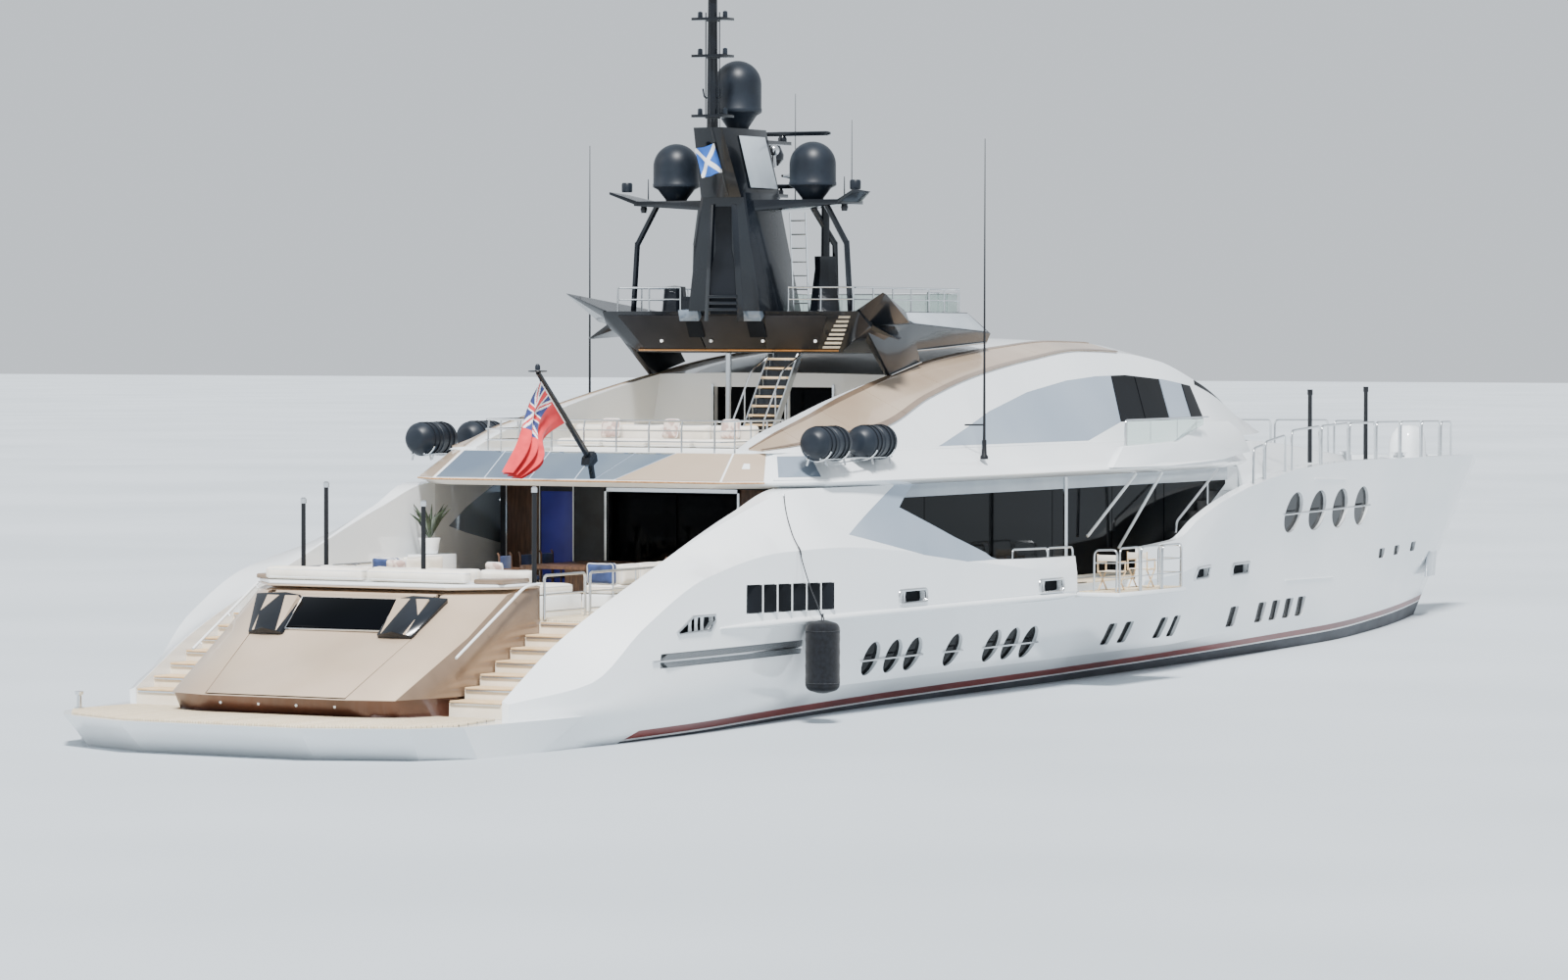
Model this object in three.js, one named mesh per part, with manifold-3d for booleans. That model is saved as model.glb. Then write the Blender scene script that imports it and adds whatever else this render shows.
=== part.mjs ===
// A 65 m motor yacht, modelled at half size.
// All lengths below are metres on the real yacht, with x measured forward from the transom,
// y to port from the centreline and z up from the waterline. The group at the end turns them
// into model millimetres, with the origin amidships on the waterline.
import * as THREE from 'three';
import { mergeVertices } from 'three/addons/utils/BufferGeometryUtils.js';
import { ConvexGeometry } from 'three/addons/geometries/ConvexGeometry.js';
import Module from 'manifold-3d';

const wasm = await Module();
wasm.setup();

// Driving dimensions
const LENGTH_OVERALL = 65;
const SCALE = 0.5;
const MM_PER_METRE = 1000 * SCALE;
const MIDSHIPS = LENGTH_OVERALL / 2;
const GAP = 0.0008;
const RUNNING_GAP = 0.02;

const PLATFORM_DECK = 0.63;
const MAIN_DECK = 2.3;
const FORE_DECK = 4.15;
const SOFFIT = 4.74;
const UPPER_DECK = 5.1;
const LEDGE = 5.45;
const SUN_DECK = 8.0;
const HARDTOP_TOP = 8.42;
const TEAK = 0.04;

const WING_INNER = 4.2;
const BLOCK_HALF = 3.0;
const WALL = 0.15;
const STAIR_STEPS = 7;
const STAIR_START = 3.68;
const STAIR_GOING = 0.553;
const STAIR_FIRST_TOP = 0.96;
const STAIR_RISE = (MAIN_DECK - STAIR_FIRST_TOP) / (STAIR_STEPS - 1);

const BALCONY = { x0: 26.0, x1: 29.7, sill: 2.18, hingeY: 5.5, hingeZ: 2.115, pin: 0.03, outer: 6.6 };
const BOW_STEPS = { x0: 33.6, going: 0.45, count: 8 };

// Colours and finishes
const finish = (color, roughness, metalness) => new THREE.MeshStandardMaterial({ color, roughness, metalness });
const paint = {
  white: finish(0xe9ecee, 0.25, 0.0),
  antifouling: finish(0x4b2f2c, 0.6, 0.0),
  bronze: finish(0xb9a48c, 0.35, 0.4),
  teak: finish(0xd9c3a0, 0.7, 0.0),
  black: finish(0x22262c, 0.3, 0.1),
  slate: finish(0x39434f, 0.4, 0.0),
  blueGrey: finish(0xaebccb, 0.2, 0.1),
  darkGlass: finish(0x0f1318, 0.05, 0.0),
  steel: finish(0xc9cdd1, 0.2, 1.0),
  rubber: finish(0x14161a, 0.8, 0.0),
  cushion: finish(0xe8e0d2, 0.9, 0.0),
  red: finish(0xc02030, 0.8, 0.0),
  propeller: finish(0xa98a4f, 0.3, 0.9),
};

// Solids
function toSolid(geometry) {
  const bare = geometry.clone();
  for (const name of Object.keys(bare.attributes)) {
    if (name !== 'position') bare.deleteAttribute(name);
  }
  const merged = mergeVertices(bare, 1e-6);
  return new wasm.Manifold(new wasm.Mesh({
    numProp: 3,
    vertProperties: new Float32Array(merged.attributes.position.array),
    triVerts: new Uint32Array(merged.index.array),
  }));
}

function toGeometry(solid) {
  const mesh = solid.getMesh();
  const geometry = new THREE.BufferGeometry();
  geometry.setAttribute('position', new THREE.BufferAttribute(new Float32Array(mesh.vertProperties), 3));
  geometry.setIndex(new THREE.BufferAttribute(new Uint32Array(mesh.triVerts), 1));
  geometry.computeVertexNormals();
  return geometry;
}

const join = (...solids) => solids.reduce((sum, next) => sum.add(next));
const mirrorY = (solid) => solid.mirror([0, 1, 0]);
const bothSides = (solid) => solid.add(mirrorY(solid));

// The cap of a loft is cut into triangles in the plane that it faces most.
function capTriangles(ring) {
  const normal = new THREE.Vector3();
  ring.forEach((p, i) => {
    const q = ring[(i + 1) % ring.length];
    normal.x += (p[1] - q[1]) * (p[2] + q[2]);
    normal.y += (p[2] - q[2]) * (p[0] + q[0]);
    normal.z += (p[0] - q[0]) * (p[1] + q[1]);
  });
  const size = [Math.abs(normal.x), Math.abs(normal.y), Math.abs(normal.z)];
  const drop = size.indexOf(Math.max(...size));
  const [a, b] = [[1, 2], [0, 2], [0, 1]][drop];
  return THREE.ShapeUtils.triangulateShape(ring.map((p) => new THREE.Vector2(p[a], p[b])), []);
}

const apart = (p, q) => Math.hypot(p[0] - q[0], p[1] - q[1], p[2] - q[2]);

// A closed skin over rings of equally many points, in order, with both ends capped. Each face is
// split along its shorter diagonal, so that port and starboard match.
function loft(rings) {
  const count = rings[0].length;
  const index = [];
  for (let r = 0; r < rings.length - 1; r += 1) {
    for (let i = 0; i < count; i += 1) {
      const j = (i + 1) % count;
      const [a, b, c, d] = [r * count + i, r * count + j, (r + 1) * count + j, (r + 1) * count + i];
      const [p, q, s, t] = [rings[r][i], rings[r][j], rings[r + 1][j], rings[r + 1][i]];
      if (apart(p, s) <= apart(q, t)) index.push(a, b, c, a, c, d);
      else index.push(a, b, d, b, c, d);
    }
  }
  const cap = (ring, start, forward) => {
    const triangles = capTriangles(ring);
    const isForward = triangles.some((t) => t.some((v, k) => v === 0 && t[(k + 1) % 3] === 1));
    for (const [a, b, c] of triangles) {
      const [second, third] = isForward === forward ? [b, c] : [c, b];
      index.push(start + a, start + second, start + third);
    }
  };
  cap(rings[0], 0, false);
  cap(rings.at(-1), (rings.length - 1) * count, true);
  const geometry = new THREE.BufferGeometry();
  geometry.setAttribute('position', new THREE.Float32BufferAttribute(rings.flat(2), 3));
  geometry.setIndex(index);
  return outward(geometry);
}

// Turns every triangle over if the skin faces inwards.
function outward(geometry) {
  const p = geometry.attributes.position;
  const index = geometry.index.array;
  const corners = [new THREE.Vector3(), new THREE.Vector3(), new THREE.Vector3()];
  let volume = 0;
  for (let t = 0; t < index.length; t += 3) {
    corners.forEach((corner, k) => corner.fromBufferAttribute(p, index[t + k]));
    volume += corners[0].dot(corners[1].cross(corners[2]));
  }
  if (volume < 0) {
    for (let t = 0; t < index.length; t += 3) [index[t], index[t + 1]] = [index[t + 1], index[t]];
  }
  return toSolid(geometry);
}

// An outline drawn in the plane across an axis, pushed along that axis.
function prism(axis, outline, from, to) {
  const place = {
    x: ([y, z], d) => [d, y, z],
    y: ([x, z], d) => [x, d, z],
    z: ([x, y], d) => [x, y, d],
  }[axis];
  return loft([from, to].map((d) => outline.map((point) => place(point, d))));
}

function box(x0, x1, y0, y1, z0, z1) {
  const geometry = new THREE.BoxGeometry(x1 - x0, y1 - y0, z1 - z0);
  geometry.translate((x0 + x1) / 2, (y0 + y1) / 2, (z0 + z1) / 2);
  return toSolid(geometry);
}

const wedge = (points) => toSolid(new ConvexGeometry(points.map((p) => new THREE.Vector3(...p))));

function rod(from, to, radius, sides = 6, radiusEnd = radius) {
  const a = new THREE.Vector3(...from);
  const b = new THREE.Vector3(...to);
  const geometry = new THREE.CylinderGeometry(radiusEnd, radius, a.distanceTo(b), sides);
  const along = b.clone().sub(a).normalize();
  geometry.applyQuaternion(new THREE.Quaternion().setFromUnitVectors(new THREE.Vector3(0, 1, 0), along));
  geometry.translate(...a.add(b).multiplyScalar(0.5).toArray());
  return toSolid(geometry);
}

// A profile of [radius, height] turned about a vertical axis.
function turned(profile, [x, y, z], sides) {
  const geometry = new THREE.LatheGeometry(profile.map(([r, h]) => new THREE.Vector2(r, h)), sides);
  geometry.rotateX(Math.PI / 2);
  geometry.translate(x, y, z);
  return outward(mergeVertices(stripped(geometry), 1e-5));
}

function stripped(geometry) {
  geometry.deleteAttribute('normal');
  geometry.deleteAttribute('uv');
  return geometry;
}

// Half of a ring on the port side, from its low end to its high end, closed by its mirror image.
function mirroredRing(half) {
  const starboard = half.filter((p) => Math.abs(p[1]) > 1e-9).map(([x, y, z]) => [x, -y, z]).reverse();
  return [...half, ...starboard];
}

// An outline drawn for the port side as [x, y], closed by its mirror image.
const mirroredPlan = (side) => [...side, ...side.map(([x, y]) => [x, -y]).reverse()];

// An outline drawn a little smaller about its middle, for a piece let into an opening.
function inset(outline, share = 0.999) {
  const middle = [0, 1].map((k) => outline.reduce((sum, p) => sum + p[k], 0) / outline.length);
  return outline.map((p) => [0, 1].map((k) => middle[k] + (p[k] - middle[k]) * share));
}

// Hull
// Columns: x, lean (dx per metre of height), keel z, bilge y z, waterline y, side y z,
// knuckle y z, crease y z, top y z
const stationTable = [
  [3.65, 0, -0.8, 4.0, -0.6, 4.3, 4.33, 0.6, 4.34, 0.78, 4.35, 0.93, 4.21, 0.98],
  [5.5, 0, -1.15, 4.05, -0.75, 4.7, 5.04, 0.6, 5.08, 0.95, 5.1, 1.27, 4.21, 1.92],
  [7.0, 0, -1.45, 4.0, -1.0, 4.82, 5.2, 0.66, 5.28, 1.45, 5.31, 2.2, 4.21, 2.5],
  [9.4, 0, -1.95, 3.9, -1.35, 4.85, 5.25, 0.8, 5.4, 2.08, 5.42, 3.13, 4.24, 3.3],
  [12.5, 0, -2.5, 3.8, -1.7, 4.65, 5.15, 0.8, 5.46, 2.12, 5.47, 3.52, 4.42, 4.28],
  [14.4, 0, -2.75, 3.7, -1.9, 4.5, 5.08, 0.8, 5.5, 2.15, 5.5, 3.54, 4.75, SOFFIT - GAP],
  [18.0, 0, -3.0, 3.5, -2.1, 4.28, 5.02, 0.8, 5.53, 2.2, 5.51, 3.33, 5.0, SOFFIT - GAP],
  [19.2, 0, -3.0, 3.5, -2.1, 4.22, 5.0, 0.8, 5.54, 2.2, 5.52, 3.18, 5.02, SOFFIT - GAP],
  [22.3, 0, -3.0, 3.45, -2.15, 4.18, 4.97, 0.8, 5.56, 2.2, 5.54, 2.9, 5.45, 3.02],
  [26.2, 0, -3.0, 3.4, -2.15, 4.15, 4.93, 0.8, 5.58, 2.2, 5.57, 2.6, 5.52, 2.97],
  [31.6, 0, -3.0, 3.3, -2.15, 4.0, 4.8, 0.8, 5.5, 2.35, 5.5, 2.8, 5.47, 3.15],
  [33.0, 0, -3.0, 3.25, -2.15, 3.95, 4.72, 0.8, 5.38, 2.5, 5.42, 3.1, 5.43, 3.6],
  [34.8, 0, -3.0, 3.2, -2.15, 3.88, 4.55, 0.85, 5.1, 2.75, 5.28, 3.5, 5.35, 4.02],
  [37.0, 0, -3.0, 3.1, -2.15, 3.78, 4.35, 0.9, 4.8, 2.84, 5.02, 3.7, 5.16, 4.32],
  [41.0, 0, -3.0, 2.8, -2.2, 3.55, 3.98, 1.0, 4.25, 2.76, 4.5, 3.8, 4.66, 4.61],
  [46.0, 0, -3.0, 2.2, -2.25, 3.18, 3.45, 1.1, 3.65, 2.66, 3.8, 3.8, 3.9, 4.69],
  [51.5, 0.1, -2.95, 1.4, -2.2, 2.2, 2.45, 1.15, 2.62, 2.6, 2.8, 3.7, 2.92, 4.64],
  [56.0, 0.45, -2.6, 0.55, -1.8, 1.15, 1.3, 1.2, 1.48, 2.57, 1.62, 3.6, 1.74, 4.57],
  [59.0, 0.9, -1.9, 0.14, -1.3, 0.33, 0.42, 1.25, 0.52, 2.55, 0.6, 3.55, 0.68, 4.5],
  [60.05, 1.12, -1.1, 0.03, -0.7, 0.04, 0.04, 1.25, 0.04, 2.55, 0.04, 3.5, 0.04, 4.42],
];

// Stations at every x asked for, each column faired through the table without overshooting it.
function fairStations(table, xs) {
  const slopes = table[0].map((_, c) => {
    const secant = table.slice(1).map((row, i) => (row[c] - table[i][c]) / (row[0] - table[i][0]));
    return table.map((_row, i) => {
      const [before, after] = [secant[Math.max(i - 1, 0)], secant[Math.min(i, secant.length - 1)]];
      if (before * after <= 0) return 0;
      return (2 * before * after) / (before + after);
    });
  });
  return xs.map((x) => {
    const k = Math.min(Math.max(table.findIndex((row) => row[0] >= x), 1), table.length - 1);
    const [aft, fore] = [table[k - 1], table[k]];
    const span = fore[0] - aft[0];
    const t = (x - aft[0]) / span;
    return aft.map((value, c) => (c === 0 ? x : value * (1 + 2 * t) * (1 - t) ** 2
      + slopes[c][k - 1] * span * t * (1 - t) ** 2 + fore[c] * t * t * (3 - 2 * t)
      + slopes[c][k] * span * t * t * (t - 1)));
  });
}

const STATION_SPACING = 1.7;
const hullStations = fairStations(stationTable, stationTable.flatMap(([x], i) => {
  const next = stationTable[i + 1]?.[0] ?? x;
  const count = Math.max(1, Math.ceil((next - x) / STATION_SPACING));
  return Array.from({ length: i + 1 < stationTable.length ? count : 1 }, (_, k) => x + ((next - x) * k) / count);
}));

// One side of a section as [y, z], rounded from the keel to the knuckle and straight above it
function sectionCurve([, , keel, bilgeY, bilgeZ, lineY, sideY, sideZ, knY, knZ, crY, crZ, topY, topZ]) {
  const below = [[0, keel], [bilgeY, bilgeZ], [lineY, 0], [sideY, sideZ], [knY, knZ]];
  const ends = [[-bilgeY, bilgeZ], ...below, [2 * knY - sideY, 2 * knZ - sideZ]];
  const line = [below[0]];
  for (let i = 0; i < below.length - 1; i += 1) {
    const [a, b, c, d] = ends.slice(i, i + 4);
    const middle = [0, 1].map((k) => (9 * (b[k] + c[k]) - a[k] - d[k]) / 16);
    line.push(middle, c);
  }
  return [...line, [crY, crZ], [topY, topZ]];
}

const hullRing = (station) => mirroredRing(
  sectionCurve(station).map(([y, z]) => [station[0] + station[1] * z, y, z]));

// Columns: height, then x y of the five corners of the swim platform, from its aft edge forward
const platformRings = [
  [-0.45, [1.0, 1.9], [1.6, 3.55], [2.5, 4.2], [4.22, 4.35], [7.0, 4.5]],
  [0, [0.72, 1.93], [1.45, 3.75], [2.3, 4.5], [4.22, 4.68], [7.0, 4.82]],
  [PLATFORM_DECK, [0, 2.02], [0.85, 3.9], [1.76, 4.53], [4.22, 4.89], [7.0, 5.2]],
];
const swimPlatform = () => loft(platformRings.map(([z, ...side]) => mirroredPlan(side).map(([x, y]) => [x, y, z])));

// The steps from the side decks to the foredeck, as [x, z] corners
function bowSteps(drop = 0) {
  const rise = (FORE_DECK - MAIN_DECK) / BOW_STEPS.count;
  const corners = [];
  for (let i = 0; i < BOW_STEPS.count; i += 1) {
    const x = BOW_STEPS.x0 + BOW_STEPS.going * i - drop;
    corners.push([x, MAIN_DECK + rise * i + drop], [x, MAIN_DECK + rise * (i + 1) + drop]);
  }
  return corners;
}

// The inner line of wings, side walls and bulwarks, as [x, y]
const innerLine = [
  [7.0, WING_INNER], [14.6, WING_INNER], [16.5, 4.6], [19.3, 4.82], [22.3, 5.28], [31.5, 5.3], [34.8, 5.1],
  [37.3, 4.82], [42, 4.2], [46, 3.58], [51.5, 2.6], [57, 1.5], [61.5, 0.55],
];

function deckSpace() {
  const above = 7;
  const profile = [[7.0, MAIN_DECK], ...bowSteps(), [62, FORE_DECK], [62, above], [7.0, above]];
  return prism('z', mirroredPlan(innerLine), 0, above).intersect(prism('y', profile, -6, 6));
}

// The open stretch between each side wall and the bulwark, and the blue-grey screen aft of it, as [x, z]
const arrowEdge = [[19.15, 4.8], [18.48, 4.49], [18.08, 4.27], [20.27, 3.58], [22.3, 3.03]];
const sideOpening = [...arrowEdge, [24, 3.02], [24, 4.8]];
const screenOutline = (reach) => [
  [15.44, 3.78], [18.35, 4.8], ...arrowEdge.map(([x, z]) => [x + reach, z]), [20.6, 3.04], [18.6, 3.25], [16.8, 3.55],
];

// Columns: x, z, radius of the round ports
const roundPorts = [
  [16.78, 1.14, 0.36], [17.8, 1.14, 0.36], [18.74, 1.14, 0.36], [20.66, 1.13, 0.36],
  [22.6, 1.12, 0.36], [23.54, 1.12, 0.36], [24.47, 1.11, 0.36],
  [42.26, 3.51, 0.5], [44.19, 3.51, 0.5], [46.16, 3.51, 0.5], [48.11, 3.51, 0.5],
];
const PORT_DEPTH = 0.16;

// The half beam of the hull at a place, from the station table
function beamAt(x, z) {
  const halfAt = (station) => {
    const line = sectionCurve(station).slice(1);
    const k = Math.min(line.findIndex((p) => p[1] >= z), line.length - 1);
    const [lo, hi] = [line[Math.max(k - 1, 0)], line[k < 0 ? line.length - 1 : k]];
    return lo[0] + ((hi[0] - lo[0]) * (z - lo[1])) / (hi[1] - lo[1] || 1);
  };
  const k = hullStations.findIndex((s) => s[0] + s[1] * z >= x);
  const [aft, fore] = [hullStations[k - 1], hullStations[k]];
  const [xa, xf] = [aft[0] + aft[1] * z, fore[0] + fore[1] * z];
  return halfAt(aft) + ((halfAt(fore) - halfAt(aft)) * (x - xa)) / (xf - xa);
}

// A flat-bottomed pocket in the hull's starboard side under an outline of [x, z]
function pocket(outline, depth) {
  const [x, z] = [0, 1].map((k) => outline.reduce((sum, p) => sum + p[k], 0) / outline.length);
  const y = beamAt(x, z);
  const slope = (beamAt(x + 0.5, z) - beamAt(x - 0.5, z));
  const ring = (d) => outline.map((p) => [p[0], -(y + slope * (p[0] - x) + d), p[1]]);
  return loft([ring(-depth), ring(0.5)]);
}

const circle = (x, z, radius, sides) => Array.from({ length: sides }, (_, i) => {
  const angle = (2 * Math.PI * (i + 0.5)) / sides;
  return [x + radius * Math.cos(angle), z + radius * Math.sin(angle)];
});

const LOUVRE = { x0: 10.93, x1: 14.5, z0: 2.3, z1: 2.92 };
const GRILLE = { x0: 7.7, x1: 13.45, z0: 1.42, z1: 1.7 };
const louvreOutline = [[LOUVRE.x0, LOUVRE.z0 + 0.04], [LOUVRE.x1, LOUVRE.z0 - 0.02], [LOUVRE.x1, LOUVRE.z1 - 0.08],
  [LOUVRE.x0, LOUVRE.z1]];
const grilleOutline = [[GRILLE.x0, GRILLE.z0], [GRILLE.x1, GRILLE.z0], [GRILLE.x1, GRILLE.z1], [GRILLE.x0, GRILLE.z1]];
const VENT_DEPTH = 0.14;

function hullSolid() {
  const shell = loft(hullStations.map(hullRing));
  const sternWell = box(2.5, 7.02, -WING_INNER, WING_INNER, PLATFORM_DECK, 6);
  const starboardPockets = join(
    ...roundPorts.map(([x, z, radius]) => pocket(circle(x, z, radius, 16), PORT_DEPTH)),
    pocket(louvreOutline, VENT_DEPTH).subtract(join(...louvreFins())),
    pocket(grilleOutline, VENT_DEPTH),
  );
  const { x0, x1, hingeY, hingeZ, pin } = BALCONY;
  const balconyGap = join(
    box(x0, x1, -7, -5.0, hingeZ - 0.07, 6),
    rod([x0 - 0.06, -hingeY, hingeZ], [x1 + 0.06, -hingeY, hingeZ], pin / Math.cos(Math.PI / 12) + GAP, 12),
  );
  const openings = prism('y', sideOpening, -7, 7);
  return shell.subtract(sternWell).add(swimPlatform()).subtract(deckSpace()).subtract(openings)
    .subtract(bothSides(starboardPockets)).subtract(balconyGap).add(bothSides(propellerShaft()));
}

// Below this line the hull is painted with antifouling and a boot top: [x, z]
const BOOT_AFT = { low: [6.88, 0.0], high: [7.45, 0.22] };
const BOOT_RISE = 0.0063;
function belowBootTop(drop) {
  const bowZ = BOOT_AFT.high[1] + BOOT_RISE * (66 - BOOT_AFT.high[0]);
  const outline = [[-1, -4], [66, -4], [66, bowZ - drop], [BOOT_AFT.high[0], BOOT_AFT.high[1] - drop],
    [BOOT_AFT.low[0], BOOT_AFT.low[1] - drop], [-1, -drop]];
  return prism('y', outline, -7, 7);
}

// The hull parts at the deck edge: its bulwarks and quarter wings stand on a narrow ledge round the decks.
const LEDGE_DROP = 0.05;
function aboveLedge(lift) {
  const drop = lift - LEDGE_DROP;
  const profile = [[6, MAIN_DECK + drop], ...bowSteps(drop), [66, FORE_DECK + drop], [66, 8], [6, 8]];
  const decks = prism('z', mirroredPlan(innerLine.map(([x, y]) => [x > 60 ? x + lift : x, y + lift])), -5, 9);
  return prism('y', profile, -7, 7).subtract(decks);
}

// Side screens, let into the side walls
const sideWall = (hull, outline, y0, y1) => hull.intersect(prism('y', outline, y0, y1));

// White fins left standing between the six openings of an air intake
function louvreFins() {
  const count = 6;
  const pitch = (LOUVRE.x1 - LOUVRE.x0) / count;
  return Array.from({ length: count - 1 }, (_, i) => {
    const x = LOUVRE.x0 + pitch * (i + 1);
    return box(x - 0.03, x + 0.03, -beamAt(x, 2.6) + 0.02, -4, LOUVRE.z0 - 0.2, LOUVRE.z1 + 0.2);
  });
}

// Transom block: the sloping bronze house between the stairs, hollow, closed by a door that lifts
// Columns of a half ring at one height: aft edge, chamfer corner, side corner, forward corner, as x y
const BLOCK_END = 7.02 - GAP;
const blockRings = [
  [1.0, [2.2, 1.63], [2.5, 2.55], [3.9, 2.95], [BLOCK_END, BLOCK_HALF]],
  [2.1, [4.2, 1.93], [4.7, 2.8], [5.6, 2.97], [BLOCK_END, BLOCK_HALF]],
  [2.87, [5.0, 2.02], [6.0, 2.88], [6.6, 2.98], [BLOCK_END, BLOCK_HALF]],
  [3.0, [6.0, 2.1], [6.6, 2.9], [6.95, 2.98], [BLOCK_END, BLOCK_HALF]],
];
const DOOR_HINGE = { x: 5.091, z: 2.83, radius: 0.06, half: 1.85 };
const doorProfile = [[2.26, 1.04, 1.58], [4.2, 2.1, 1.86], [4.96, 2.83, 1.96]];
const doorThickness = 0.12;

function doorSlab(grow, depth, lift) {
  return loft(doorProfile.map(([x, z, half]) => [
    [x - 0.47 * lift, half + grow, z + 0.88 * lift], [x - 0.47 * lift, -half - grow, z + 0.88 * lift],
    [x + 0.6 * depth, -half - grow, z - 0.8 * depth], [x + 0.6 * depth, half + grow, z - 0.8 * depth],
  ]));
}

function transomBlock() {
  const outer = loft(blockRings.map(([z, ...side]) => mirroredPlan(side).map(([x, y]) => [x, y, z])));
  const innerRings = [
    [1.08, [2.9, 1.5], [3.2, 2.3], [4.2, 2.75], [6.87, 2.82]],
    [2.1, [4.75, 1.75], [5.1, 2.6], [5.8, 2.75], [6.87, 2.82]],
    [2.8, [5.3, 1.85], [6.2, 2.7], [6.7, 2.78], [6.87, 2.82]],
  ];
  const hollow = loft(innerRings.map(([z, ...side]) => mirroredPlan(side).map(([x, y]) => [x, y, z])));
  const doorway = loft([
    [[2.2, 1.6, 1.02], [2.2, -1.6, 1.02], [3.4, -1.6, 1.02], [3.4, 1.6, 1.02]],
    [[3.4, 1.9, 2.6], [3.4, -1.9, 2.6], [5.2, -1.9, 2.08], [5.2, 1.9, 2.08]],
    [[4.2, 2.0, 3.4], [4.2, -2.0, 3.4], [5.34, -2.0, 2.76], [5.34, 2.0, 2.76]],
  ]);
  const sweep = doorSlab(RUNNING_GAP, 0.7, 0.5);
  return outer.subtract(hollow).subtract(sweep).subtract(doorway).add(transomPlinth());
}

function transomDoor() {
  const pods = bothSides(wedge([
    [4.2, 1.14, 2.02], [4.2, 1.82, 2.02], [4.08, 1.2, 2.16], [4.08, 1.76, 2.16],
    [4.92, 1.12, 2.68], [4.92, 1.9, 2.68], [4.77, 1.14, 2.81], [4.77, 1.86, 2.81],
  ]));
  const { x, z, radius, half } = DOOR_HINGE;
  const hinge = join(rod([x, -half, z], [x, half, z], radius, 12), box(4.93, x, -half, half, z - 0.04, z + 0.02));
  return join(doorSlab(0, doorThickness, 0).subtract(box(2, 3, -2, 2, 0, 1.04)), pods, hinge);
}

function transomGlass() {
  const at = (x, y, lift) => [x - 0.69 * lift, y, 2.1 + (x - 4.2) * 0.96 + 0.72 * lift];
  const ring = (lift) => [[4.3, 1.08], [4.88, 1.08], [4.88, -1.08], [4.3, -1.08]].map(([x, y]) => at(x, y, lift));
  return loft([ring(GAP), ring(0.05)]);
}

// Plinth under the block, leaning out aft, in one piece with it
function transomPlinth() {
  const rings = [
    [PLATFORM_DECK + GAP, [2.57, 2.02], [2.9, 2.6], [3.9, 2.9], [7.0, 2.96]],
    [1.01, [2.22, 1.63], [2.52, 2.5], [3.9, 2.9], [7.0, 2.96]],
  ];
  return loft(rings.map(([z, ...side]) => mirroredPlan(side).map(([x, y]) => [x, y, z])));
}

// Stairs from the platform to the aft deck, on the starboard side
function stairs() {
  const profile = [[STAIR_START, PLATFORM_DECK + GAP]];
  for (let i = 0; i < STAIR_STEPS; i += 1) {
    const [x, z] = [STAIR_START + STAIR_GOING * i, STAIR_FIRST_TOP + STAIR_RISE * i];
    profile.push([x, z], [x + STAIR_GOING, z]);
  }
  profile.pop();
  const end = 7.0 - GAP;
  profile[profile.length - 1] = [Math.min(profile.at(-1)[0], end - 0.01), profile.at(-1)[1]];
  profile.push([end, MAIN_DECK], [end, PLATFORM_DECK + GAP]);
  return prism('y', profile, -WING_INNER + GAP, -BLOCK_HALF - GAP);
}

// Teak laid on the decks
function platformTeak() {
  const edge = [[0.16, 1.96], [0.95, 3.78], [1.82, 4.38], [3.5, 4.14]];
  const plate = prism('z', mirroredPlan(edge), PLATFORM_DECK + GAP, PLATFORM_DECK + TEAK);
  const plinthFoot = prism('z', mirroredPlan([[2.5, 2.06], [2.85, 2.66], [3.9, 3.0], [4, 3.0]]), 0, 2);
  return plate.subtract(plinthFoot);
}

function mainDeckTeak() {
  const edge = [[7.24, 4.14], [14.5, 4.14], [16.4, 4.5], [19.3, 4.74], [22.3, 5.2], [33.5, 5.1]];
  const plate = prism('z', mirroredPlan(edge), MAIN_DECK + GAP, MAIN_DECK + TEAK);
  const aroundHouse = box(HOUSE.aft - 0.03, 40, -HOUSE.half - 0.03, HOUSE.half + 0.03, 0, 3);
  const aroundSofa = box(AFT_SOFA.x0 - 0.01, AFT_SOFA.x1 + 0.01, -AFT_SOFA.half - 0.01, AFT_SOFA.half + 0.01, 0, 3);
  return plate.subtract(aroundHouse).subtract(aroundSofa);
}

function upperDeckTeak() {
  const edge = [[14.62, 2.9], [15.4, 3.05], [21.9, 2.8]];
  return prism('z', mirroredPlan(edge), UPPER_DECK + GAP, UPPER_DECK + TEAK);
}

// Main deckhouse: outer walls with a long band of windows, and sliding doors aft
const HOUSE = { aft: 17.5, fore: 37.2, half: 4.35, sill: 2.62, head: 4.56, doorHalf: 1.6 };

function mainDeckhouse() {
  const steps = bowSteps(GAP);
  const side = [[HOUSE.aft, MAIN_DECK + GAP], ...steps, [HOUSE.fore + 0.5, FORE_DECK + GAP],
    [HOUSE.fore + 0.5, SOFFIT - GAP], [HOUSE.aft, SOFFIT - GAP]];
  const outer = prism('y', side, -HOUSE.half, HOUSE.half);
  const inner = box(HOUSE.aft + WALL, BOW_STEPS.x0 - WALL - 0.1, -HOUSE.half + WALL, HOUSE.half - WALL, 2, 5);
  const windows = box(HOUSE.aft + 0.9, BOW_STEPS.x0 - 0.5, -6, 6, HOUSE.sill, HOUSE.head);
  const doorway = box(HOUSE.aft - 1, HOUSE.aft + 1, -HOUSE.doorHalf, HOUSE.doorHalf, 2.34, 4.5);
  const posts = [20.8, 24.0, 27.2, 30.4].map((x) => bothSides(
    box(x - 0.06, x + 0.06, HOUSE.half - WALL, HOUSE.half - 0.07, HOUSE.sill - 0.05, HOUSE.head + 0.05)));
  return join(outer.subtract(inner).subtract(windows).subtract(doorway), ...posts);
}

const saloonWindows = () => box(HOUSE.aft + 0.9 + GAP, BOW_STEPS.x0 - 0.5 - GAP,
  -HOUSE.half + 0.01, -HOUSE.half + 0.07 - GAP, HOUSE.sill + GAP, HOUSE.head - GAP);

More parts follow.
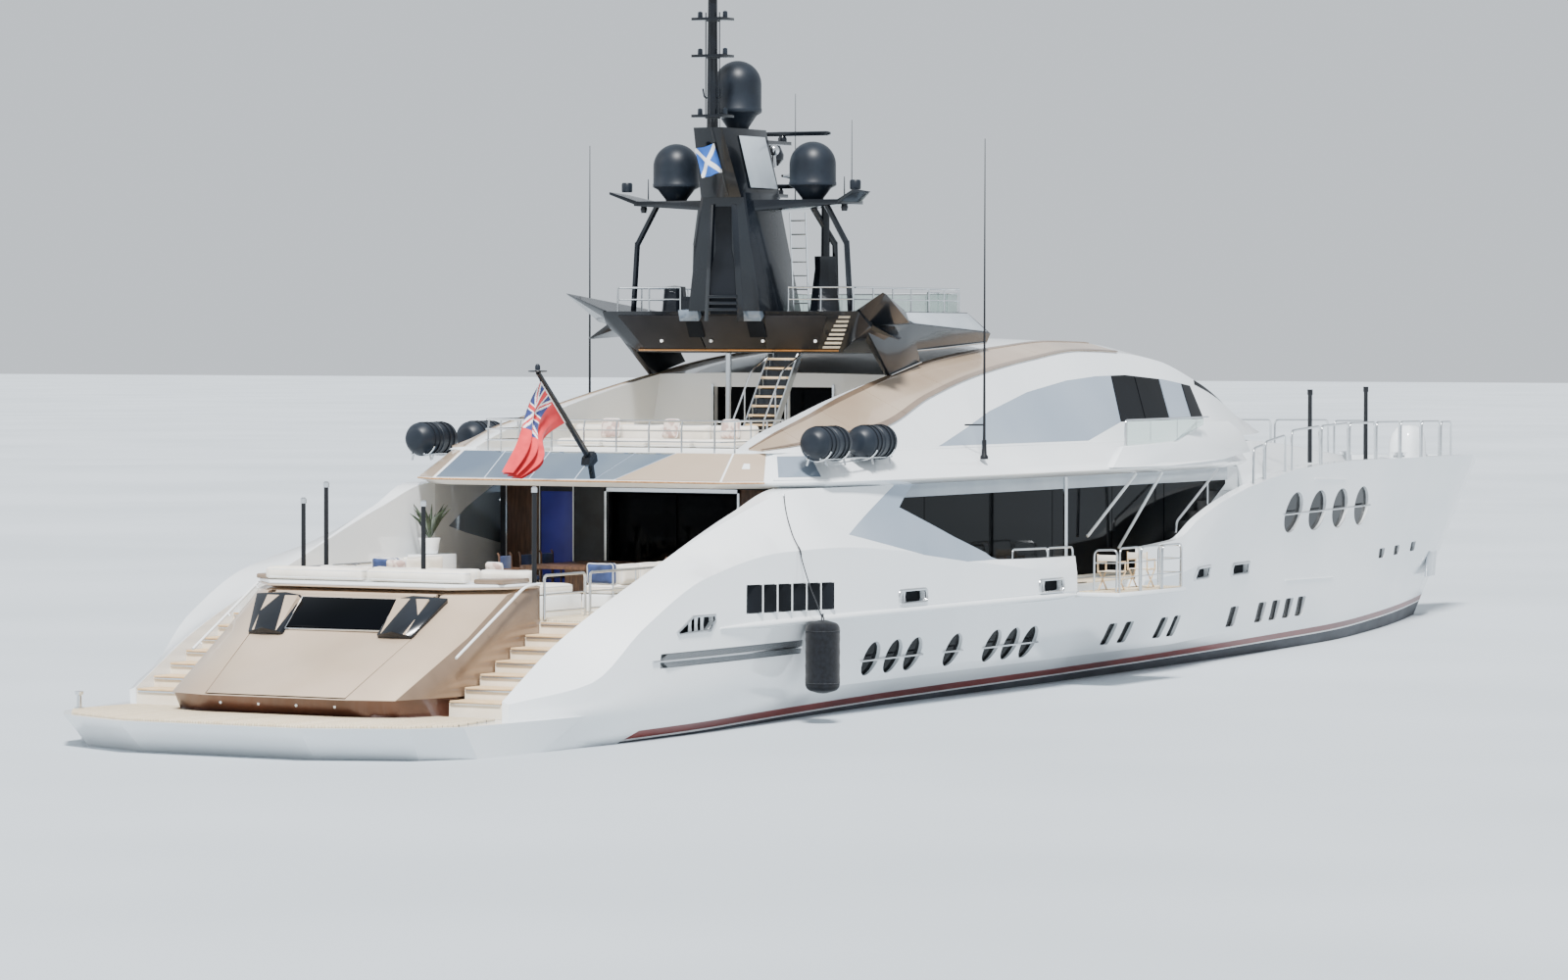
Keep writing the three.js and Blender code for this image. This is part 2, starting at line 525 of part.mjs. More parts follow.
const saloonDoor = () => join(
  box(HOUSE.aft + WALL + 0.03, HOUSE.aft + WALL + 0.09, -HOUSE.doorHalf - 0.1, -0.012, MAIN_DECK + GAP, 4.55),
);

// Upper deck: a slab with a sharp edge, sloping up to a ledge, and a raked aft face
// Columns: height, then x y of the corners from the aft edge forward
const upperDeckRings = [
  [SOFFIT, [13.5, 3.2], [14.0, 3.9], [15.45, 4.75], [18.2, 5.05], [26, 5.15], [31.3, 5.15], [35.5, 4.85], [38.2, 4.2]],
  [4.86, [13.34, 3.49], [13.93, 4.2], [15.4, 5.0], [18.1, 5.25], [26, 5.35], [31.3, 5.35], [35.5, 5.0], [38.4, 4.3]],
  [LEDGE, [14.25, 3.3], [14.75, 3.8], [15.9, 4.3], [18.5, 4.56], [26, 4.65], [31.3, 4.65], [35.5, 4.35], [38.2, 3.9]],
];

function upperDeck() {
  const slab = loft(upperDeckRings.map(([z, ...side]) => mirroredPlan(side).map(([x, y]) => [x, y, z])));
  const floor = prism('z', mirroredPlan([[14.55, 2.98], [15.4, 3.15], [21.95, 2.85], [22.15, 4.3], [36, 4.1]]),
    UPPER_DECK, 6);
  return slab.subtract(floor).add(bothSides(bridgeWing()));
}

// Bridge house and the arches that sweep aft from it
// Columns: x, base y, groove y z, top y z, roof centre z
const bridgeStations = [
  [14.6, 3.85, 3.75, LEDGE + 0.04, 3.45, LEDGE + 0.06, LEDGE + 0.06],
  [15.6, 4.1, 4.0, 5.58, 3.5, 5.82, 5.84],
  [17.1, 4.35, 4.2, 5.74, 3.4, 6.13, 6.15],
  [19.0, 4.5, 4.3, 5.93, 3.2, 6.52, 6.55],
  [21.7, 4.58, 4.02, 6.53, 3.0, 6.98, 7.02],
  [24.5, 4.6, 3.76, 6.99, 2.83, 7.37, 7.42],
  [27.8, 4.6, 3.52, 7.34, 2.68, 7.62, 7.7],
  [30.6, 4.58, 3.42, 7.54, 2.6, 7.75, 7.85],
  [32.7, 4.5, 3.42, 7.5, 2.6, 7.72, 7.82],
  [35.0, 4.36, 3.44, 7.3, 2.6, 7.5, 7.6],
  [37.1, 4.1, 3.5, 6.8, 2.5, 7.05, 7.12],
  [41.0, 3.3, 3.0, 5.82, 2.1, 6.3, 6.42],
  [44.0, 2.2, 2.1, 5.5, 1.2, 5.74, 5.8],
];

function bridgeShell(shrink) {
  const base = LEDGE + GAP - shrink;
  return loft(bridgeStations.map(([x, baseY, grooveY, grooveZ, topY, topZ, roofZ], i) => {
    const nose = i === bridgeStations.length - 1 ? x - shrink * 2 : x;
    const half = [[nose, 0, base], [nose, baseY - shrink, base], [nose, grooveY - shrink, grooveZ - shrink * 0.6],
      [nose, topY - shrink, topZ - shrink], [nose, 0, roofZ - shrink]];
    return mirroredRing(half);
  }));
}

const sideWindowOutline = [
  [21.15, 5.5], [22.88, 5.88], [24.35, 6.22], [26.76, 6.62], [29.13, 6.87], [30.83, 6.96], [32.56, 6.98],
  [34.8, 6.86], [36.5, 6.7], [36.5, 5.9], [31.0, 5.9], [28.7, 5.5],
];
const windscreenOutline = [[36.85, 6.72], [37.25, 7.2], [42.9, 6.1], [43.4, 5.85], [40.9, 5.86]];
const BULKHEAD = 22;

function bridgeParts() {
  const outer = bridgeShell(0);
  const inner = bridgeShell(WALL).intersect(box(BULKHEAD + WALL, 43, -6, 6, 5, 9));
  const aftWell = prism('x', [[-3.25, 5], [3.25, 5], [2.62, 8.6], [-2.62, 8.6]], 13, BULKHEAD);
  const lounge = box(BULKHEAD - 1, BULKHEAD + 1, -1.5, 1.5, UPPER_DECK + 0.04, 6.75);
  const shell = outer.subtract(inner).subtract(aftWell).subtract(lounge);
  const sideCut = prism('y', sideWindowOutline, -7, 7);
  const frontCut = prism('y', windscreenOutline, -7, 7);
  const sideGlass = shell.intersect(prism('y', inset(sideWindowOutline, 0.9985), -7, -1));
  const frontGlass = shell.intersect(prism('y', inset(windscreenOutline, 0.998), -7, 7));
  return { house: shell.subtract(sideCut).subtract(frontCut), sideGlass, frontGlass };
}

const loungeDoor = () => box(BULKHEAD + WALL + 0.03, BULKHEAD + WALL + 0.09, -1.6, -0.012, UPPER_DECK + GAP, 6.8);

// Bronze bands lying on the arches, from the aft edge of the upper deck to the roof
function bronzeBand() {
  const lift = 0.03;
  const rows = bridgeStations.slice(0, 9).map(([x, , grooveY, grooveZ, topY, topZ]) => [
    [x, -grooveY, grooveZ + GAP * 1.5], [x, -topY, topZ + GAP * 1.5],
    [x, -topY, topZ + lift], [x, -grooveY - lift * 0.6, grooveZ + lift],
  ]);
  return loft(rows);
}

// The bridge wing's bulwark on the starboard side
function bridgeWing() {
  const outline = [[28.2, 4.9], [31.3, 4.88], [35.4, 4.95], [37.6, 5.1], [37.2, 5.6], [36.4, 5.86], [34.4, 5.86],
    [32.4, 5.42], [29.0, 5.36]];
  return prism('y', outline, -5.42, -5.24).warp((v) => {
    v[1] += Math.max(0, v[0] - 31.3) * 0.1 + (v[2] - 4.9) * 0.25;
  });
}

// White trunk ahead of the bridge, sloping down to the foredeck
// Columns: x, foot y, top y, top z, crown z
const trunkStations = [
  [38.45, 4.1, 3.9, 5.3, 5.44],
  [41.0, 3.75, 3.3, 5.3, 5.44],
  [44.3, 3.1, 2.7, 5.15, 5.4],
  [47.5, 2.55, 2.2, 4.95, 5.15],
  [50.4, 2.1, 1.8, 4.75, 4.92],
  [51.6, 1.7, 1.4, 4.3, 4.35],
];
const foredeckTrunk = () => loft(trunkStations.map(([x, footY, topY, topZ, crownZ]) => mirroredRing([
  [x, 0, FORE_DECK + GAP], [x, footY, FORE_DECK + GAP], [x, topY, topZ], [x, 0, crownZ]])));

// Hardtop over the upper deck, with the sun deck let into it and winglets at its aft corners
function hardtop() {
  const body = wedge([
    [19.95, 3.2, HARDTOP_TOP], [20.4, 2.55, 7.53], [22.2, 3.35, 8.15], [22.2, 3.0, 7.5], [26.8, 3.0, 7.95],
    [26.8, 2.9, 7.72], [28.4, 1.2, 8.05], [28.4, 1.2, 7.8], [26.0, 2.8, HARDTOP_TOP], [27.6, 1.0, 8.35],
    [20.3, 3.3, 8.1],
  ].flatMap(([x, y, z]) => [[x, y, z], [x, -y, z]]));
  const well = prism('z', mirroredPlan([[20.6, 2.5], [25.8, 2.5], [26.9, 1.0]]), SUN_DECK, 9);
  const upperFin = wedge([
    [20.0, 3.1, HARDTOP_TOP], [22.4, 3.1, HARDTOP_TOP], [20.4, 3.1, 8.1], [22.4, 3.1, 8.15],
    [19.65, 3.95, 8.82], [19.75, 3.98, 8.78], [21.0, 3.9, 8.18], [21.1, 3.8, 8.16],
  ]);
  const lowerFin = wedge([
    [20.35, 3.2, 8.2], [21.6, 3.2, 8.15], [20.5, 3.1, 8.05], [21.6, 3.0, 7.9], [20.5, 3.9, 7.8], [20.6, 3.92, 7.84],
  ]);
  const skirt = wedge([
    [20.3, 3.18, 8.1], [20.3, 3.0, 8.1], [22.6, 3.18, 8.0], [22.6, 3.0, 8.0],
    [21.75, 3.05, 7.01], [21.75, 2.92, 7.01], [23.2, 3.05, 7.3], [23.2, 2.92, 7.3],
  ]);
  const carried = bridgeShell(0).translate([0, 0, 0.04]);
  const pillars = [0.37, -1.1].map((y) => rod([20.62, y, UPPER_DECK + TEAK + GAP], [20.62, y, 7.7], 0.06, 10));
  const roof = join(body.subtract(well), bothSides(join(upperFin, lowerFin, skirt))).subtract(carried);
  return join(roof, ...pillars);
}

// Open stairs from the upper deck to the sun deck
const LADDER = { foot: [18.55, UPPER_DECK + TEAK + GAP], head: [20.36, 7.5], y: -1.2, half: 0.38, steps: 11 };
function sundeckStairs() {
  const { foot, head, y, half, steps } = LADDER;
  const stringer = (side) => {
    const [y0, y1] = [y + side * half, y + side * (half - 0.04)].sort((a, b) => a - b);
    return prism('y', [foot, [foot[0] + 0.25, foot[1]], [head[0] + 0.12, head[1]], [head[0] - 0.13, head[1]]], y0, y1);
  };
  const treads = Array.from({ length: steps }, (_, i) => {
    const share = (i + 1) / (steps + 0.6);
    const [x, z] = [0, 1].map((k) => foot[k] + (head[k] - foot[k]) * share);
    return box(x - 0.03, x + 0.21, y - half + 0.02, y + half - 0.02, z - 0.025, z + 0.025);
  });
  const hand = (side) => join(
    rod([foot[0] + 0.12, y + side * half, foot[1] + 0.05], [foot[0] + 0.12, y + side * half, 6.0], 0.02),
    rod([19.45, y + side * half, 6.2], [19.45, y + side * half, 7.1], 0.02),
    rod([foot[0] + 0.12, y + side * half, 5.98], [19.46, y + side * half, 7.09], 0.02),
  );
  return join(stringer(1), stringer(-1), ...treads, hand(1), hand(-1));
}

// Mast: a pylon on the sun deck with two arms for the side domes and a pole on top
const ARM_TOP = 10.85;
const SCANNER_UPPER = { x: 22.4, z: 12.2 };
const SCANNER_LOWER = { x: 22.25, z: 11.03 };

function mast() {
  const pylon = wedge([
    [19.75, 0.95, SUN_DECK + GAP], [21.7, 0.95, SUN_DECK + GAP], [19.7, 0.55, 11.0], [21.3, 0.5, 11.0],
  ].flatMap(([x, y, z]) => [[x, y, z], [x, -y, z]]));
  const head = wedge([
    [19.6, 0.5, 10.9], [21.4, 0.5, 10.9], [19.0, 0.35, 12.4], [21.0, 0.35, 12.4],
  ].flatMap(([x, y, z]) => [[x, y, z], [x, -y, z]]));
  const arm = join(
    wedge([[20.0, 0.3, 10.6], [21.4, 0.3, 10.6], [20.0, 0.3, ARM_TOP], [21.4, 0.3, ARM_TOP],
      [20.3, 2.6, 10.75], [21.3, 2.6, 10.75], [20.3, 2.6, ARM_TOP], [21.3, 2.6, ARM_TOP]]),
    wedge([[20.3, 2.5, 10.75], [21.3, 2.5, 10.75], [20.3, 2.5, ARM_TOP], [21.3, 2.5, ARM_TOP],
      [20.0, 3.05, 11.0], [20.8, 3.05, 11.02], [20.0, 3.05, 11.06]]),
    rod([20.5, 2.1, 10.78], [20.5, 2.62, 9.9], 0.07),
    rod([20.5, 2.62, 9.95], [20.5, 2.72, HARDTOP_TOP + GAP], 0.07),
    rod([21.2, 1.4, 10.72], [21.6, 1.75, 9.9], 0.07),
    rod([21.6, 1.75, 9.95], [21.6, 1.8, SUN_DECK + GAP], 0.07),
  );
  const pole = rod([19.22, 0, 12.3], [19.22, 0, 15.3], 0.13, 8, 0.1);
  const plates = [12.65, 13.95, 14.75].map((z) => box(18.95, 19.5, -0.38, 0.38, z - 0.03, z + 0.03));
  const brackets = join(
    box(20.6, SCANNER_UPPER.x + 0.2, -0.12, 0.12, SCANNER_UPPER.z - 0.08, SCANNER_UPPER.z),
    box(21.2, SCANNER_LOWER.x + 0.2, -0.12, 0.12, SCANNER_LOWER.z - 0.08, SCANNER_LOWER.z),
  );
  return join(pylon, head, bothSides(arm), pole, ...plates, brackets)
    .subtract(box(19, 20.62, -3.2, 3.2, 7, HARDTOP_TOP + GAP)).subtract(box(20, 23, -2.4, 2.4, 7, SUN_DECK + GAP));
}

// A dome on a short foot
function radome(x, y, z, radius, height) {
  const profile = [[0, 0], [radius * 0.45, 0], [radius * 0.8, height * 0.16], [radius * 1.02, height * 0.22]];
  const body = height - radius;
  profile.push([radius, body * 0.6]);
  for (let i = 0; i <= 3; i += 1) {
    const angle = (Math.PI / 2) * (i / 4);
    profile.push([radius * Math.cos(angle), body + radius * Math.sin(angle)]);
  }
  profile.push([0, height]);
  return turned(profile, [x, y, z], 16);
}

// A scanner bar on its turning foot
const scanner = (x, z, half) => join(
  rod([x, 0, z + GAP], [x, 0, z + 0.14], 0.1, 8),
  box(x - 0.06, x + 0.06, -half, half, z + 0.12, z + 0.22),
);

// A tube along a line of points that stays off the vertical, with mitred bends
function tube(points, radius, sides = 6) {
  const path = points.map((p) => new THREE.Vector3(...p));
  const rings = path.map((p, i) => {
    const ahead = path[Math.min(i + 1, path.length - 1)].clone().sub(path[Math.min(i, path.length - 2)]).normalize();
    const behind = path[Math.max(i, 1)].clone().sub(path[Math.max(i - 1, 0)]).normalize();
    const along = ahead.clone().add(behind).normalize();
    const across = new THREE.Vector3(0, 0, 1).cross(along).normalize();
    const up = along.clone().cross(across);
    const mitre = 1 / Math.max(ahead.dot(along), 0.5);
    return Array.from({ length: sides }, (_, k) => {
      const angle = (2 * Math.PI * (k + 0.5)) / sides;
      return p.clone().addScaledVector(across, Math.cos(angle) * radius * mitre)
        .addScaledVector(up, Math.sin(angle) * radius).toArray();
    });
  });
  return loft(rings);
}

// Rails: posts joined by rails, the top one at the given height
function rail(points, height, radius, rows = 1) {
  const posts = points.map(([x, y, z]) => rod([x, y, z], [x, y, z + height], radius));
  const end = (p, q) => p.map((v, k) => v + ((v - q[k]) * radius) / apart(p, q));
  const line = [end(points[0], points[1]), ...points.slice(1, -1), end(points.at(-1), points.at(-2))];
  const rails = Array.from({ length: rows }, (_, r) => {
    const h = (height * (r + 1)) / rows - (r === rows - 1 ? radius * 0.3 : 0);
    return tube(line.map(([x, y, z]) => [x, y, z + h]), radius * 1.08);
  });
  return join(...posts, ...rails);
}

// Where a post stands on the bulwark's flat top
function onBulwark(x) {
  const tops = hullStations.map((s) => [s[0] + s[1] * s[13], s[12], s[13]]);
  const k = tops.findIndex((p) => p[0] >= x);
  const share = (x - tops[k - 1][0]) / (tops[k][0] - tops[k - 1][0]);
  const [y, z] = [1, 2].map((i) => tops[k - 1][i] + (tops[k][i] - tops[k - 1][i]) * share);
  return [x, -y + 0.12, z + 0.003];
}
const bowRailPoints = [40.3, 43.2, 46.2, 49.2, 52.2, 55.1, 57.9].map(onBulwark);

// Rail round the aft edge of the upper deck, turning forward at both ends
function upperDeckRail() {
  const top = 6.12;
  const aftPoints = [-2.85, -1.9, -0.95, 0, 0.95, 1.9, 2.85].map((y) => [14.42, y, LEDGE + GAP]);
  const heights = [1, 2, 3].map((r) => LEDGE + ((top - LEDGE) * r) / 3 - (r === 3 ? 0.025 : 0));
  const turn = (side) => join(
    ...heights.map((z) => rod([14.41, side * 2.85, z], [17.2, side * 2.85, z], 0.025)),
    ...[15.8, 17.18].map((x) => rod([x, side * 2.85, UPPER_DECK + TEAK + GAP], [x, side * 2.85, top], 0.025)),
  );
  return join(rail(aftPoints, top - LEDGE, 0.025, 3), turn(1), turn(-1));
}

// Rails on the hardtop's flat rim, outside the sun deck
const sundeckRail = () => rail([[20.2, -1.35], [20.2, -2.95], [22.2, -2.88], [24.1, -2.8], [25.8, -2.7]]
  .map(([x, y]) => [x, y, HARDTOP_TOP + GAP]), 0.52, 0.025, 2);

// Life rafts in dark canisters, two on each side, on a cradle on the deck edge
const raftPlaces = [15.45, 17.5];
function lifeRafts() {
  const canisters = raftPlaces.map((x) => join(
    rod([x - 0.7, -4.82, 5.66], [x + 0.7, -4.82, 5.66], 0.34, 12),
    box(x - 0.45, x - 0.35, -5.0, -4.64, 4.9, 5.5),
    box(x + 0.35, x + 0.45, -5.0, -4.64, 4.9, 5.5),
  ));
  const cradle = box(14.9, 18.1, -4.88, -4.76, 5.28, 5.4);
  return join(...canisters, cradle).subtract(deckEdge());
}
const deckEdge = () => loft(upperDeckRings.map(([z, ...side]) => mirroredPlan(side).map(([x, y]) => [x, y, z + GAP * 1.5])));

// The balcony: a flap of the bulwark folded out on its hinge, with rails on its outer edge
function balcony() {
  const { x0, x1, sill, hingeY, hingeZ, pin, outer } = BALCONY;
  const flap = box(x0 + 0.03, x1 - 0.03, -outer, -hingeY - 0.04, sill - 0.12, sill);
  const barrel = join(
    rod([x0 + 0.03, -hingeY, hingeZ], [x1 - 0.03, -hingeY, hingeZ], 0.05, 12),
    rod([x0 - 0.05, -hingeY, hingeZ], [x1 + 0.05, -hingeY, hingeZ], pin, 12),
  );
  const posts = [0, 0.25, 0.5, 0.75, 1].map((share) => {
    const x = x0 + 0.12 + (x1 - x0 - 0.24) * share;
    return [x, -outer + 0.06, sill - 0.02];
  });
  return join(flap, barrel, rail(posts, 0.98, 0.025, 3));
}

// Soft seats on the two open decks
const AFT_SOFA = { x0: 7.4, x1: 9.3, half: 2.6 };
const aftSofaBase = () => box(AFT_SOFA.x0, AFT_SOFA.x1, -AFT_SOFA.half, AFT_SOFA.half, MAIN_DECK + GAP, 2.75);
const aftCushions = () => join(box(7.8, 9.25, -2.55, 2.55, 2.75 + GAP, 2.95), box(7.42, 7.85, -2.55, 2.55, 2.75 + GAP, 3.3));
const upperSofaBase = () => box(16.2, 17.4, -2.3, 2.3, UPPER_DECK + TEAK + GAP, 5.5);
const upperCushions = () => join(box(16.3, 17.1, -2.25, 2.25, 5.5 + GAP, 5.68), box(17.05, 17.38, -2.25, 2.25, 5.5 + GAP, 6.0));

// Ensign staff, raked aft, and its flag
const STAFF = { foot: [14.0, 0, 5.3], head: [11.9, 0, 7.12] };
function ensignStaff() {
  return rod(STAFF.foot, STAFF.head, 0.06, 8).subtract(deckEdge());
}
const ensign = () => prism('y', [[11.936, 7.008], [12.843, 6.222], [12.3, 5.6], [11.75, 4.95], [11.5, 5.1], [11.75, 5.9]],
  -0.012, 0.012);

// Below the waterline
const RUDDER = { x: 4.6, seat: -0.98, top: -1.1, foot: -2.6 };
const SHAFT = { y: 2.1, hubX: 6.35, hubZ: -2.25, foreX: 14.5, foreZ: -1.45 };
const HUB_HALF = 0.25;
function propellerShaft() {
  const { y, hubX, hubZ, foreX, foreZ } = SHAFT;
  const line = rod([hubX, -y, hubZ], [foreX, -y, foreZ], 0.1, 8)
    .subtract(box(hubX - 1, hubX + HUB_HALF + GAP, -y - 1, -y + 1, hubZ - 1, hubZ + 1));
  const strut = (side) => wedge([[7.0, -y, hubZ + 0.1], [7.45, -y, hubZ + 0.1], [7.0, -y + side * 0.03, hubZ + 0.1],
    [7.45, -y + side * 0.03, hubZ + 0.1], [7.0, -y + side * 0.7, -0.9], [7.45, -y + side * 0.7, -0.9],
    [7.0, -y + side * 0.76, -0.9], [7.45, -y + side * 0.76, -0.9]]);
  const rudderTrunk = rod([RUDDER.x, -y, -0.6], [RUDDER.x, -y, RUDDER.seat], 0.18, 12);
  return join(line, strut(-1), strut(1), rudderTrunk);
}

function propeller() {
  const { y, hubX, hubZ } = SHAFT;
  const hub = rod([hubX - HUB_HALF, -y, hubZ], [hubX + HUB_HALF, -y, hubZ], 0.16, 10);
  const cone = rod([hubX - HUB_HALF, -y, hubZ], [hubX - 0.5, -y, hubZ], 0.16, 10, 0.04);
  const blade = (turn) => {
    const points = [[-0.12, 0.08, 0.1], [0.12, -0.08, 0.1], [-0.22, 0.3, 0.5], [0.2, -0.28, 0.5], [-0.1, 0.22, 0.78],
      [0.08, -0.18, 0.78]];
    const thick = 0.02;
    return wedge(points.flatMap(([dx, dy, r]) => [[dx - thick, dy, r], [dx + thick, dy, r]]).map(([dx, dy, r]) => [
      hubX + dx, -y + dy * Math.cos(turn) - r * Math.sin(turn), hubZ + dy * Math.sin(turn) + r * Math.cos(turn)]));
  };
  return join(hub, cone, ...[0, 1, 2, 3, 4].map((i) => blade((2 * Math.PI * i) / 5)));
}

function rudder() {
  const { x, seat, top, foot } = RUDDER;
  const y = -SHAFT.y;
  const blade = wedge([
    [x + 0.4, y, top], [x, y + 0.1, top], [x, y - 0.1, top], [x - 0.9, y, top],
    [x + 0.3, y, foot], [x, y + 0.07, foot], [x, y - 0.07, foot], [x - 0.6, y, foot],
  ]);
  return join(blade, rod([x, y, top - 0.1], [x, y, seat - GAP], 0.1, 10));
}

// Fender on the starboard side, held against the hull by its line
function fender() {
  const y = -(beamAt(13.45, 2.1) + 0.341);
  const body = join(
    rod([13.45, y, 0.72], [13.45, y, 2.02], 0.36, 12),
    rod([13.45, y, 2.02], [13.45, y, 2.12], 0.36, 12, 0.2),
    rod([13.45, y, 0.72], [13.45, y, 0.62], 0.36, 12, 0.2),
  );
  return body;
}

const antenna = () => join(
  rod([22.45, -5.0, 5.0], [22.45, -5.0, 12.2], 0.035),
  rod([22.45, -5.0, 5.0], [22.45, -5.0, 5.35], 0.07),
).subtract(deckEdge());

const yacht = new THREE.Group();
function add(name, solid, material) {
  const mesh = new THREE.Mesh(toGeometry(solid), material);
  mesh.name = name;
  yacht.add(mesh);
}
function addPair(name, starboard, material) {
  add(`${name}_starboard`, starboard, material);
  add(`${name}_port`, mirrorY(starboard), material);
}

const wholeHull = hullSolid();
const screenCut = prism('y', screenOutline(0.05), -7, 7);
const topsides = wholeHull.subtract(screenCut).subtract(belowBootTop(0));
const bulwarks = topsides.intersect(aboveLedge(GAP));
const balconyMiddle = (BALCONY.x0 + BALCONY.x1) / 2;
add('hull_topsides', topsides.subtract(aboveLedge(0)), paint.white);
add('bulwark_aft_starboard', bulwarks.intersect(box(0, balconyMiddle, -7, -GAP / 2, 0, 8)), paint.white);
add('bulwark_fore_starboard', bulwarks.intersect(box(balconyMiddle, 66, -7, -GAP / 2, 0, 8)), paint.white);
add('bulwark_aft_port', bulwarks.intersect(box(0, balconyMiddle - GAP / 2, GAP / 2, 7, 0, 8)), paint.white);
add('bulwark_fore_port', bulwarks.intersect(box(balconyMiddle + GAP / 2, 66, GAP / 2, 7, 0, 8)), paint.white);
add('hull_underbody', wholeHull.intersect(belowBootTop(GAP)), paint.antifouling);
addPair('side_screen', sideWall(wholeHull, inset(screenOutline(0)), -7, -1), paint.blueGrey);
add('platform_teak', platformTeak(), paint.teak);
add('main_deck_teak', mainDeckTeak(), paint.teak);
add('transom_block', transomBlock(), paint.bronze);
add('transom_door', transomDoor(), paint.bronze);
add('transom_window', transomGlass(), paint.darkGlass);
addPair('stairs', stairs(), paint.teak);
add('main_deckhouse', mainDeckhouse(), paint.white);
addPair('saloon_windows', saloonWindows(), paint.darkGlass);
addPair('saloon_door', saloonDoor(), paint.darkGlass);
add('upper_deck', upperDeck(), paint.white);
add('upper_deck_teak', upperDeckTeak(), paint.teak);
const bridge = bridgeParts();
add('bridge_house', bridge.house, paint.white);
addPair('bridge_windows', bridge.sideGlass, paint.blueGrey);
add('windscreen', bridge.frontGlass, paint.darkGlass);
addPair('lounge_door', loungeDoor(), paint.darkGlass);
addPair('bronze_band', bronzeBand(), paint.bronze);
add('foredeck_trunk', foredeckTrunk(), paint.white);
add('hardtop', hardtop(), paint.black);
add('mast', mast(), paint.black);
addPair('radome', radome(20.64, -1.71, ARM_TOP + GAP, 0.51, 1.27), paint.slate);
add('radome_centre', radome(20.35, 0, 12.4 + GAP, 0.52, 1.5), paint.slate);
add('upper_radar_array', scanner(SCANNER_UPPER.x, SCANNER_UPPER.z, 1.2), paint.black);
add('lower_radar_array', scanner(SCANNER_LOWER.x, SCANNER_LOWER.z, 0.75), paint.black);
addPair('bow_rail', rail(bowRailPoints, 1.0, 0.03), paint.steel);
add('upper_deck_rail', upperDeckRail(), paint.steel);
addPair('sundeck_rail', sundeckRail(), paint.steel);
add('sundeck_stairs', sundeckStairs(), paint.steel);
addPair('life_rafts', lifeRafts(), paint.slate);
addPair('whip_antenna', antenna(), paint.black);
add('balcony', balcony(), paint.white);
add('aft_sofa', aftSofaBase(), paint.white);
add('aft_cushions', aftCushions(), paint.cushion);
add('upper_sofa', upperSofaBase(), paint.white);
add('upper_cushions', upperCushions(), paint.cushion);
add('ensign_staff', ensignStaff(), paint.black);
add('ensign', ensign(), paint.red);
add('fender', fender(), paint.rubber);
addPair('propeller', propeller(), paint.propeller);
addPair('rudder', rudder(), paint.antifouling);

yacht.scale.setScalar(MM_PER_METRE);
yacht.position.x = -MIDSHIPS * MM_PER_METRE;
yacht.updateMatrixWorld(true);

export default yacht;
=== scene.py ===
import math

import bmesh
import bpy
import numpy as np
from mathutils import Matrix, Vector
from mathutils.bvhtree import BVHTree


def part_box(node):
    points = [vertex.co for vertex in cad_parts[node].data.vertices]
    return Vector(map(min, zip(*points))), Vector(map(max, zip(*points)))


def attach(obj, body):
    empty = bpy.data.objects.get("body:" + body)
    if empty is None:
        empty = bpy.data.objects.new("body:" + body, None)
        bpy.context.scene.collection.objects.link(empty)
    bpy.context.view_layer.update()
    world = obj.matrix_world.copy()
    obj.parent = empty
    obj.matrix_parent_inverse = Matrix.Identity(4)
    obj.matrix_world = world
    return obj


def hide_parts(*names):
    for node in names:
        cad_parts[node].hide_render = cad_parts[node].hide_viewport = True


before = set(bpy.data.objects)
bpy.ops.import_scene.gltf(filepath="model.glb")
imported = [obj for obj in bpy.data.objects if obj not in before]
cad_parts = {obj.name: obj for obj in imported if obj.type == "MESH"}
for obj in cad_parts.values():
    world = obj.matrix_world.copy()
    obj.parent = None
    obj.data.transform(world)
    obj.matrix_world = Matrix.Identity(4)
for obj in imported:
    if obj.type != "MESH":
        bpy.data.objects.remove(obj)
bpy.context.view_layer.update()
print("frame loaded")

# The part is a half-size yacht. Shapes here are drawn in metres on the real one, with x forward
# from the transom, y to port and z up from the waterline, as in the part's source.
yacht = {"scale": 0.5, "midships": 32.5, "mainDeck": 2.3, "upperDeck": 5.1, "ledge": 5.45, "sunDeck": 8.0,
         "hardtopTop": 8.42, "foreDeck": 4.15, "platform": 0.63}


def at(x, y, z):
    return Vector(((x - yacht["midships"]) * yacht["scale"], y * yacht["scale"], z * yacht["scale"]))


def realPlace(x, y, z):
    return x / yacht["scale"] + yacht["midships"], y / yacht["scale"], z / yacht["scale"]


# Each shape helper gives a part: a list of points and a list of faces.

def boxPart(x0, x1, y0, y1, z0, z1):
    points = [(x, y, z) for x in (x0, x1) for y in (y0, y1) for z in (z0, z1)]
    return points, [(0, 1, 3, 2), (4, 6, 7, 5), (0, 4, 5, 1), (2, 3, 7, 6), (0, 2, 6, 4), (1, 5, 7, 3)]


def loftPart(rings, closed=True, caps=True):
    count = len(rings[0])
    points = [tuple(p) for ring in rings for p in ring]
    faces = []
    for r in range(len(rings) - 1):
        for i in range(count if closed else count - 1):
            j = (i + 1) % count
            faces.append((r * count + i, r * count + j, (r + 1) * count + j, (r + 1) * count + i))
    if closed and caps:
        faces.append(tuple(range(count)))
        faces.append(tuple(range((len(rings) - 1) * count, len(rings) * count)))
    return points, faces


def prismPart(axis, outline, start, end):
    place = {"x": lambda p, d: (d, p[0], p[1]), "y": lambda p, d: (p[0], d, p[1]), "z": lambda p, d: (p[0], p[1], d)}
    return loftPart([[place[axis](p, d) for p in outline] for d in (start, end)])


def crossPart(outline, half=7):
    # a prism through the yacht from side to side
    return prismPart("y", outline, -half, half)


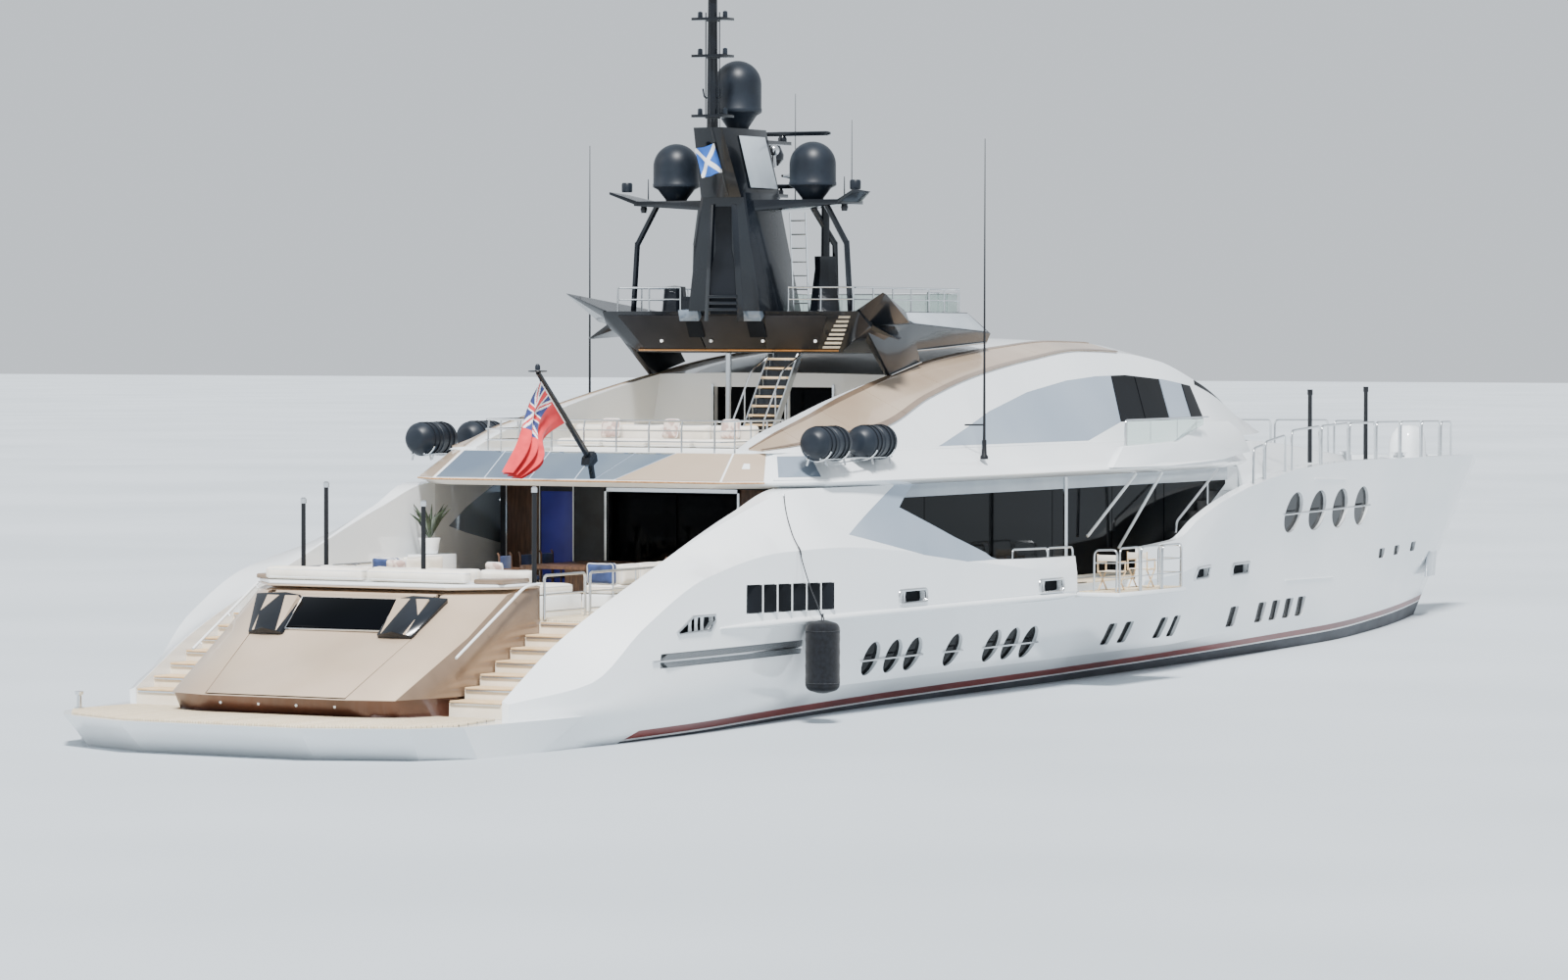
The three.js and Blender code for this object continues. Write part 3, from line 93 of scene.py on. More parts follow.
def tubePart(line, radius, sides=10, closed=False):
    path = [Vector(p) for p in line]
    radii = radius if hasattr(radius, "__len__") else [radius] * len(path)
    rings, across = [], None
    for i, p in enumerate(path):
        ahead = path[(i + 1) % len(path)] if closed or i + 1 < len(path) else p
        behind = path[i - 1] if closed or i else p
        a, b = (ahead - p), (p - behind)
        along = (a.normalized() + b.normalized()).normalized()
        if across is None:
            across = along.cross(Vector((0, 0, 1)) if abs(along.z) < 0.9 else Vector((1, 0, 0))).normalized()
        across = (across - along * across.dot(along)).normalized()
        up = along.cross(across)
        bend = max(along.dot((a if a.length else b).normalized()), 0.5)
        rings.append([p + (across * math.cos(t) + up * math.sin(t)) * (radii[i] / bend ** 0.5)
                      for t in (2 * math.pi * k / sides for k in range(sides))])
    if closed:
        return loftPart(rings + rings[:1], caps=False)
    return loftPart(rings)


def roundedLine(corners, radius, steps=5):
    # a line of points whose inner corners are rounded
    line = [Vector(corners[0])]
    for before, corner, after in zip(corners, corners[1:], corners[2:]):
        c, a, b = Vector(corner), Vector(before), Vector(after)
        cut = min(radius, (a - c).length * 0.49, (b - c).length * 0.49)
        start, end = c + (a - c).normalized() * cut, c + (b - c).normalized() * cut
        for k in range(steps + 1):
            t = k / steps
            line.append(start * (1 - t) ** 2 + c * 2 * t * (1 - t) + end * t * t)
    return line + [Vector(corners[-1])]


around = {"x": lambda r, h, t: (h, r * math.cos(t), r * math.sin(t)),
          "y": lambda r, h, t: (r * math.cos(t), h, r * math.sin(t)),
          "z": lambda r, h, t: (r * math.cos(t), r * math.sin(t), h)}


def lathePart(profile, centre, sides=32, axis="z"):
    # the profile gives radius and height, and a radius of nothing is a pin's width
    pin = 1e-4
    rings = [[Vector(centre) + Vector(around[axis](max(r, pin), h, 2 * math.pi * k / sides)) for k in range(sides)]
             for r, h in profile]
    return loftPart(rings)


def ringPart(centre, radius, thick, count, axis="z", sides=6):
    # a closed ring of tube that lies across an axis
    ring = [Vector(centre) + Vector(around[axis](radius, 0, 2 * math.pi * k / count)) for k in range(count)]
    return tubePart(ring, thick, sides, closed=True)


def postPart(x, y, z0, z1, radius, sides=8):
    return tubePart([(x, y, z0), (x, y, z1)], radius, sides)


def wedgePart(points):
    # the smallest solid that holds all the points
    sculpt = bmesh.new()
    for p in points:
        sculpt.verts.new(p)
    bmesh.ops.convex_hull(sculpt, input=sculpt.verts)
    bmesh.ops.dissolve_limit(sculpt, angle_limit=0.01, verts=sculpt.verts, edges=sculpt.edges)
    for loose in [v for v in sculpt.verts if not v.link_faces]:
        sculpt.verts.remove(loose)
    sculpt.verts.index_update()
    part = [tuple(v.co) for v in sculpt.verts], [tuple(v.index for v in f.verts) for f in sculpt.faces]
    sculpt.free()
    return part


def facetPanel(corners, reach=(0, 1, 0, 1), lift=0.004, thick=0.012):
    # a thin plate on a four-sided facet, whose corners run anticlockwise seen from outside
    a, b, c, d = (Vector(p) for p in corners)
    normal = (b - a).cross(d - a).normalized()
    u0, u1, v0, v1 = reach
    base = [a.lerp(b, u).lerp(d.lerp(c, u), v) for u, v in ((u0, v0), (u1, v0), (u1, v1), (u0, v1))]
    return loftPart([[p + normal * h for p in base] for h in (lift, lift + thick)])


def mirrored(part):
    return [(x, -y, z) for x, y, z in part[0]], [tuple(reversed(f)) for f in part[1]]


def bothSides(parts):
    return list(parts) + [mirrored(p) for p in parts]


def mirroredPlan(side):
    return list(side) + [(x, -y) for x, y in reversed(side)]


def middleOf(outline):
    return [sum(p[k] for p in outline) / len(outline) for k in (0, 1)]


def shrunk(outline, share):
    middle = middleOf(outline)
    return [tuple(middle[k] + (p[k] - middle[k]) * share for k in (0, 1)) for p in outline]


def roundBox(x, z, halfWide, halfHigh, radius, steps=5):
    # an upright rectangle with rounded corners, as x and z
    corners = [(1, 1, 0), (-1, 1, 90), (-1, -1, 180), (1, -1, 270)]
    return [(x + sx * (halfWide - radius) + radius * math.cos(math.radians(turn + 90 * k / steps)),
             z + sz * (halfHigh - radius) + radius * math.sin(math.radians(turn + 90 * k / steps)))
            for sx, sz, turn in corners for k in range(steps + 1)]


def circleLine(x, z, radius, wide=1.0, sides=40):
    return [(x + radius * wide * math.cos(2 * math.pi * k / sides), z + radius * math.sin(2 * math.pi * k / sides))
            for k in range(sides)]


def smoothColumns(rows, xs):
    # every column of the table as a smooth curve over the first one that never overshoots
    table = np.array(rows, float)
    x0, out = table[:, 0], [np.array(xs, float)]
    gaps = np.diff(x0)
    for column in table[:, 1:].T:
        slope = np.diff(column) / gaps
        m = np.zeros(len(column))
        m[0], m[-1] = slope[0], slope[-1]
        for i in range(1, len(column) - 1):
            if slope[i - 1] * slope[i] > 0:
                w0, w1 = 2 * gaps[i] + gaps[i - 1], gaps[i] + 2 * gaps[i - 1]
                m[i] = (w0 + w1) / (w0 / slope[i - 1] + w1 / slope[i])
        k = np.clip(np.searchsorted(x0, xs, side="right") - 1, 0, len(gaps) - 1)
        t = (np.array(xs) - x0[k]) / gaps[k]
        out.append((1 + 2 * t) * (1 - t) ** 2 * column[k] + t * (1 - t) ** 2 * gaps[k] * m[k]
                   + t * t * (3 - 2 * t) * column[k + 1] + t * t * (t - 1) * gaps[k] * m[k + 1])
    return np.array(out).T


def smoothOutline(points, steps=6, closed=False):
    # a rounded curve through points of any dimension
    p = [np.array(q, float) for q in points]
    n = len(p)
    line = []
    for i in range(n if closed else n - 1):
        a, b, c, d = (p[k % n] if closed else p[min(max(k, 0), n - 1)] for k in range(i - 1, i + 3))
        for k in range(steps):
            t = k / steps
            bend, rise = 2 * a - 5 * b + 4 * c - d, 3 * b - a - 3 * c + d
            line.append(0.5 * (2 * b + (c - a) * t + bend * t * t + rise * t ** 3))
    if not closed:
        line.append(p[-1])
    return [tuple(q) for q in line]


def settle(piece, sharp=32):
    # smooth shading that breaks at real edges
    mesh = piece.data
    mesh.polygons.foreach_set("use_smooth", [True] * len(mesh.polygons))
    mesh.set_sharp_from_angle(angle=math.radians(sharp))
    mesh.update()


def bake(piece):
    # the modifiers' result becomes the mesh
    bpy.context.view_layer.update()
    done = bpy.data.meshes.new_from_object(piece.evaluated_get(bpy.context.evaluated_depsgraph_get()))
    old = piece.data
    piece.modifiers.clear()
    slots = list(done.materials)
    kept = [m for m in slots if m]
    if len(kept) < len(slots):
        # faces that a cutting tool left without a finish take the first one
        turn = [kept.index(m) if m else 0 for m in slots]
        index = [turn[face.material_index] for face in done.polygons]
        done.materials.clear()
        for m in kept:
            done.materials.append(m)
        done.polygons.foreach_set("material_index", index)
    piece.data = done
    done.name = piece.name
    bpy.data.meshes.remove(old)


def newObject(name, data):
    thing = bpy.data.objects.new(name, data)
    bpy.context.scene.collection.objects.link(thing)
    return thing


def setFinish(mesh, *keys):
    mesh.materials.clear()
    for key in keys:
        mesh.materials.append(finish[key])


def bareMesh(name, parts, *keys):
    mesh = bpy.data.meshes.new(name)
    points, faces = [], []
    for spots, sides in parts:
        start = len(points)
        points += [at(*p) for p in spots]
        faces += [[start + i for i in f] for f in sides]
    mesh.from_pydata(points, [], faces)
    setFinish(mesh, *keys)
    sculpt = bmesh.new()
    sculpt.from_mesh(mesh)
    bmesh.ops.recalc_face_normals(sculpt, faces=sculpt.faces)
    sculpt.to_mesh(mesh)
    sculpt.free()
    return newObject(name, mesh)


def soften(piece, width, segments=2):
    edge = piece.modifiers.new("edge", "BEVEL")
    edge.width = width * yacht["scale"]
    edge.segments = segments
    edge.limit_method = "ANGLE"
    edge.angle_limit = math.radians(30)
    edge.harden_normals = False
    edge.use_clamp_overlap = True
    bake(piece)


def twinOf(piece, name, key):
    twin = newObject(name, piece.data.copy())
    setFinish(twin.data, key)
    return twin


def carve(piece, *steps):
    # steps are pairs of operation and tool, which is a list of parts or a ready object
    for operation, given in steps:
        tool = bareMesh("tool", given) if isinstance(given, list) else given
        cut = piece.modifiers.new("cut", "BOOLEAN")
        cut.operation = operation
        cut.solver = "MANIFOLD"
        cut.object = tool
        bake(piece)
        bpy.data.objects.remove(tool)
    return piece


def placePiece(piece, body="hull", replaces=(), slot=None, sharp=32, bevel=0.0):
    if bevel:
        soften(piece, bevel)
    settle(piece, sharp)
    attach(piece, body)
    if replaces:
        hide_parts(*replaces)
    return piece


def newPiece(name, parts, key, **how):
    return placePiece(bareMesh(name, parts, key), **how)


def dressNode(node, *keys, body="hull", bevel=0.02):
    # a copy of a CAD node with rounded edges, which stands for it
    weld, flat = 2e-5, math.radians(0.6)
    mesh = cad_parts[node].data.copy()
    setFinish(mesh, *keys)
    piece = newObject(node + "_skin", mesh)
    sculpt = bmesh.new()
    sculpt.from_mesh(mesh)
    bmesh.ops.remove_doubles(sculpt, verts=sculpt.verts, dist=weld)
    bmesh.ops.dissolve_limit(sculpt, angle_limit=flat, verts=sculpt.verts, edges=sculpt.edges)
    sculpt.to_mesh(mesh)
    sculpt.free()
    if "custom_normal" in mesh.attributes:
        mesh.attributes.remove(mesh.attributes["custom_normal"])
    return placePiece(piece, body=body, replaces=(node,), bevel=bevel)


def hexColour(code):
    # sRGB hex to the linear values that the shader wants
    channels = [int(code[i:i + 2], 16) / 255 for i in (1, 3, 5)]
    return [c / 12.92 if c <= 0.04045 else ((c + 0.055) / 1.055) ** 2.4 for c in channels] + [1.0]


def addNode(tree, kind, inputs=None, **settings):
    node = tree.nodes.new(kind)
    for key, value in settings.items():
        setattr(node, key, value)
    for key, value in (inputs or {}).items():
        if isinstance(value, bpy.types.NodeSocket):
            tree.links.new(value, node.inputs[key])
        else:
            node.inputs[key].default_value = value
    return node


def newMaterial(name, colour, **sockets):
    material = bpy.data.materials.new(name)
    material.use_nodes = True
    tree = material.node_tree
    shader = tree.nodes["Principled BSDF"]
    shader.inputs["Base Color"].default_value = hexColour(colour)
    for key, value in sockets.items():
        shader.inputs[key.replace("_", " ")].default_value = value
    return material, tree, shader


def modelPlace(tree):
    return addNode(tree, "ShaderNodeTexCoord").outputs["Object"]


def noiseFactor(tree, size, detail=3.0, stretch=(1, 1, 1)):
    # size is the pattern's real size in millimetres on the model
    place = addNode(tree, "ShaderNodeMapping", {"Vector": modelPlace(tree), "Scale": stretch})
    noise = {"Vector": place.outputs[0], "Scale": 1000.0 / size, "Detail": detail}
    return addNode(tree, "ShaderNodeTexNoise", noise).outputs["Fac"]


def rampBetween(tree, factor, low, high, start=0.35, end=0.65):
    ramp = addNode(tree, "ShaderNodeValToRGB", {"Fac": factor})
    for stop, place, code in zip(ramp.color_ramp.elements, (start, end), (low, high)):
        stop.position, stop.color = place, hexColour(code)
    return ramp.outputs["Color"]


def bumpFrom(tree, shader, height, strength, distance):
    bump = addNode(tree, "ShaderNodeBump", {"Height": height, "Strength": strength, "Distance": distance})
    tree.links.new(bump.outputs["Normal"], shader.inputs["Normal"])


def rangeOf(tree, factor, low, high):
    return addNode(tree, "ShaderNodeMapRange", {"Value": factor, "To Min": low, "To Max": high}).outputs["Result"]


def noiseFinish(name, colour, tone=None, shine=None, bump=None, into="Base Color", **sockets):
    # tone, shine and bump each start with a noise (size, detail, stretch); then come two colours,
    # the least and the most roughness, or the relief's strength and distance
    material, tree, shader = newMaterial(name, colour, **sockets)
    if tone:
        tree.links.new(rampBetween(tree, noiseFactor(tree, *tone[0]), *tone[1:]), shader.inputs[into])
    if shine:
        tree.links.new(rangeOf(tree, noiseFactor(tree, *shine[0]), *shine[1:]), shader.inputs["Roughness"])
    if bump:
        bumpFrom(tree, shader, noiseFactor(tree, *bump[0]), *bump[1:])
    return material


def scrubbedTeak():
    # planks 60 mm wide on the real deck, each in its own tone, with black seams between them
    material, tree, shader = newMaterial("scrubbedTeak", "#D3C1A3", Roughness=0.72)
    plankWide, seamShare = 0.03, 0.09

    def sums(operation, *values):
        return addNode(tree, "ShaderNodeMath", dict(enumerate(values)), operation=operation).outputs[0]

    split = addNode(tree, "ShaderNodeSeparateXYZ", {"Vector": modelPlace(tree)})
    plank = sums("MULTIPLY", split.outputs["Y"], 1 / plankWide)
    edge = sums("LESS_THAN", sums("FRACT", plank), seamShare)
    tone = addNode(tree, "ShaderNodeTexWhiteNoise", {"W": sums("FLOOR", plank)}, noise_dimensions="1D")
    grain = noiseFactor(tree, 9, 4, (0.06, 1, 1))
    wood = rampBetween(tree, sums("MULTIPLY_ADD", tone.outputs["Value"], 0.45, grain), "#C6B08D", "#E0D2B8", 0.3, 1.0)
    mix = addNode(tree, "ShaderNodeMix", {"Factor": edge, 6: wood, 7: hexColour("#4A4038")}, data_type="RGBA")
    tree.links.new(mix.outputs[2], shader.inputs["Base Color"])
    bumpFrom(tree, shader, grain, 0.15, 0.0008)
    return material


def woven(name, colour, kind, scale, tone, bump=None, settings=None, **sockets):
    # a regular weave or lay; tone is given as two colours with their ends, or as a tone for noiseFinish
    material, tree, shader = newMaterial(name, colour, **sockets)
    threads = addNode(tree, kind, {"Vector": modelPlace(tree), "Scale": scale}, **(settings or {})).outputs["Fac"]
    factor, colours = (threads, tone) if isinstance(tone[0], str) else (noiseFactor(tree, *tone[0]), tone[1:])
    tree.links.new(rampBetween(tree, factor, *colours), shader.inputs["Base Color"])
    if bump:
        bumpFrom(tree, shader, threads, *bump)
    return material


def makeFinishes():
    made = {
        # two-pack polyurethane on faired aluminium, sprayed and polished: a deep mirror gloss with slow waves
        "white": noiseFinish("polishedWhitePaint", "#E9EDEF", ((2600, 2), "#E3E8EB", "#EFF2F3"), ((900, 4), 0.1, 0.2),
                             ((700, 1.5), 0.12, 0.004), Roughness=0.13, Coat_Weight=0.6, Coat_Roughness=0.04),
        # metallic champagne paint: fine flakes under clear lacquer, warm beige that darkens to brown off the light
        "champagne": noiseFinish("champagneMetallicPaint", "#BBA48B", ((1300, 3), "#B59E86", "#C6B19A"),
                                 ((5, 2), 0.27, 0.4), ((800, 1.5), 0.1, 0.003), Metallic=0.3, Roughness=0.3,
                                 Coat_Weight=0.7, Coat_Roughness=0.08),
        # the same lacquer in dark bronze, on the plinth
        "darkBronze": noiseFinish("darkBronzePaint", "#51311F", ((500, 3), "#48291D", "#5A3527"), ((6, 2), 0.25, 0.4),
                                  Metallic=0.3, Roughness=0.3, Coat_Weight=0.6, Coat_Roughness=0.08),
        # the deeper tone that edges the champagne panels of the house; on the block's side walls it is painted shade
        "deepBronzeAndShade": noiseFinish("deepBronzeAndShadePaint", "#85705D", ((700, 3), "#7B6654", "#907B67"),
                                  Metallic=0.35, Roughness=0.3, Coat_Weight=0.6, Coat_Roughness=0.08),
        # blue-black gloss enamel on the hardtop and mast: nearly a mirror, with dusty patches
        "midnight": noiseFinish("midnightGlossPaint", "#0F131A", ((700, 5), "#0A0D12", "#12171E"),
                                ((400, 5), 0.14, 0.34), ((900, 1.5), 0.08, 0.003), Roughness=0.24,
                                Specular_IOR_Level=0.25, Coat_Weight=0.3, Coat_Roughness=0.08),
        # glass-fibre domes and raft canisters in slate gelcoat: soft, even shine
        "slate": noiseFinish("slateGelcoat", "#161C25", ((260, 5), "#121820", "#1B222B"), None, ((60, 2), 0.06, 0.001),
                             Roughness=0.42, Specular_IOR_Level=0.3),
        # mirror-coated outer glass: flat blue-grey that takes the sky
        "silverGlass": noiseFinish("silveredGlass", "#A5B4C4", ((2200, 2), "#9DADBE", "#B3C0CD"),
                                   Metallic=0.45, Roughness=0.07, Coat_Weight=0.5, Coat_Roughness=0.02),
        # laminated dark glass, black from outside, with a faint wave in what it mirrors
        "darkGlass": noiseFinish("tintedGlass", "#06080B", ((1500, 2), "#030405", "#080A0E"), None,
                                 ((1100, 1), 0.06, 0.002), Roughness=0.06, Specular_IOR_Level=0.04),
        # electropolished stainless steel tube: bright, with soft drawn streaks
        "steel": noiseFinish("polishedStainless", "#D5D8DA", None, ((30, 3, (1, 1, 8)), 0.1, 0.26),
                             Metallic=1.0, Roughness=0.16),
        # stainless mesh and slats over the engine-room vents, seen as a dark grey weave; its threads are
        # drawn 12 mm apart, coarser than real ones
        "mesh": woven("ventMesh", "#8B9094", "ShaderNodeTexWave", 28.0, ("#3A3D40", "#A6AAAD", 0.3, 0.7),
                      settings={"wave_type": "BANDS", "bands_direction": "DIAGONAL"}, Metallic=0.8, Roughness=0.45),
        # copper-free antifouling, rolled on: flat dark grey with faint tide marks
        "antifouling": noiseFinish("antifoulingPaint", "#3C3E44", ((900, 5, (1, 1, 4)), "#34363B", "#484B51"), None,
                                   ((14, 3), 0.2, 0.001), Roughness=0.7),
        # boot band in brown-red enamel, and the thin white line under it
        "boot": noiseFinish("bootBandPaint", "#6C231C", ((700, 5, (0.4, 1, 1)), "#5F1D17", "#7A2C24"),
                            Roughness=0.4, Coat_Weight=0.1),
        "line": noiseFinish("bootLinePaint", "#DADCDC", ((500, 4), "#CFD1D1", "#E6E7E7"), Roughness=0.3),
        # teak laid in planks and scrubbed pale
        "teak": scrubbedTeak(),
        # step treads in pale washed teak
        "tread": noiseFinish("washedTeakTread", "#D2B48A", ((20, 5, (1, 0.12, 1)), "#C6A678", "#DEC39C"), None,
                             ((10, 4, (1, 0.1, 1)), 0.15, 0.0008), Roughness=0.6),
        # solid teak edges, tables and trim, oiled: warm brown with long grain
        "oiledTeak": noiseFinish("oiledTeak", "#B98B5E", ((22, 5, (0.12, 1, 1)), "#A27548", "#CB9F70"), None,
                                 ((12, 4, (0.1, 1, 1)), 0.15, 0.0008), Roughness=0.45),
        # woven cover over a foam fender: black, quite matt, furred
        "rubber": noiseFinish("knittedFenderCover", "#0D0F13", ((40, 4), "#0A0C10", "#15181E"), None,
                              ((5, 2), 0.4, 0.002), Roughness=0.85, Specular_IOR_Level=0.2, Sheen_Weight=0.15,
                              Sheen_Roughness=0.5),
        # outdoor canvas in cream and navy, and a rose weave: matt, with slight creases; the cream one's
        # threads are drawn 4 mm wide, coarser than real ones
        "canvas": woven("creamCanvas", "#E4DDD0", "ShaderNodeTexChecker", 250.0, ((350, 4), "#DDD5C6", "#ECE6DB"),
                        (0.25, 0.0006), Roughness=0.85, Sheen_Weight=0.25, Sheen_Roughness=0.4),
        "navy": noiseFinish("navyCanvas", "#27375E", ((120, 4), "#213052", "#2F4170"), None, ((5, 1), 0.25, 0.0006),
                            Roughness=0.85, Sheen_Weight=0.3, Sheen_Roughness=0.4),
        "rose": noiseFinish("roseCushionWeave", "#C9B2A8", ((70, 1), "#B59A92", "#DCCDC2", 0.45, 0.55), None,
                            ((5, 1), 0.25, 0.0006), Roughness=0.9, Sheen_Weight=0.3, Sheen_Roughness=0.4),
        # laid polyester rope, black: strands 8 mm long on the model, coarser than real ones
        "rope": woven("blackPolyesterRope", "#1A1C20", "ShaderNodeTexWave", 40.0, ("#111215", "#2B2E34", 0.2, 0.8),
                      (0.3, 0.001), {"bands_direction": "DIAGONAL"}, Roughness=0.8, Sheen_Weight=0.2),
        # deck-side joinery in cream lacquer
        "cream": noiseFinish("creamLacquer", "#E6DAC6", ((500, 4), "#DFD2BC", "#EDE3D2"), Roughness=0.38,
                             Coat_Weight=0.2),
        # walnut veneer under satin lacquer: dark brown, fine long grain
        "walnut": noiseFinish("walnutVeneer", "#4A3326", ((18, 5, (1, 1, 0.1)), "#3A271C", "#5E4332"), Roughness=0.4),
        # graphite powder coat on the frames round the saloon: flat and very dark
        "graphite": noiseFinish("graphiteCoat", "#23262B", ((240, 4), "#1E2125", "#2A2E34"), Roughness=0.5),
        # umber satin paint on the roof's aft fascia: brown-black, low shine
        "umber": noiseFinish("umberSatinPaint", "#1E1D1E", ((600, 4), "#19181A", "#262426"), Roughness=0.42,
                             Specular_IOR_Level=0.25),
        # grey-blue gloss panels on the roof's sides and the mast head
        "greyGloss": noiseFinish("greyGlossPaint", "#6C7A88", ((900, 3), "#617080", "#7B8896"),
                                 Roughness=0.16, Coat_Weight=0.7, Coat_Roughness=0.05),
        # pale grey gloss on the roof's flanks and the lintel over the saloon glass, where its grey is painted shade; on
        # the mast head it is a painted reflection of the sky
        "paleGrey": noiseFinish("paleGreyPaintAndPaintedLight", "#A3ACB4", ((900, 3), "#99A3AC", "#AFB8BF"),
                                Roughness=0.2, Coat_Weight=0.5, Coat_Roughness=0.06),
        # brushed brass strip under the roof's edge
        "brass": noiseFinish("brushedBrass", "#B98A5C", None, ((20, 3, (1, 0.05, 1)), 0.25, 0.45),
                             Metallic=0.85, Roughness=0.35),
        # clear toughened glass in the wind screens: nearly invisible, a green tint at its edges
        "clearGlass": noiseFinish("clearScreenGlass", "#DDEBE6", None, ((900, 2), 0.01, 0.04),
                                  Roughness=0.02, Transmission_Weight=0.92),
        # polished mirror panels, a little blue, with the waves of a hand-fitted sheet
        "mirror": noiseFinish("mirrorPanel", "#B9C9DA", ((900, 2), "#A9BCD2", "#C6D4E2"), None,
                              ((500, 1), 0.12, 0.003), Metallic=1.0, Roughness=0.05),
        # a doorway lit blue from inside, and leaves of the plant beside it
        "blueGlow": noiseFinish("blueLitPanel", "#20235E", ((400, 2), "#23246C", "#3D3FA8"), into="Emission Color",
                                Roughness=0.4, Emission_Strength=0.22),
        "leaf": noiseFinish("darkLeaf", "#27352A", ((40, 3), "#1E2A20", "#3B4A34"), Roughness=0.45),
        # nickel-aluminium bronze, cast and ground: yellow metal with faint grinding marks
        "propeller": noiseFinish("castPropellerBronze", "#B3904F", None, ((40, 4), 0.22, 0.42),
                                 Metallic=1.0, Roughness=0.3),
        # black powder-coated poles and aerials: a fine orange-peel grain
        "powder": noiseFinish("blackPowderCoat", "#15171B", None, None, ((3, 2), 0.15, 0.0004),
                              Roughness=0.4, Specular_IOR_Level=0.3),
        # painted shade: the unlit cabin seen through openings and the insides of vents, fairleads, grooves and the
        # pylon's recess, almost black, no shine; the raft canisters' straps use it too
        "shade": noiseFinish("cabinShade", "#14161A", ((600, 3), "#0F1114", "#1D2025"), Roughness=0.8,
                             Specular_IOR_Level=0.1),
        # small lamp lenses in the roof's aft fascia: frosted white
        "lamp": noiseFinish("frostedLampLens", "#F3F4F1", None, ((10, 2), 0.25, 0.45), Roughness=0.35,
                            Emission_Color=(1, 0.97, 0.9, 1), Emission_Strength=0.1),
    }
    # sewn polyester bunting for flags: thin, bright and dull
    for key, name, low, high in (("flagRed", "redBunting", "#C21B28", "#DE2F38"),
                                 ("flagBlue", "blueBunting", "#1F2C63", "#2B3D80"),
                                 ("flagSky", "lightBlueBunting", "#1D55A8", "#2B69C4"),
                                 ("flagWhite", "whiteBunting", "#E4E6E8", "#F4F5F6")):
        made[key] = noiseFinish(name, high, ((160, 3), low, high), None, ((4, 1), 0.2, 0.0005), Roughness=0.8,
                                Sheen_Weight=0.2)
    return made


finish = makeFinishes()
print("materials made:", len(finish))


def makeStudio():
    # a pale floor at the waterline, an even sky, and two suns
    mesh = bpy.data.meshes.new("studioFloor")
    reach = 400
    mesh.from_pydata([(x * reach, y * reach, 0) for x, y in ((-1, -1), (1, -1), (1, 1), (-1, 1))], [], [(0, 1, 2, 3)])
    mesh.materials.append(noiseFinish("paleStudioFloor", "#B4BBC1", ((9000, 2), "#AEB6BC", "#B9C0C6"), Roughness=0.75))
    newObject("studioFloor", mesh)

    world = bpy.data.worlds.new("studioSky")
    bpy.context.scene.world = world
    world.use_nodes = True
    back = world.node_tree.nodes["Background"]
    back.inputs["Color"].default_value = hexColour("#DDE4EB")
    back.inputs["Strength"].default_value = 1.1

    for name, turn, strength, angle in (("keySun", (32, 0, -58), 8.5, 10), ("fillSun", (62, 0, -150), 0.6, 40)):
        light = bpy.data.lights.new(name, "SUN")
        light.energy, light.angle = strength, math.radians(angle)
        newObject(name, light).rotation_euler = [math.radians(a) for a in turn]


def makeCamera():
    # where the photo was taken from, found from the yacht's own mirrored points
    shot = {"place": (-57.195, -28.34, 3.915), "yaw": 28.50, "pitch": -1.63, "roll": 0.10, "lens": 122.36}
    data = bpy.data.cameras.new("camera")
    data.sensor_width, data.lens, data.clip_end = 36.0, shot["lens"], 2000
    camera = newObject("camera", data)
    yaw, pitch = math.radians(shot["yaw"]), math.radians(shot["pitch"])
    look = Vector((math.cos(pitch) * math.cos(yaw), math.cos(pitch) * math.sin(yaw), math.sin(pitch)))
    aim = look.to_track_quat("-Z", "Y").to_matrix().to_4x4()
    camera.matrix_world = aim @ Matrix.Rotation(math.radians(shot["roll"]), 4, "Z")
    camera.location = shot["place"]
    bpy.context.scene.camera = camera


lines = {
    # the fender's rope over the quarter wing, and the courtesy flag's halyard from a cross plate of the pole
    # to the arms
    "fender": [(13.8, -4.727, 4.6), (13.66, -4.83, 4.4), (13.53, -4.945, 4.2), (13.39, -5.087, 4.0), (13.25, -5.24, 3.8),
               (13.12, -5.43, 3.6), (13.06, -5.505, 3.52), (13.06, -5.52, 3.45), (13.09, -5.54, 3.3), (13.14, -5.58, 3.1),
               (13.2, -5.62, 2.9), (13.26, -5.66, 2.7), (13.33, -5.72, 2.5), (13.39, -5.77, 2.3), (13.44, -5.81, 2.17)],
    "halyard": [(18.972, -0.1, 12.615), (18.957, -0.1, 12.5),
                *((19.55 - 0.4 * (z - 10.9), -0.1 - 0.06 * (12.4 - z), z)
                  for z in (12.38, 12.2, 12.05, 11.9, 11.75, 11.6, 11.43, 11.2, 11.05)),
                (19.575, -0.19, 10.93)],
}


def dressLines():
    route = smoothOutline(lines["fender"], 3)
    rope = newPiece("fenderRope", [tubePart(route, 0.012, 8)], "rope", sharp=60)
    bight = ringPart((13.45, -5.815, 2.13), 0.05, 0.014, 19, "y", 8)
    coils = [(13.44 + 0.022 * math.cos(t), -5.81 + 0.022 * math.sin(t), 2.17 + 0.012 * t / math.pi)
             for t in np.linspace(0, 6 * math.pi, 40)]
    knot = newPiece("fenderKnot", [bight, tubePart(coils, 0.011, 6)], "rope", sharp=60)
    splice = newPiece("fenderSplice", [tubePart(smoothOutline(lines["fender"][5:8], 3), 0.02, 8)], "rope", sharp=60)
    eye = newPiece("fenderRopeEye", [ringPart((13.8, -4.725, 4.61), 0.03, 0.008, 16, "y", 8)], "steel")
    declareCord(rope, route)
    route = smoothOutline(lines["halyard"], 2)
    halyard = newPiece("flagHalyard", [tubePart(route, 0.006, 6)], "rope", sharp=60)
    declareCord(halyard, route)


def declareCord(piece, route):
    path = [at(*p) for p in route]
    length = sum((b - a).length for a, b in zip(path, path[1:]))
    tuple(path[0])
    [tuple(p) for p in path]


makeCamera()
dressLines()
makeStudio()
print("camera, lines and light placed")


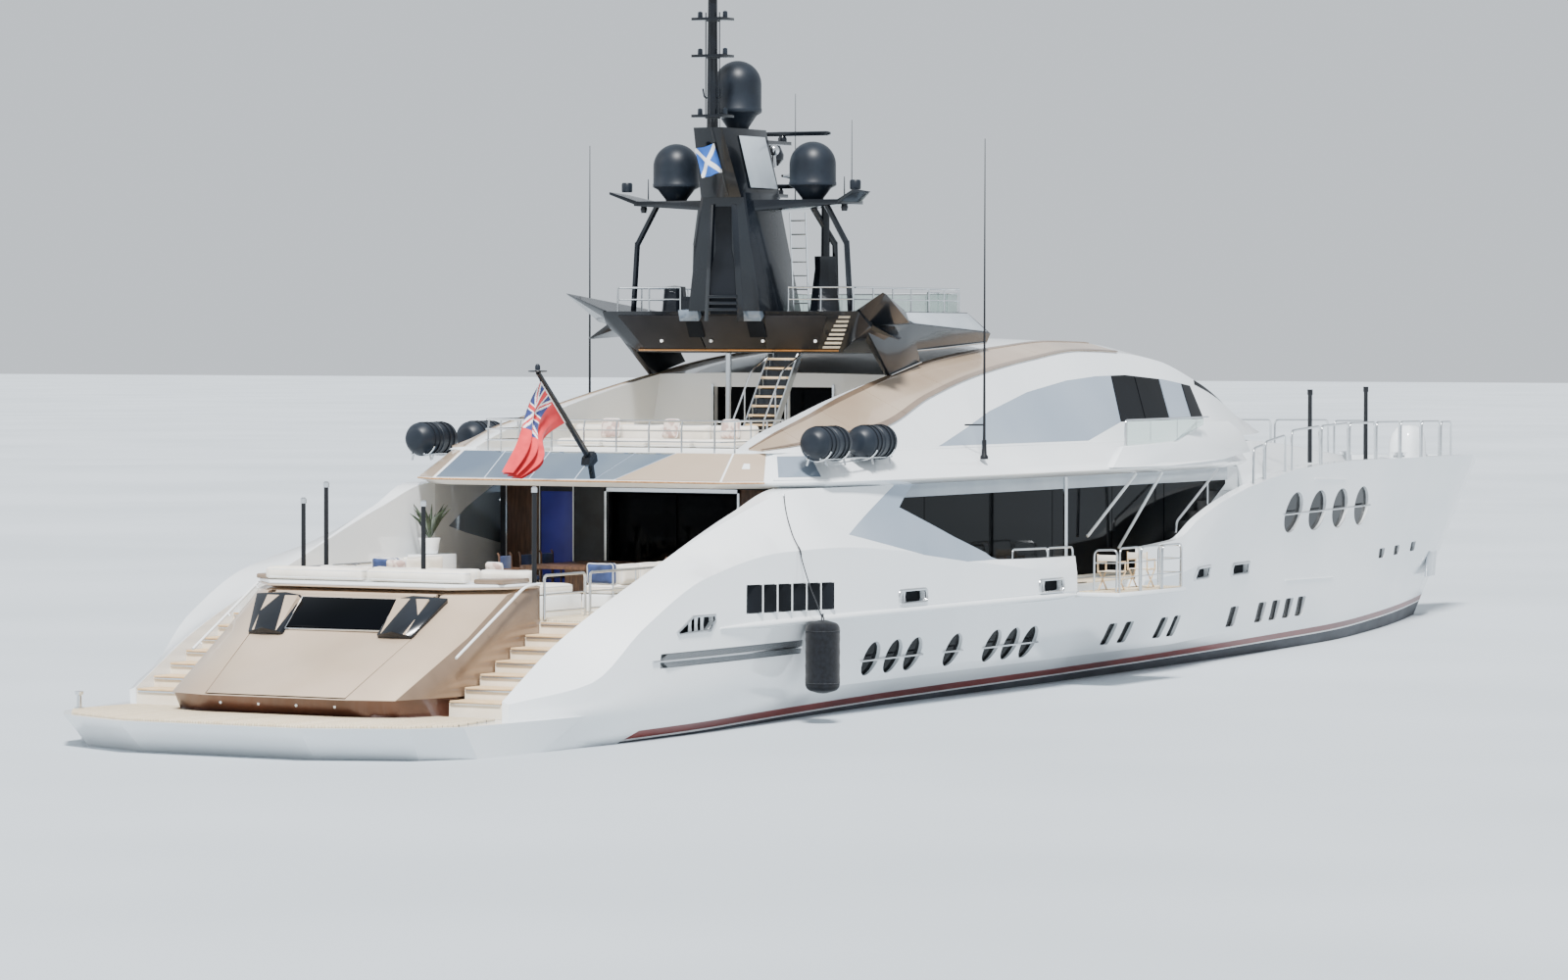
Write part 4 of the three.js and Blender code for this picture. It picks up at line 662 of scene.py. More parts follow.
hull = {
    # x, lean, keel z, bilge y z, waterline y, side y z, knuckle y z, crease y z, top y z
    "stations": [
        (3.65, 0, -0.8, 4.0, -0.6, 4.3, 4.33, 0.6, 4.34, 0.78, 4.35, 0.93, 4.21, 0.98),
        (5.5, 0, -1.15, 4.05, -0.75, 4.7, 5.04, 0.6, 5.08, 0.95, 5.1, 1.27, 4.21, 1.92),
        (7.0, 0, -1.45, 4.0, -1.0, 4.82, 5.2, 0.66, 5.28, 1.45, 5.31, 2.2, 4.21, 2.5),
        (9.4, 0, -1.95, 3.9, -1.35, 4.85, 5.25, 0.8, 5.4, 2.08, 5.42, 3.13, 4.24, 3.3),
        (12.5, 0, -2.5, 3.8, -1.7, 4.65, 5.15, 0.8, 5.46, 2.12, 5.47, 3.52, 4.42, 4.28),
        (14.4, 0, -2.75, 3.7, -1.9, 4.5, 5.08, 0.8, 5.5, 2.15, 5.5, 3.54, 4.75, 4.7392),
        (18.0, 0, -3.0, 3.5, -2.1, 4.28, 5.02, 0.8, 5.53, 2.2, 5.51, 3.33, 5.0, 4.7392),
        (19.2, 0, -3.0, 3.5, -2.1, 4.22, 5.0, 0.8, 5.54, 2.2, 5.52, 3.18, 5.02, 4.7392),
        (22.3, 0, -3.0, 3.45, -2.15, 4.18, 4.97, 0.8, 5.56, 2.2, 5.54, 2.9, 5.45, 3.02),
        (26.2, 0, -3.0, 3.4, -2.15, 4.15, 4.93, 0.8, 5.58, 2.2, 5.57, 2.6, 5.52, 2.97),
        (31.6, 0, -3.0, 3.3, -2.15, 4.0, 4.8, 0.8, 5.5, 2.35, 5.5, 2.8, 5.47, 3.15),
        (33.0, 0, -3.0, 3.25, -2.15, 3.95, 4.72, 0.8, 5.38, 2.5, 5.42, 3.1, 5.43, 3.6),
        (34.8, 0, -3.0, 3.2, -2.15, 3.88, 4.55, 0.85, 5.1, 2.75, 5.28, 3.5, 5.35, 4.02),
        (37.0, 0, -3.0, 3.1, -2.15, 3.78, 4.35, 0.9, 4.8, 2.84, 5.02, 3.7, 5.16, 4.32),
        (41.0, 0, -3.0, 2.8, -2.2, 3.55, 3.98, 1.0, 4.25, 2.76, 4.5, 3.8, 4.66, 4.61),
        (46.0, 0, -3.0, 2.2, -2.25, 3.18, 3.45, 1.1, 3.65, 2.66, 3.8, 3.8, 3.9, 4.69),
        (51.5, 0.1, -2.95, 1.4, -2.2, 2.2, 2.45, 1.15, 2.62, 2.6, 2.8, 3.7, 2.92, 4.64),
        (56.0, 0.45, -2.6, 0.55, -1.8, 1.15, 1.3, 1.2, 1.48, 2.57, 1.62, 3.6, 1.74, 4.57),
        (59.0, 0.9, -1.9, 0.14, -1.3, 0.33, 0.42, 1.25, 0.52, 2.55, 0.6, 3.55, 0.68, 4.5),
        (60.05, 1.12, -1.1, 0.03, -0.7, 0.04, 0.04, 1.25, 0.04, 2.55, 0.04, 3.5, 0.04, 4.42),
    ],
    "step": 0.3,
    "platform": [
        (-0.45, (1.0, 1.9), (1.6, 3.55), (2.5, 4.2), (4.22, 4.35), (7.0, 4.5)),
        (0.0, (0.72, 1.93), (1.45, 3.75), (2.3, 4.5), (4.22, 4.68), (7.0, 4.82)),
        (0.63, (0.0, 2.02), (0.85, 3.9), (1.76, 4.53), (4.22, 4.89), (7.0, 5.2)),
    ],
    "innerLine": [(7.0, 4.2), (14.6, 4.2), (16.5, 4.6), (19.3, 4.82), (22.3, 5.28), (31.5, 5.3), (34.8, 5.1),
                  (37.3, 4.82), (42, 4.2), (46, 3.58), (51.5, 2.6), (57, 1.5), (61.5, 0.55)],
    "bowSteps": {"x0": 33.6, "going": 0.45, "count": 8},
    "sideOpening": [(19.15, 4.8), (18.48, 4.49), (18.08, 4.27), (20.27, 3.58), (22.3, 3.03), (24, 3.02), (24, 4.8)],
    "screen": [(15.44, 3.78), (18.35, 4.8), (19.15, 4.8), (18.48, 4.49), (18.08, 4.27), (20.27, 3.58), (22.3, 3.03),
               (20.6, 3.04), (18.6, 3.25), (16.8, 3.55)],
    # how deep the pockets of ports, fairleads and vents are
    "portDepth": 0.1, "leadDepth": 0.16, "ventDepth": 0.14,
    "well": (2.5, 7.02, -4.2, 4.2), "louvreCount": 6,
    # groups of ports, each with a guard bar across it: x, z, half height, width to height
    "ports": [[(16.78, 1.14, 0.36, 1), (17.8, 1.14, 0.36, 1), (18.74, 1.14, 0.36, 1)], [(20.66, 1.13, 0.36, 1)],
              [(22.6, 1.12, 0.36, 1), (23.54, 1.12, 0.36, 1), (24.47, 1.11, 0.36, 1)],
              [(41.0, 3.51, 0.51, 1.5), (43.22, 3.5, 0.51, 1.5), (45.42, 3.49, 0.51, 1.5), (47.72, 3.48, 0.51, 1.5)]],
    # rectangular ports: x, z, half width, half height
    "windows": [*((x, 1.07, 0.25, 0.25) for x in (28.85, 29.81, 31.93, 32.82)),
                *((x, 1.07, 0.34, 0.25) for x in (37.39, 39.65, 40.8, 41.91, 42.96)),
                *((x, 2.11, 0.4, 0.13) for x in (51.13, 53.28, 55.94))],
    # oblong fairleads with a polished lip: x, z, half width, half height
    "fairleads": [(18.03, 2.4, 0.6, 0.12), (24.67, 2.36, 0.58, 0.12), (33.84, 2.29, 0.66, 0.12), (37.2, 2.25, 0.7, 0.12)],
    "rollerLead": [(8.28, 2.1), (8.85, 2.38), (9.68, 2.38), (9.7, 2.25), (9.5, 2.08), (8.32, 2.05)],
    "louvre": [(10.93, 2.34), (14.5, 2.28), (14.5, 2.84), (10.93, 2.92)],
    "grille": [(7.7, 1.42), (13.45, 1.42), (13.45, 1.7), (7.7, 1.7)],
    "balcony": {"x0": 26.0, "x1": 29.7, "floor": 2.045},
    "boot": {"aft": 6.88, "low": 0.0, "knee": 7.45, "high": 0.22, "rise": 0.0063},
}


def hullCurve(row):
    # one side of a section from the keel to the top: rounded up to the knuckle, straight above it
    x, lean, keel, bilgeY, bilgeZ, lineY, sideY, sideZ, knY, knZ, crY, crZ, topY, topZ = row
    below = [(0.0, keel), (bilgeY, bilgeZ), (lineY, 0.0), (sideY, sideZ), (knY, knZ)]
    before, after = (-bilgeY, bilgeZ), (2 * knY - sideY, 2 * knZ - sideZ)
    fine = smoothOutline([before, *below, after], 5)[5:-5]
    side = [(knY + (crY - knY) * k / 3, knZ + (crZ - knZ) * k / 3) for k in (1, 2, 3)]
    top = [(crY + (topY - crY) * k / 3, crZ + (topZ - crZ) * k / 3) for k in (1, 2, 3)]
    return [(x + lean * z, y, z) for y, z in fine + side + top]


stationXs = sorted({round(x, 3) for x in [*np.arange(3.65, 60.05, hull["step"]), *(r[0] for r in hull["stations"])]})
hullSections = [hullCurve(row) for row in smoothColumns(hull["stations"], stationXs)]
hullLeans = [np.interp(x, [r[0] for r in hull["stations"]], [r[1] for r in hull["stations"]]) for x in stationXs]


def beamAt(x, z):
    # the hull's half beam at a place
    places = [s + lean * z for s, lean in zip(stationXs, hullLeans)]
    k = min(max(np.searchsorted(places, x), 1), len(places) - 1)
    y = [np.interp(z, [p[2] for p in line], [p[1] for p in line]) for line in hullSections[k - 1:k + 1]]
    return float(y[0] + (y[1] - y[0]) * (x - places[k - 1]) / (places[k] - places[k - 1]))


def sidePoint(x, z, out=0.0):
    return (x, -(beamAt(x, z) + out), z)


def sidePlate(outline, low, high, tilt=False):
    # a plate that lies along the starboard side under an outline of x and z, between two depths
    x, z = middleOf(outline)
    y, slope = beamAt(x, z), beamAt(x + 0.5, z) - beamAt(x - 0.5, z)
    lean = (beamAt(x, z + 0.3) - beamAt(x, z - 0.3)) / 0.6 if tilt else 0.0
    return loftPart([[(px, -(y + slope * (px - x) + lean * (pz - z) + deep), pz) for px, pz in outline]
                     for deep in (low, high)])


def deckSpace():
    # the room over the decks between the bulwarks, with the steps up to the foredeck
    steps, deck, high = hull["bowSteps"], yacht["mainDeck"], 7.0
    rise = (yacht["foreDeck"] - deck) / steps["count"]
    profile = [(7.0, deck)]
    for i in range(steps["count"]):
        x = steps["x0"] + steps["going"] * i
        profile += [(x, deck + rise * i), (x, deck + rise * (i + 1))]
    profile += [(62, yacht["foreDeck"]), (62, high), (7.0, high)]
    space = bareMesh("deckSpace", [prismPart("z", mirroredPlan(hull["innerLine"]), 0, high)])
    return carve(space, ("INTERSECT", [crossPart(profile, 6)]))


def makeTopsides():
    shell = loftPart([line + [(x, -y, z) for x, y, z in reversed(line[1:])] for line in hullSections])
    platform = [[(x, y, row[0]) for x, y in mirroredPlan(row[1:])] for row in hull["platform"]]
    rounds = [circleLine(*port) for group in hull["ports"] for port in group]
    squares, leads = ([roundBox(*port, 0.07) for port in hull[key]] for key in ("windows", "fairleads"))
    far = 0.5
    pockets = [sidePlate(o, -hull["portDepth"], far, tilt=True) for o in rounds + squares]
    pockets += [sidePlate(o, -hull["leadDepth"], far) for o in leads + [hull["rollerLead"]]]
    vents = [sidePlate(o, -hull["ventDepth"], far) for o in (hull["louvre"], hull["grille"])]
    gap = hull["balcony"]
    topsides = carve(bareMesh("hullTopsides", [shell], "white"),
                     ("DIFFERENCE", [boxPart(*hull["well"], yacht["platform"], 6)]),
                     ("UNION", [loftPart(platform)]),
                     ("DIFFERENCE", deckSpace()),
                     ("DIFFERENCE", [crossPart(hull["sideOpening"])]),
                     ("DIFFERENCE", bothSides(pockets)),
                     ("DIFFERENCE", bothSides(vents)),
                     ("DIFFERENCE", [boxPart(gap["x0"], gap["x1"], -7, -5.0, gap["floor"], 6)]))
    screens = carve(twinOf(topsides, "sideScreens", "silverGlass"),
                    ("INTERSECT", [crossPart(shrunk(hull["screen"], 0.997))]))
    carve(topsides, ("DIFFERENCE", [crossPart(hull["screen"])]))
    return topsides, screens


def splitAtBoot(topsides):
    # everything under the boot line becomes the underbody, with its band and line as strips of faces
    boot, ahead = hull["boot"], 66
    end = boot["high"] + boot["rise"] * (ahead - boot["knee"])
    lower = crossPart([(-1, -4), (ahead, -4), (ahead, end), (boot["knee"], boot["high"]), (boot["aft"], boot["low"]),
                       (-1, 0)])
    under = twinOf(topsides, "hullUnderbody", "antifouling")
    carve(topsides, ("DIFFERENCE", [lower]))
    carve(under, ("INTERSECT", [lower]))
    setFinish(under.data, "antifouling", "boot", "line")
    band, line = 0.15, 0.185
    sculpt = bmesh.new()
    sculpt.from_mesh(under.data)
    for drop in (band, line):
        bmesh.ops.bisect_plane(sculpt, geom=sculpt.verts[:] + sculpt.edges[:] + sculpt.faces[:], dist=1e-6,
                               plane_co=at(boot["knee"], 0, boot["high"] - drop),
                               plane_no=Vector((-boot["rise"], 0, 1)).normalized())
    knee = at(boot["knee"], 0, boot["high"])
    for face in sculpt.faces:
        middle = face.calc_center_median()
        depth = (knee.z + boot["rise"] * (middle.x - knee.x) - middle.z) / yacht["scale"]
        afloat = middle.x > at(6.9, 0, 0).x
        face.material_index = 1 if afloat and depth < band else (2 if afloat and depth < line else 0)
    sculpt.to_mesh(under.data)
    sculpt.free()
    return under


topsides, screens = makeTopsides()
underbody = splitAtBoot(topsides)
placePiece(topsides, replaces=("hull_topsides", "bulwark_aft_starboard", "bulwark_fore_starboard", "bulwark_aft_port",
                                "bulwark_fore_port"),
           slot="white_paint", sharp=11)
placePiece(underbody, replaces=("hull_underbody",), slot="antifouling", sharp=20)
placePiece(screens, replaces=("side_screen_starboard", "side_screen_port"), slot="blue_grey_panel", sharp=20)
print("hull carved")


def rollerPart(x, y, low, middle, high, radius):
    # an upright waisted roller in a fairlead
    profile = [(0, low), (radius, low), (radius - 0.015, middle), (radius, high), (0, high)]
    return lathePart(profile, (x, y, 0), 12)


def dressHullSide():
    # port glass, guard bars, lips, vents and the rub rail, the same on both sides
    glass, steel, white, dark = [], [], [], []
    portBack, leadBack, lip = -hull["portDepth"] + 0.002, -hull["leadDepth"] + 0.002, 0.004
    sunk, clear = -0.02, 0.035
    for group in hull["ports"]:
        for x, z, r, wide in group:
            glass.append(sidePlate(circleLine(x, z, r * 0.998, wide), portBack, portBack + 0.012, tilt=True))
        first, last = group[0], group[-1]
        x0, x1, z = first[0] - first[2] * first[3] - 0.12, last[0] + last[2] * last[3] + 0.1, first[1] - 0.03
        bar = [sidePoint(x0, z, sunk), sidePoint(x0 + 0.06, z, clear)]
        bar += [sidePoint(x0 + (x1 - x0) * k / 6, z, clear) for k in range(1, 6)]
        bar += [sidePoint(x1 - 0.06, z, clear), sidePoint(x1, z, sunk)]
        steel.append(tubePart(bar, 0.022, 8))
    for x, z, w, h in hull["windows"]:
        glass.append(sidePlate(roundBox(x, z, w - 0.004, h - 0.004, 0.066), portBack, portBack + 0.012, tilt=True))
    for x, z, w, h in hull["fairleads"]:
        outline = roundBox(x, z, w + 0.02, h + 0.02, 0.09)
        steel.append(tubePart([sidePoint(px, pz, lip) for px, pz in outline], 0.035, 8, closed=True))
        dark.append(sidePlate(roundBox(x, z, w - 0.004, h - 0.004, 0.066), leadBack, leadBack + 0.018))
        steel += [rollerPart(x + w * share, -(beamAt(x, z) - 0.07), z - h, z, z + h, 0.05) for share in (-0.72, -0.5)]
    steel.append(tubePart([sidePoint(px, pz, lip) for px, pz in hull["rollerLead"]], 0.03, 8, closed=True))
    dark.append(sidePlate(shrunk(hull["rollerLead"], 0.99), leadBack, leadBack + 0.018))
    steel += [rollerPart(x, -(beamAt(x, 2.2) - 0.07), 2.06, 2.2, 2.36, 0.06) for x in (8.82, 9.05, 9.28)]

    # slanted dark blades, painted shade in the openings, and white fins of the air intake
    count, x0, x1 = hull["louvreCount"], hull["louvre"][0][0], hull["louvre"][1][0]
    pitch = (x1 - x0) / count
    for i in range(count):
        a, b = x0 + pitch * i + 0.01, x0 + pitch * (i + 1)
        low, high = 2.35 - 0.01 * i, 2.9 - 0.013 * i
        ya, yb = -(beamAt(a, 2.6) - 0.135), -(beamAt(b, 2.6) + 0.05)
        blade = [(a, ya), (b - 0.05, yb), (b - 0.05, yb + 0.03), (a, ya + 0.004)]
        fin = [(b - 0.05, yb - 0.012), (b - 0.012, yb - 0.012), (b - 0.012, yb + 0.18), (b - 0.05, yb + 0.18)]
        dark.append(prismPart("z", blade, low, high))
        white.append(prismPart("z", fin, low - 0.025, high + 0.03))
    mesh = [sidePlate([(7.75, 1.58), (7.95, 1.69), (13.43, 1.69), (13.43, 1.58)], -0.13, -0.02),
            sidePlate([(7.95, 1.43), (7.75, 1.54), (13.43, 1.54), (13.43, 1.43)], -0.13, -0.02)]
    steel.append(tubePart([sidePoint(x, 1.56, 0.01) for x in (7.4, 8.5, 9.8, 11.1, 12.3, 13.4)], 0.028, 8))

    # the rub rail, which thins out at both ends, and two mouldings on the bow
    start, end = 9.9, 26.04
    railXs = np.linspace(start, end, 40)
    taper = [0.075 * min(1, 0.25 + (x - start) / 2.2, 0.25 + (end - x) / 1.2) for x in railXs]
    rail = [sidePoint(x, float(np.interp(x, (start, 15.7, end), (2.1, 2.11, 2.11))), 0.012) for x in railXs]
    white.append(tubePart(rail, taper, 14))
    for x, z, half in ((44.0, 4.28, 1.6), (43.4, 1.75, 2.1)):
        white.append(tubePart([sidePoint(x + half * k / 4, z - 0.012 * k, 0.0) for k in range(-4, 5)], 0.022, 8))

    newPiece("portGlass", bothSides(glass), "darkGlass", sharp=25)
    newPiece("hullFittings", bothSides(steel), "steel", sharp=40)
    newPiece("hullTrim", bothSides(white), "white", sharp=40)
    newPiece("ventShadows", bothSides(dark), "shade")
    newPiece("ventStrips", bothSides(mesh), "mesh")


dressHullSide()
print("hull side dressed")


stern = {
    "steps": {"count": 7, "x0": 3.68, "going": 0.553, "z0": 0.96, "rise": 0.22333, "inner": 3.0, "outer": 4.2,
              "end": 6.999},
    "cap": [(5.12, 1.98), (6.0, 2.8), (6.55, 2.92), (6.98, 2.97)],
    # corners of the starboard pod on the door: x, y, z
    "podFoot": [(4.2, 1.1, 2.02), (4.2, 1.86, 2.02), (4.1, 1.12, 2.12), (4.04, 1.5, 2.2), (4.12, 1.86, 2.1)],
    "podHead": [(5.0, 1.12, 2.7), (5.0, 2.16, 2.7), (4.9, 1.16, 2.8), (4.84, 1.5, 2.86), (4.93, 2.2, 2.82)],
    "lampYs": (-1.3, -0.43, 0.43, 1.3),
    # steel rails at the stair heads: spans in x, posts, and height and radius of each row
    "railY": 3.05, "railFoot": 2.34, "railSpans": ((7.1, 8.66), (8.85, 11.6)), "railPosts": (9.75, 10.65),
    "railRows": ((2.49, 0.02), (2.82, 0.02), (3.2, 0.028)),
    "bollard": [(0, 0.672), (0.09, 0.672), (0.09, 0.69), (0.05, 0.7), (0.045, 0.92), (0.08, 0.94), (0.085, 1.0),
                (0, 1.01)],
}


def dressStairs():
    run, foot = stern["steps"], yacht["platform"] + 0.002
    treads, lips = [], []
    profile = [(run["x0"], foot)]
    for i in range(run["count"]):
        x, z = run["x0"] + run["going"] * i, run["z0"] + run["rise"] * i
        end = min(x + run["going"], run["end"])
        profile += [(x + 0.012, z - 0.045), (end + 0.012 if i + 1 < run["count"] else run["end"], z - 0.045)]
        treads.append(boxPart(x - 0.03, end - 0.004, -run["outer"] + 0.03, -run["inner"] - 0.03, z - 0.04, z))
        lips.append(boxPart(x - 0.018, x + 0.01, -run["outer"] + 0.05, -run["inner"] - 0.05, z - 0.075, z - 0.045))
    profile.append((run["end"], foot))
    risers = [prismPart("y", profile, -run["outer"] + 0.002, -run["inner"] - 0.002)]
    newPiece("sternStairs", bothSides(risers), "cream", replaces=("stairs_starboard", "stairs_port"), bevel=0.01)
    newPiece("sternTreads", bothSides(treads), "tread", bevel=0.012)
    newPiece("stairLights", bothSides(lips), "steel")


def dressBlock():
    # the plinth goes dark bronze, and the block's side walls, picked by the way they face, take the edge tone as
    # painted shade
    block = dressNode("transom_block", "champagne", "darkBronze", "deepBronzeAndShade", bevel=0.022)
    for face in block.data.polygons:
        if face.center.z < at(0, 0, 1.005).z:
            face.material_index = 1
        elif abs(face.normal.y) > 0.8:
            face.material_index = 2
    lens = [(0.0, 2.3), (0.03, 2.3), (0.03, 2.325), (0.0, 2.325)]
    lamps = [lathePart(lens, (0.04, y, 0.86), 16, "x") for y in stern["lampYs"]]
    newPiece("plinthLamps", lamps, "steel", sharp=40)
    for name, key, wider, z0, z1, bevel in (("blockCap", "white", 0.05, 3.005, 3.06, 0.02),
                                            ("blockRim", "champagne", 0.09, 2.965, 3.003, 0.014)):
        plan = mirroredPlan([(x - 0.04, y + wider) for x, y in stern["cap"]])
        newPiece(name, [prismPart("z", plan, z0, z1)], key, bevel=bevel)
    newPiece("blockLids", bothSides([boxPart(5.85, 6.88, -2.86, -2.2, 3.062, 3.16)]), "deepBronzeAndShade", bevel=0.03)

    dressNode("transom_door", "champagne", body="transom_door", bevel=0.012)
    skin = 0.012
    pods = [wedgePart([(x - skin, side * (y + skin * (1 if y > 1.5 else -1)), z + skin)
                       for x, y, z in stern["podFoot"] + stern["podHead"]]) for side in (1, -1)]
    newPiece("doorPods", pods, "midnight", body="transom_door", bevel=0.02)
    dressNode("transom_window", "darkGlass", body="transom_door", bevel=0.01)
    frameLine = [(4.26, y, 2.19) for y in (1.1, -1.1)] + [(4.87, y, 2.77) for y in (-1.1, 1.1)]
    newPiece("windowFrame", [tubePart(frameLine, 0.02, 8, closed=True)], "steel", body="transom_door")


def dressStern():
    dressStairs()
    dressBlock()

    # handrails: white ones on the block's side walls, steel ones at the stair heads
    rails = []
    for y in (3.07, -3.07):
        line = [(3.9, y * 0.985, 1.75), (6.35, y, 3.02), (6.9, y, 3.05)]
        rails.append(tubePart(roundedLine(line, 0.2), 0.028, 10))
        for share in (0.1, 0.5, 0.9):
            x, z = 3.9 + 2.45 * share, 1.75 + 1.27 * share
            rails.append(tubePart([(x, y * 0.985, z), (x, y * 0.972, z - 0.05)], 0.018, 8))
    newPiece("stairHandrails", rails, "white")
    foot, head, steel = stern["railFoot"], stern["railRows"][-1][0], []
    for y in (stern["railY"], -stern["railY"]):
        for x0, x1 in stern["railSpans"]:
            for z, radius in stern["railRows"]:
                corners = [(x0, y, foot), (x0, y, z), (x1, y, z), (x1, y, foot)]
                steel.append(tubePart(roundedLine(corners, 0.1), radius, 10))
        steel += [postPart(x, y, foot, head, 0.018) for x in stern["railPosts"]]
    newPiece("sternRails", steel, "steel")

    for node in ("platform_teak", "main_deck_teak"):
        dressNode(node, "teak", bevel=0.006)
    newPiece("platformBollard", [lathePart(stern["bollard"], (1.85, 4.25, 0), 20)], "steel", sharp=40)


dressStern()
print("stern dressed")


saloon = {
    # side glass: y of its faces, x of the joints between panes, and the outline of the last pane
    "outer": -4.375, "inner": -4.352, "joints": [17.56, 20.8, 24.0, 27.2, 30.4, 33.3],
    "lastPane": [(33.33, 2.5), (33.6, 2.62), (36.9, 4.32), (36.9, 4.7), (33.33, 4.7)],
    # aft wall: x of its face, and y of the posts at the doors, of the thin posts and of the panels
    "wall": 17.5, "doorPosts": (-1.66, 1.62), "posts": (-4.2, -3.35, -2.5, 2.45, 3.3, 4.15),
    "panels": (-4.16, -3.31, -2.46, 3.35),
}
aftDeck = {
    "floor": 2.35, "seat": 2.95, "plant": (13.6, 3.7, 3.56), "leaves": 14, "chairXs": (13.9, 14.75, 15.6), "chairY": 1.75,
    "table": [(13.2, -1.15), (13.35, -1.3), (16.05, -1.3), (16.2, -1.15)], "tableLegs": (13.9, 15.5),
}


def chairParts(x, y, face, wood, cloth):
    # a dining chair that faces along y, its frame and its covers
    foot, seat = aftDeck["floor"], aftDeck["seat"]
    for s in (-1, 1):
        leg, arm = x + s * 0.24, x + s * 0.26
        back = [(leg, y - face * 0.24, foot), (leg, y - face * 0.26, 3.25), (leg, y - face * 0.3, 3.3)]
        wood.append(tubePart(roundedLine(back, 0.1), 0.022, 8))
        wood.append(postPart(leg, y + face * 0.24, foot, seat, 0.022))
        wood.append(tubePart([(arm, y + face * 0.26, seat), (arm, y - face * 0.26, seat + 0.02)], 0.024, 8))
    cloth.append(boxPart(x - 0.22, x + 0.22, y - 0.23, y + 0.23, 2.72, 2.8))
    cloth.append(boxPart(x - 0.21, x + 0.21, y - face * 0.275, y - face * 0.235, 2.9, 3.24))


def dressSaloon():
    house = dressNode("main_deckhouse", "white", "graphite", bevel=0.015)
    for face in house.data.polygons:
        if face.center.x < at(17.9, 0, 0).x or abs(face.center.y) < at(0, 4.3, 0).y:
            face.material_index = 1
    inner, outer, joints, wall = (saloon[key] for key in ("inner", "outer", "joints", "wall"))
    glass = [boxPart(x0 + 0.015, x1 - 0.015, outer, inner, 2.42, 4.7) for x0, x1 in zip(joints, joints[1:])]
    glass.append(prismPart("y", saloon["lastPane"], outer, inner))
    # the pale grey lintel is painted shade on the wall above the saloon glass, under the fascia
    newPiece("glassLintel", bothSides([boxPart(18.2, 36.9, -4.43, -4.38, 4.42, 4.735)]), "paleGrey", bevel=0.012)
    newPiece("saloonGlass", bothSides(glass), "darkGlass", replaces=("saloon_windows_starboard", "saloon_windows_port"))
    for door in ("saloon_door_starboard", "saloon_door_port"):
        dressNode(door, "darkGlass", body=door, bevel=0.008)
    frames = [boxPart(wall - 0.06, wall, y, y + 0.05, 2.36, 4.6) for y in saloon["doorPosts"]]
    frames.append(boxPart(wall - 0.06, wall, -1.66, 1.67, 4.52, 4.6))
    frames += [boxPart(wall - 0.04, wall, y, y + 0.03, 2.36, 4.7) for y in saloon["posts"]]
    newPiece("saloonFrames", frames, "steel")
    newPiece("litDoorway", [boxPart(wall - 0.03, wall, 2.5, 3.28, 2.4, 4.5)], "blueGlow", bevel=0.01)
    panels = [boxPart(wall - 0.03, wall, y, y + 0.8, 2.4, 4.6) for y in saloon["panels"]]
    newPiece("wallPanels", panels, "walnut", bevel=0.012)


def dressAftDeck():
    dressSaloon()

    # two consoles, on one of them a dark plant in a pot, and a dining table with six chairs
    leaf, dark, floor, root = [], [], aftDeck["floor"], Vector(aftDeck["plant"])
    pale = [boxPart(13.2, 14.2, y, y + 0.6, floor, 3.25) for y in (3.4, -4.0)]
    pale.append(lathePart([(0, 3.26), (0.17, 3.26), (0.24, 3.6), (0.2, 3.6), (0, 3.56)], (root.x, root.y, 0), 20))
    for k in range(aftDeck["leaves"]):
        turn, lean = k * 2.4, 0.12 + 0.05 * (k % 4)
        tip = root + Vector((math.cos(turn) * lean * 2, math.sin(turn) * lean * 2, 0.55 + 0.1 * (k % 3)))
        bend = root.lerp(tip, 0.55) + Vector((0, 0, 0.1))
        leaf.append(tubePart([root, bend, tip], [0.01, 0.035, 0.004], 5))
    wood = [prismPart("z", mirroredPlan(aftDeck["table"]), 3.02, 3.08)]
    wood += [boxPart(x - 0.08, x + 0.08, -0.5, 0.5, floor, 3.02) for x in aftDeck["tableLegs"]]
    for face in (-1, 1):
        for x in aftDeck["chairXs"]:
            chairParts(x, -aftDeck["chairY"] * face, face, wood, dark)
    newPiece("deckConsoles", pale, "white", bevel=0.02)
    newPiece("deckPlant", leaf, "leaf")
    newPiece("deckTable", wood, "walnut")
    newPiece("deckChairs", dark, "navy", bevel=0.02)
    dressNode("aft_sofa", "white", bevel=0.03)
    newPiece("sideSettees", bothSides([boxPart(9.95, 12.6, -2.93, -2.2, 2.345, 2.7)]), "white", bevel=0.03)


dressAftDeck()
print("aft deck dressed")


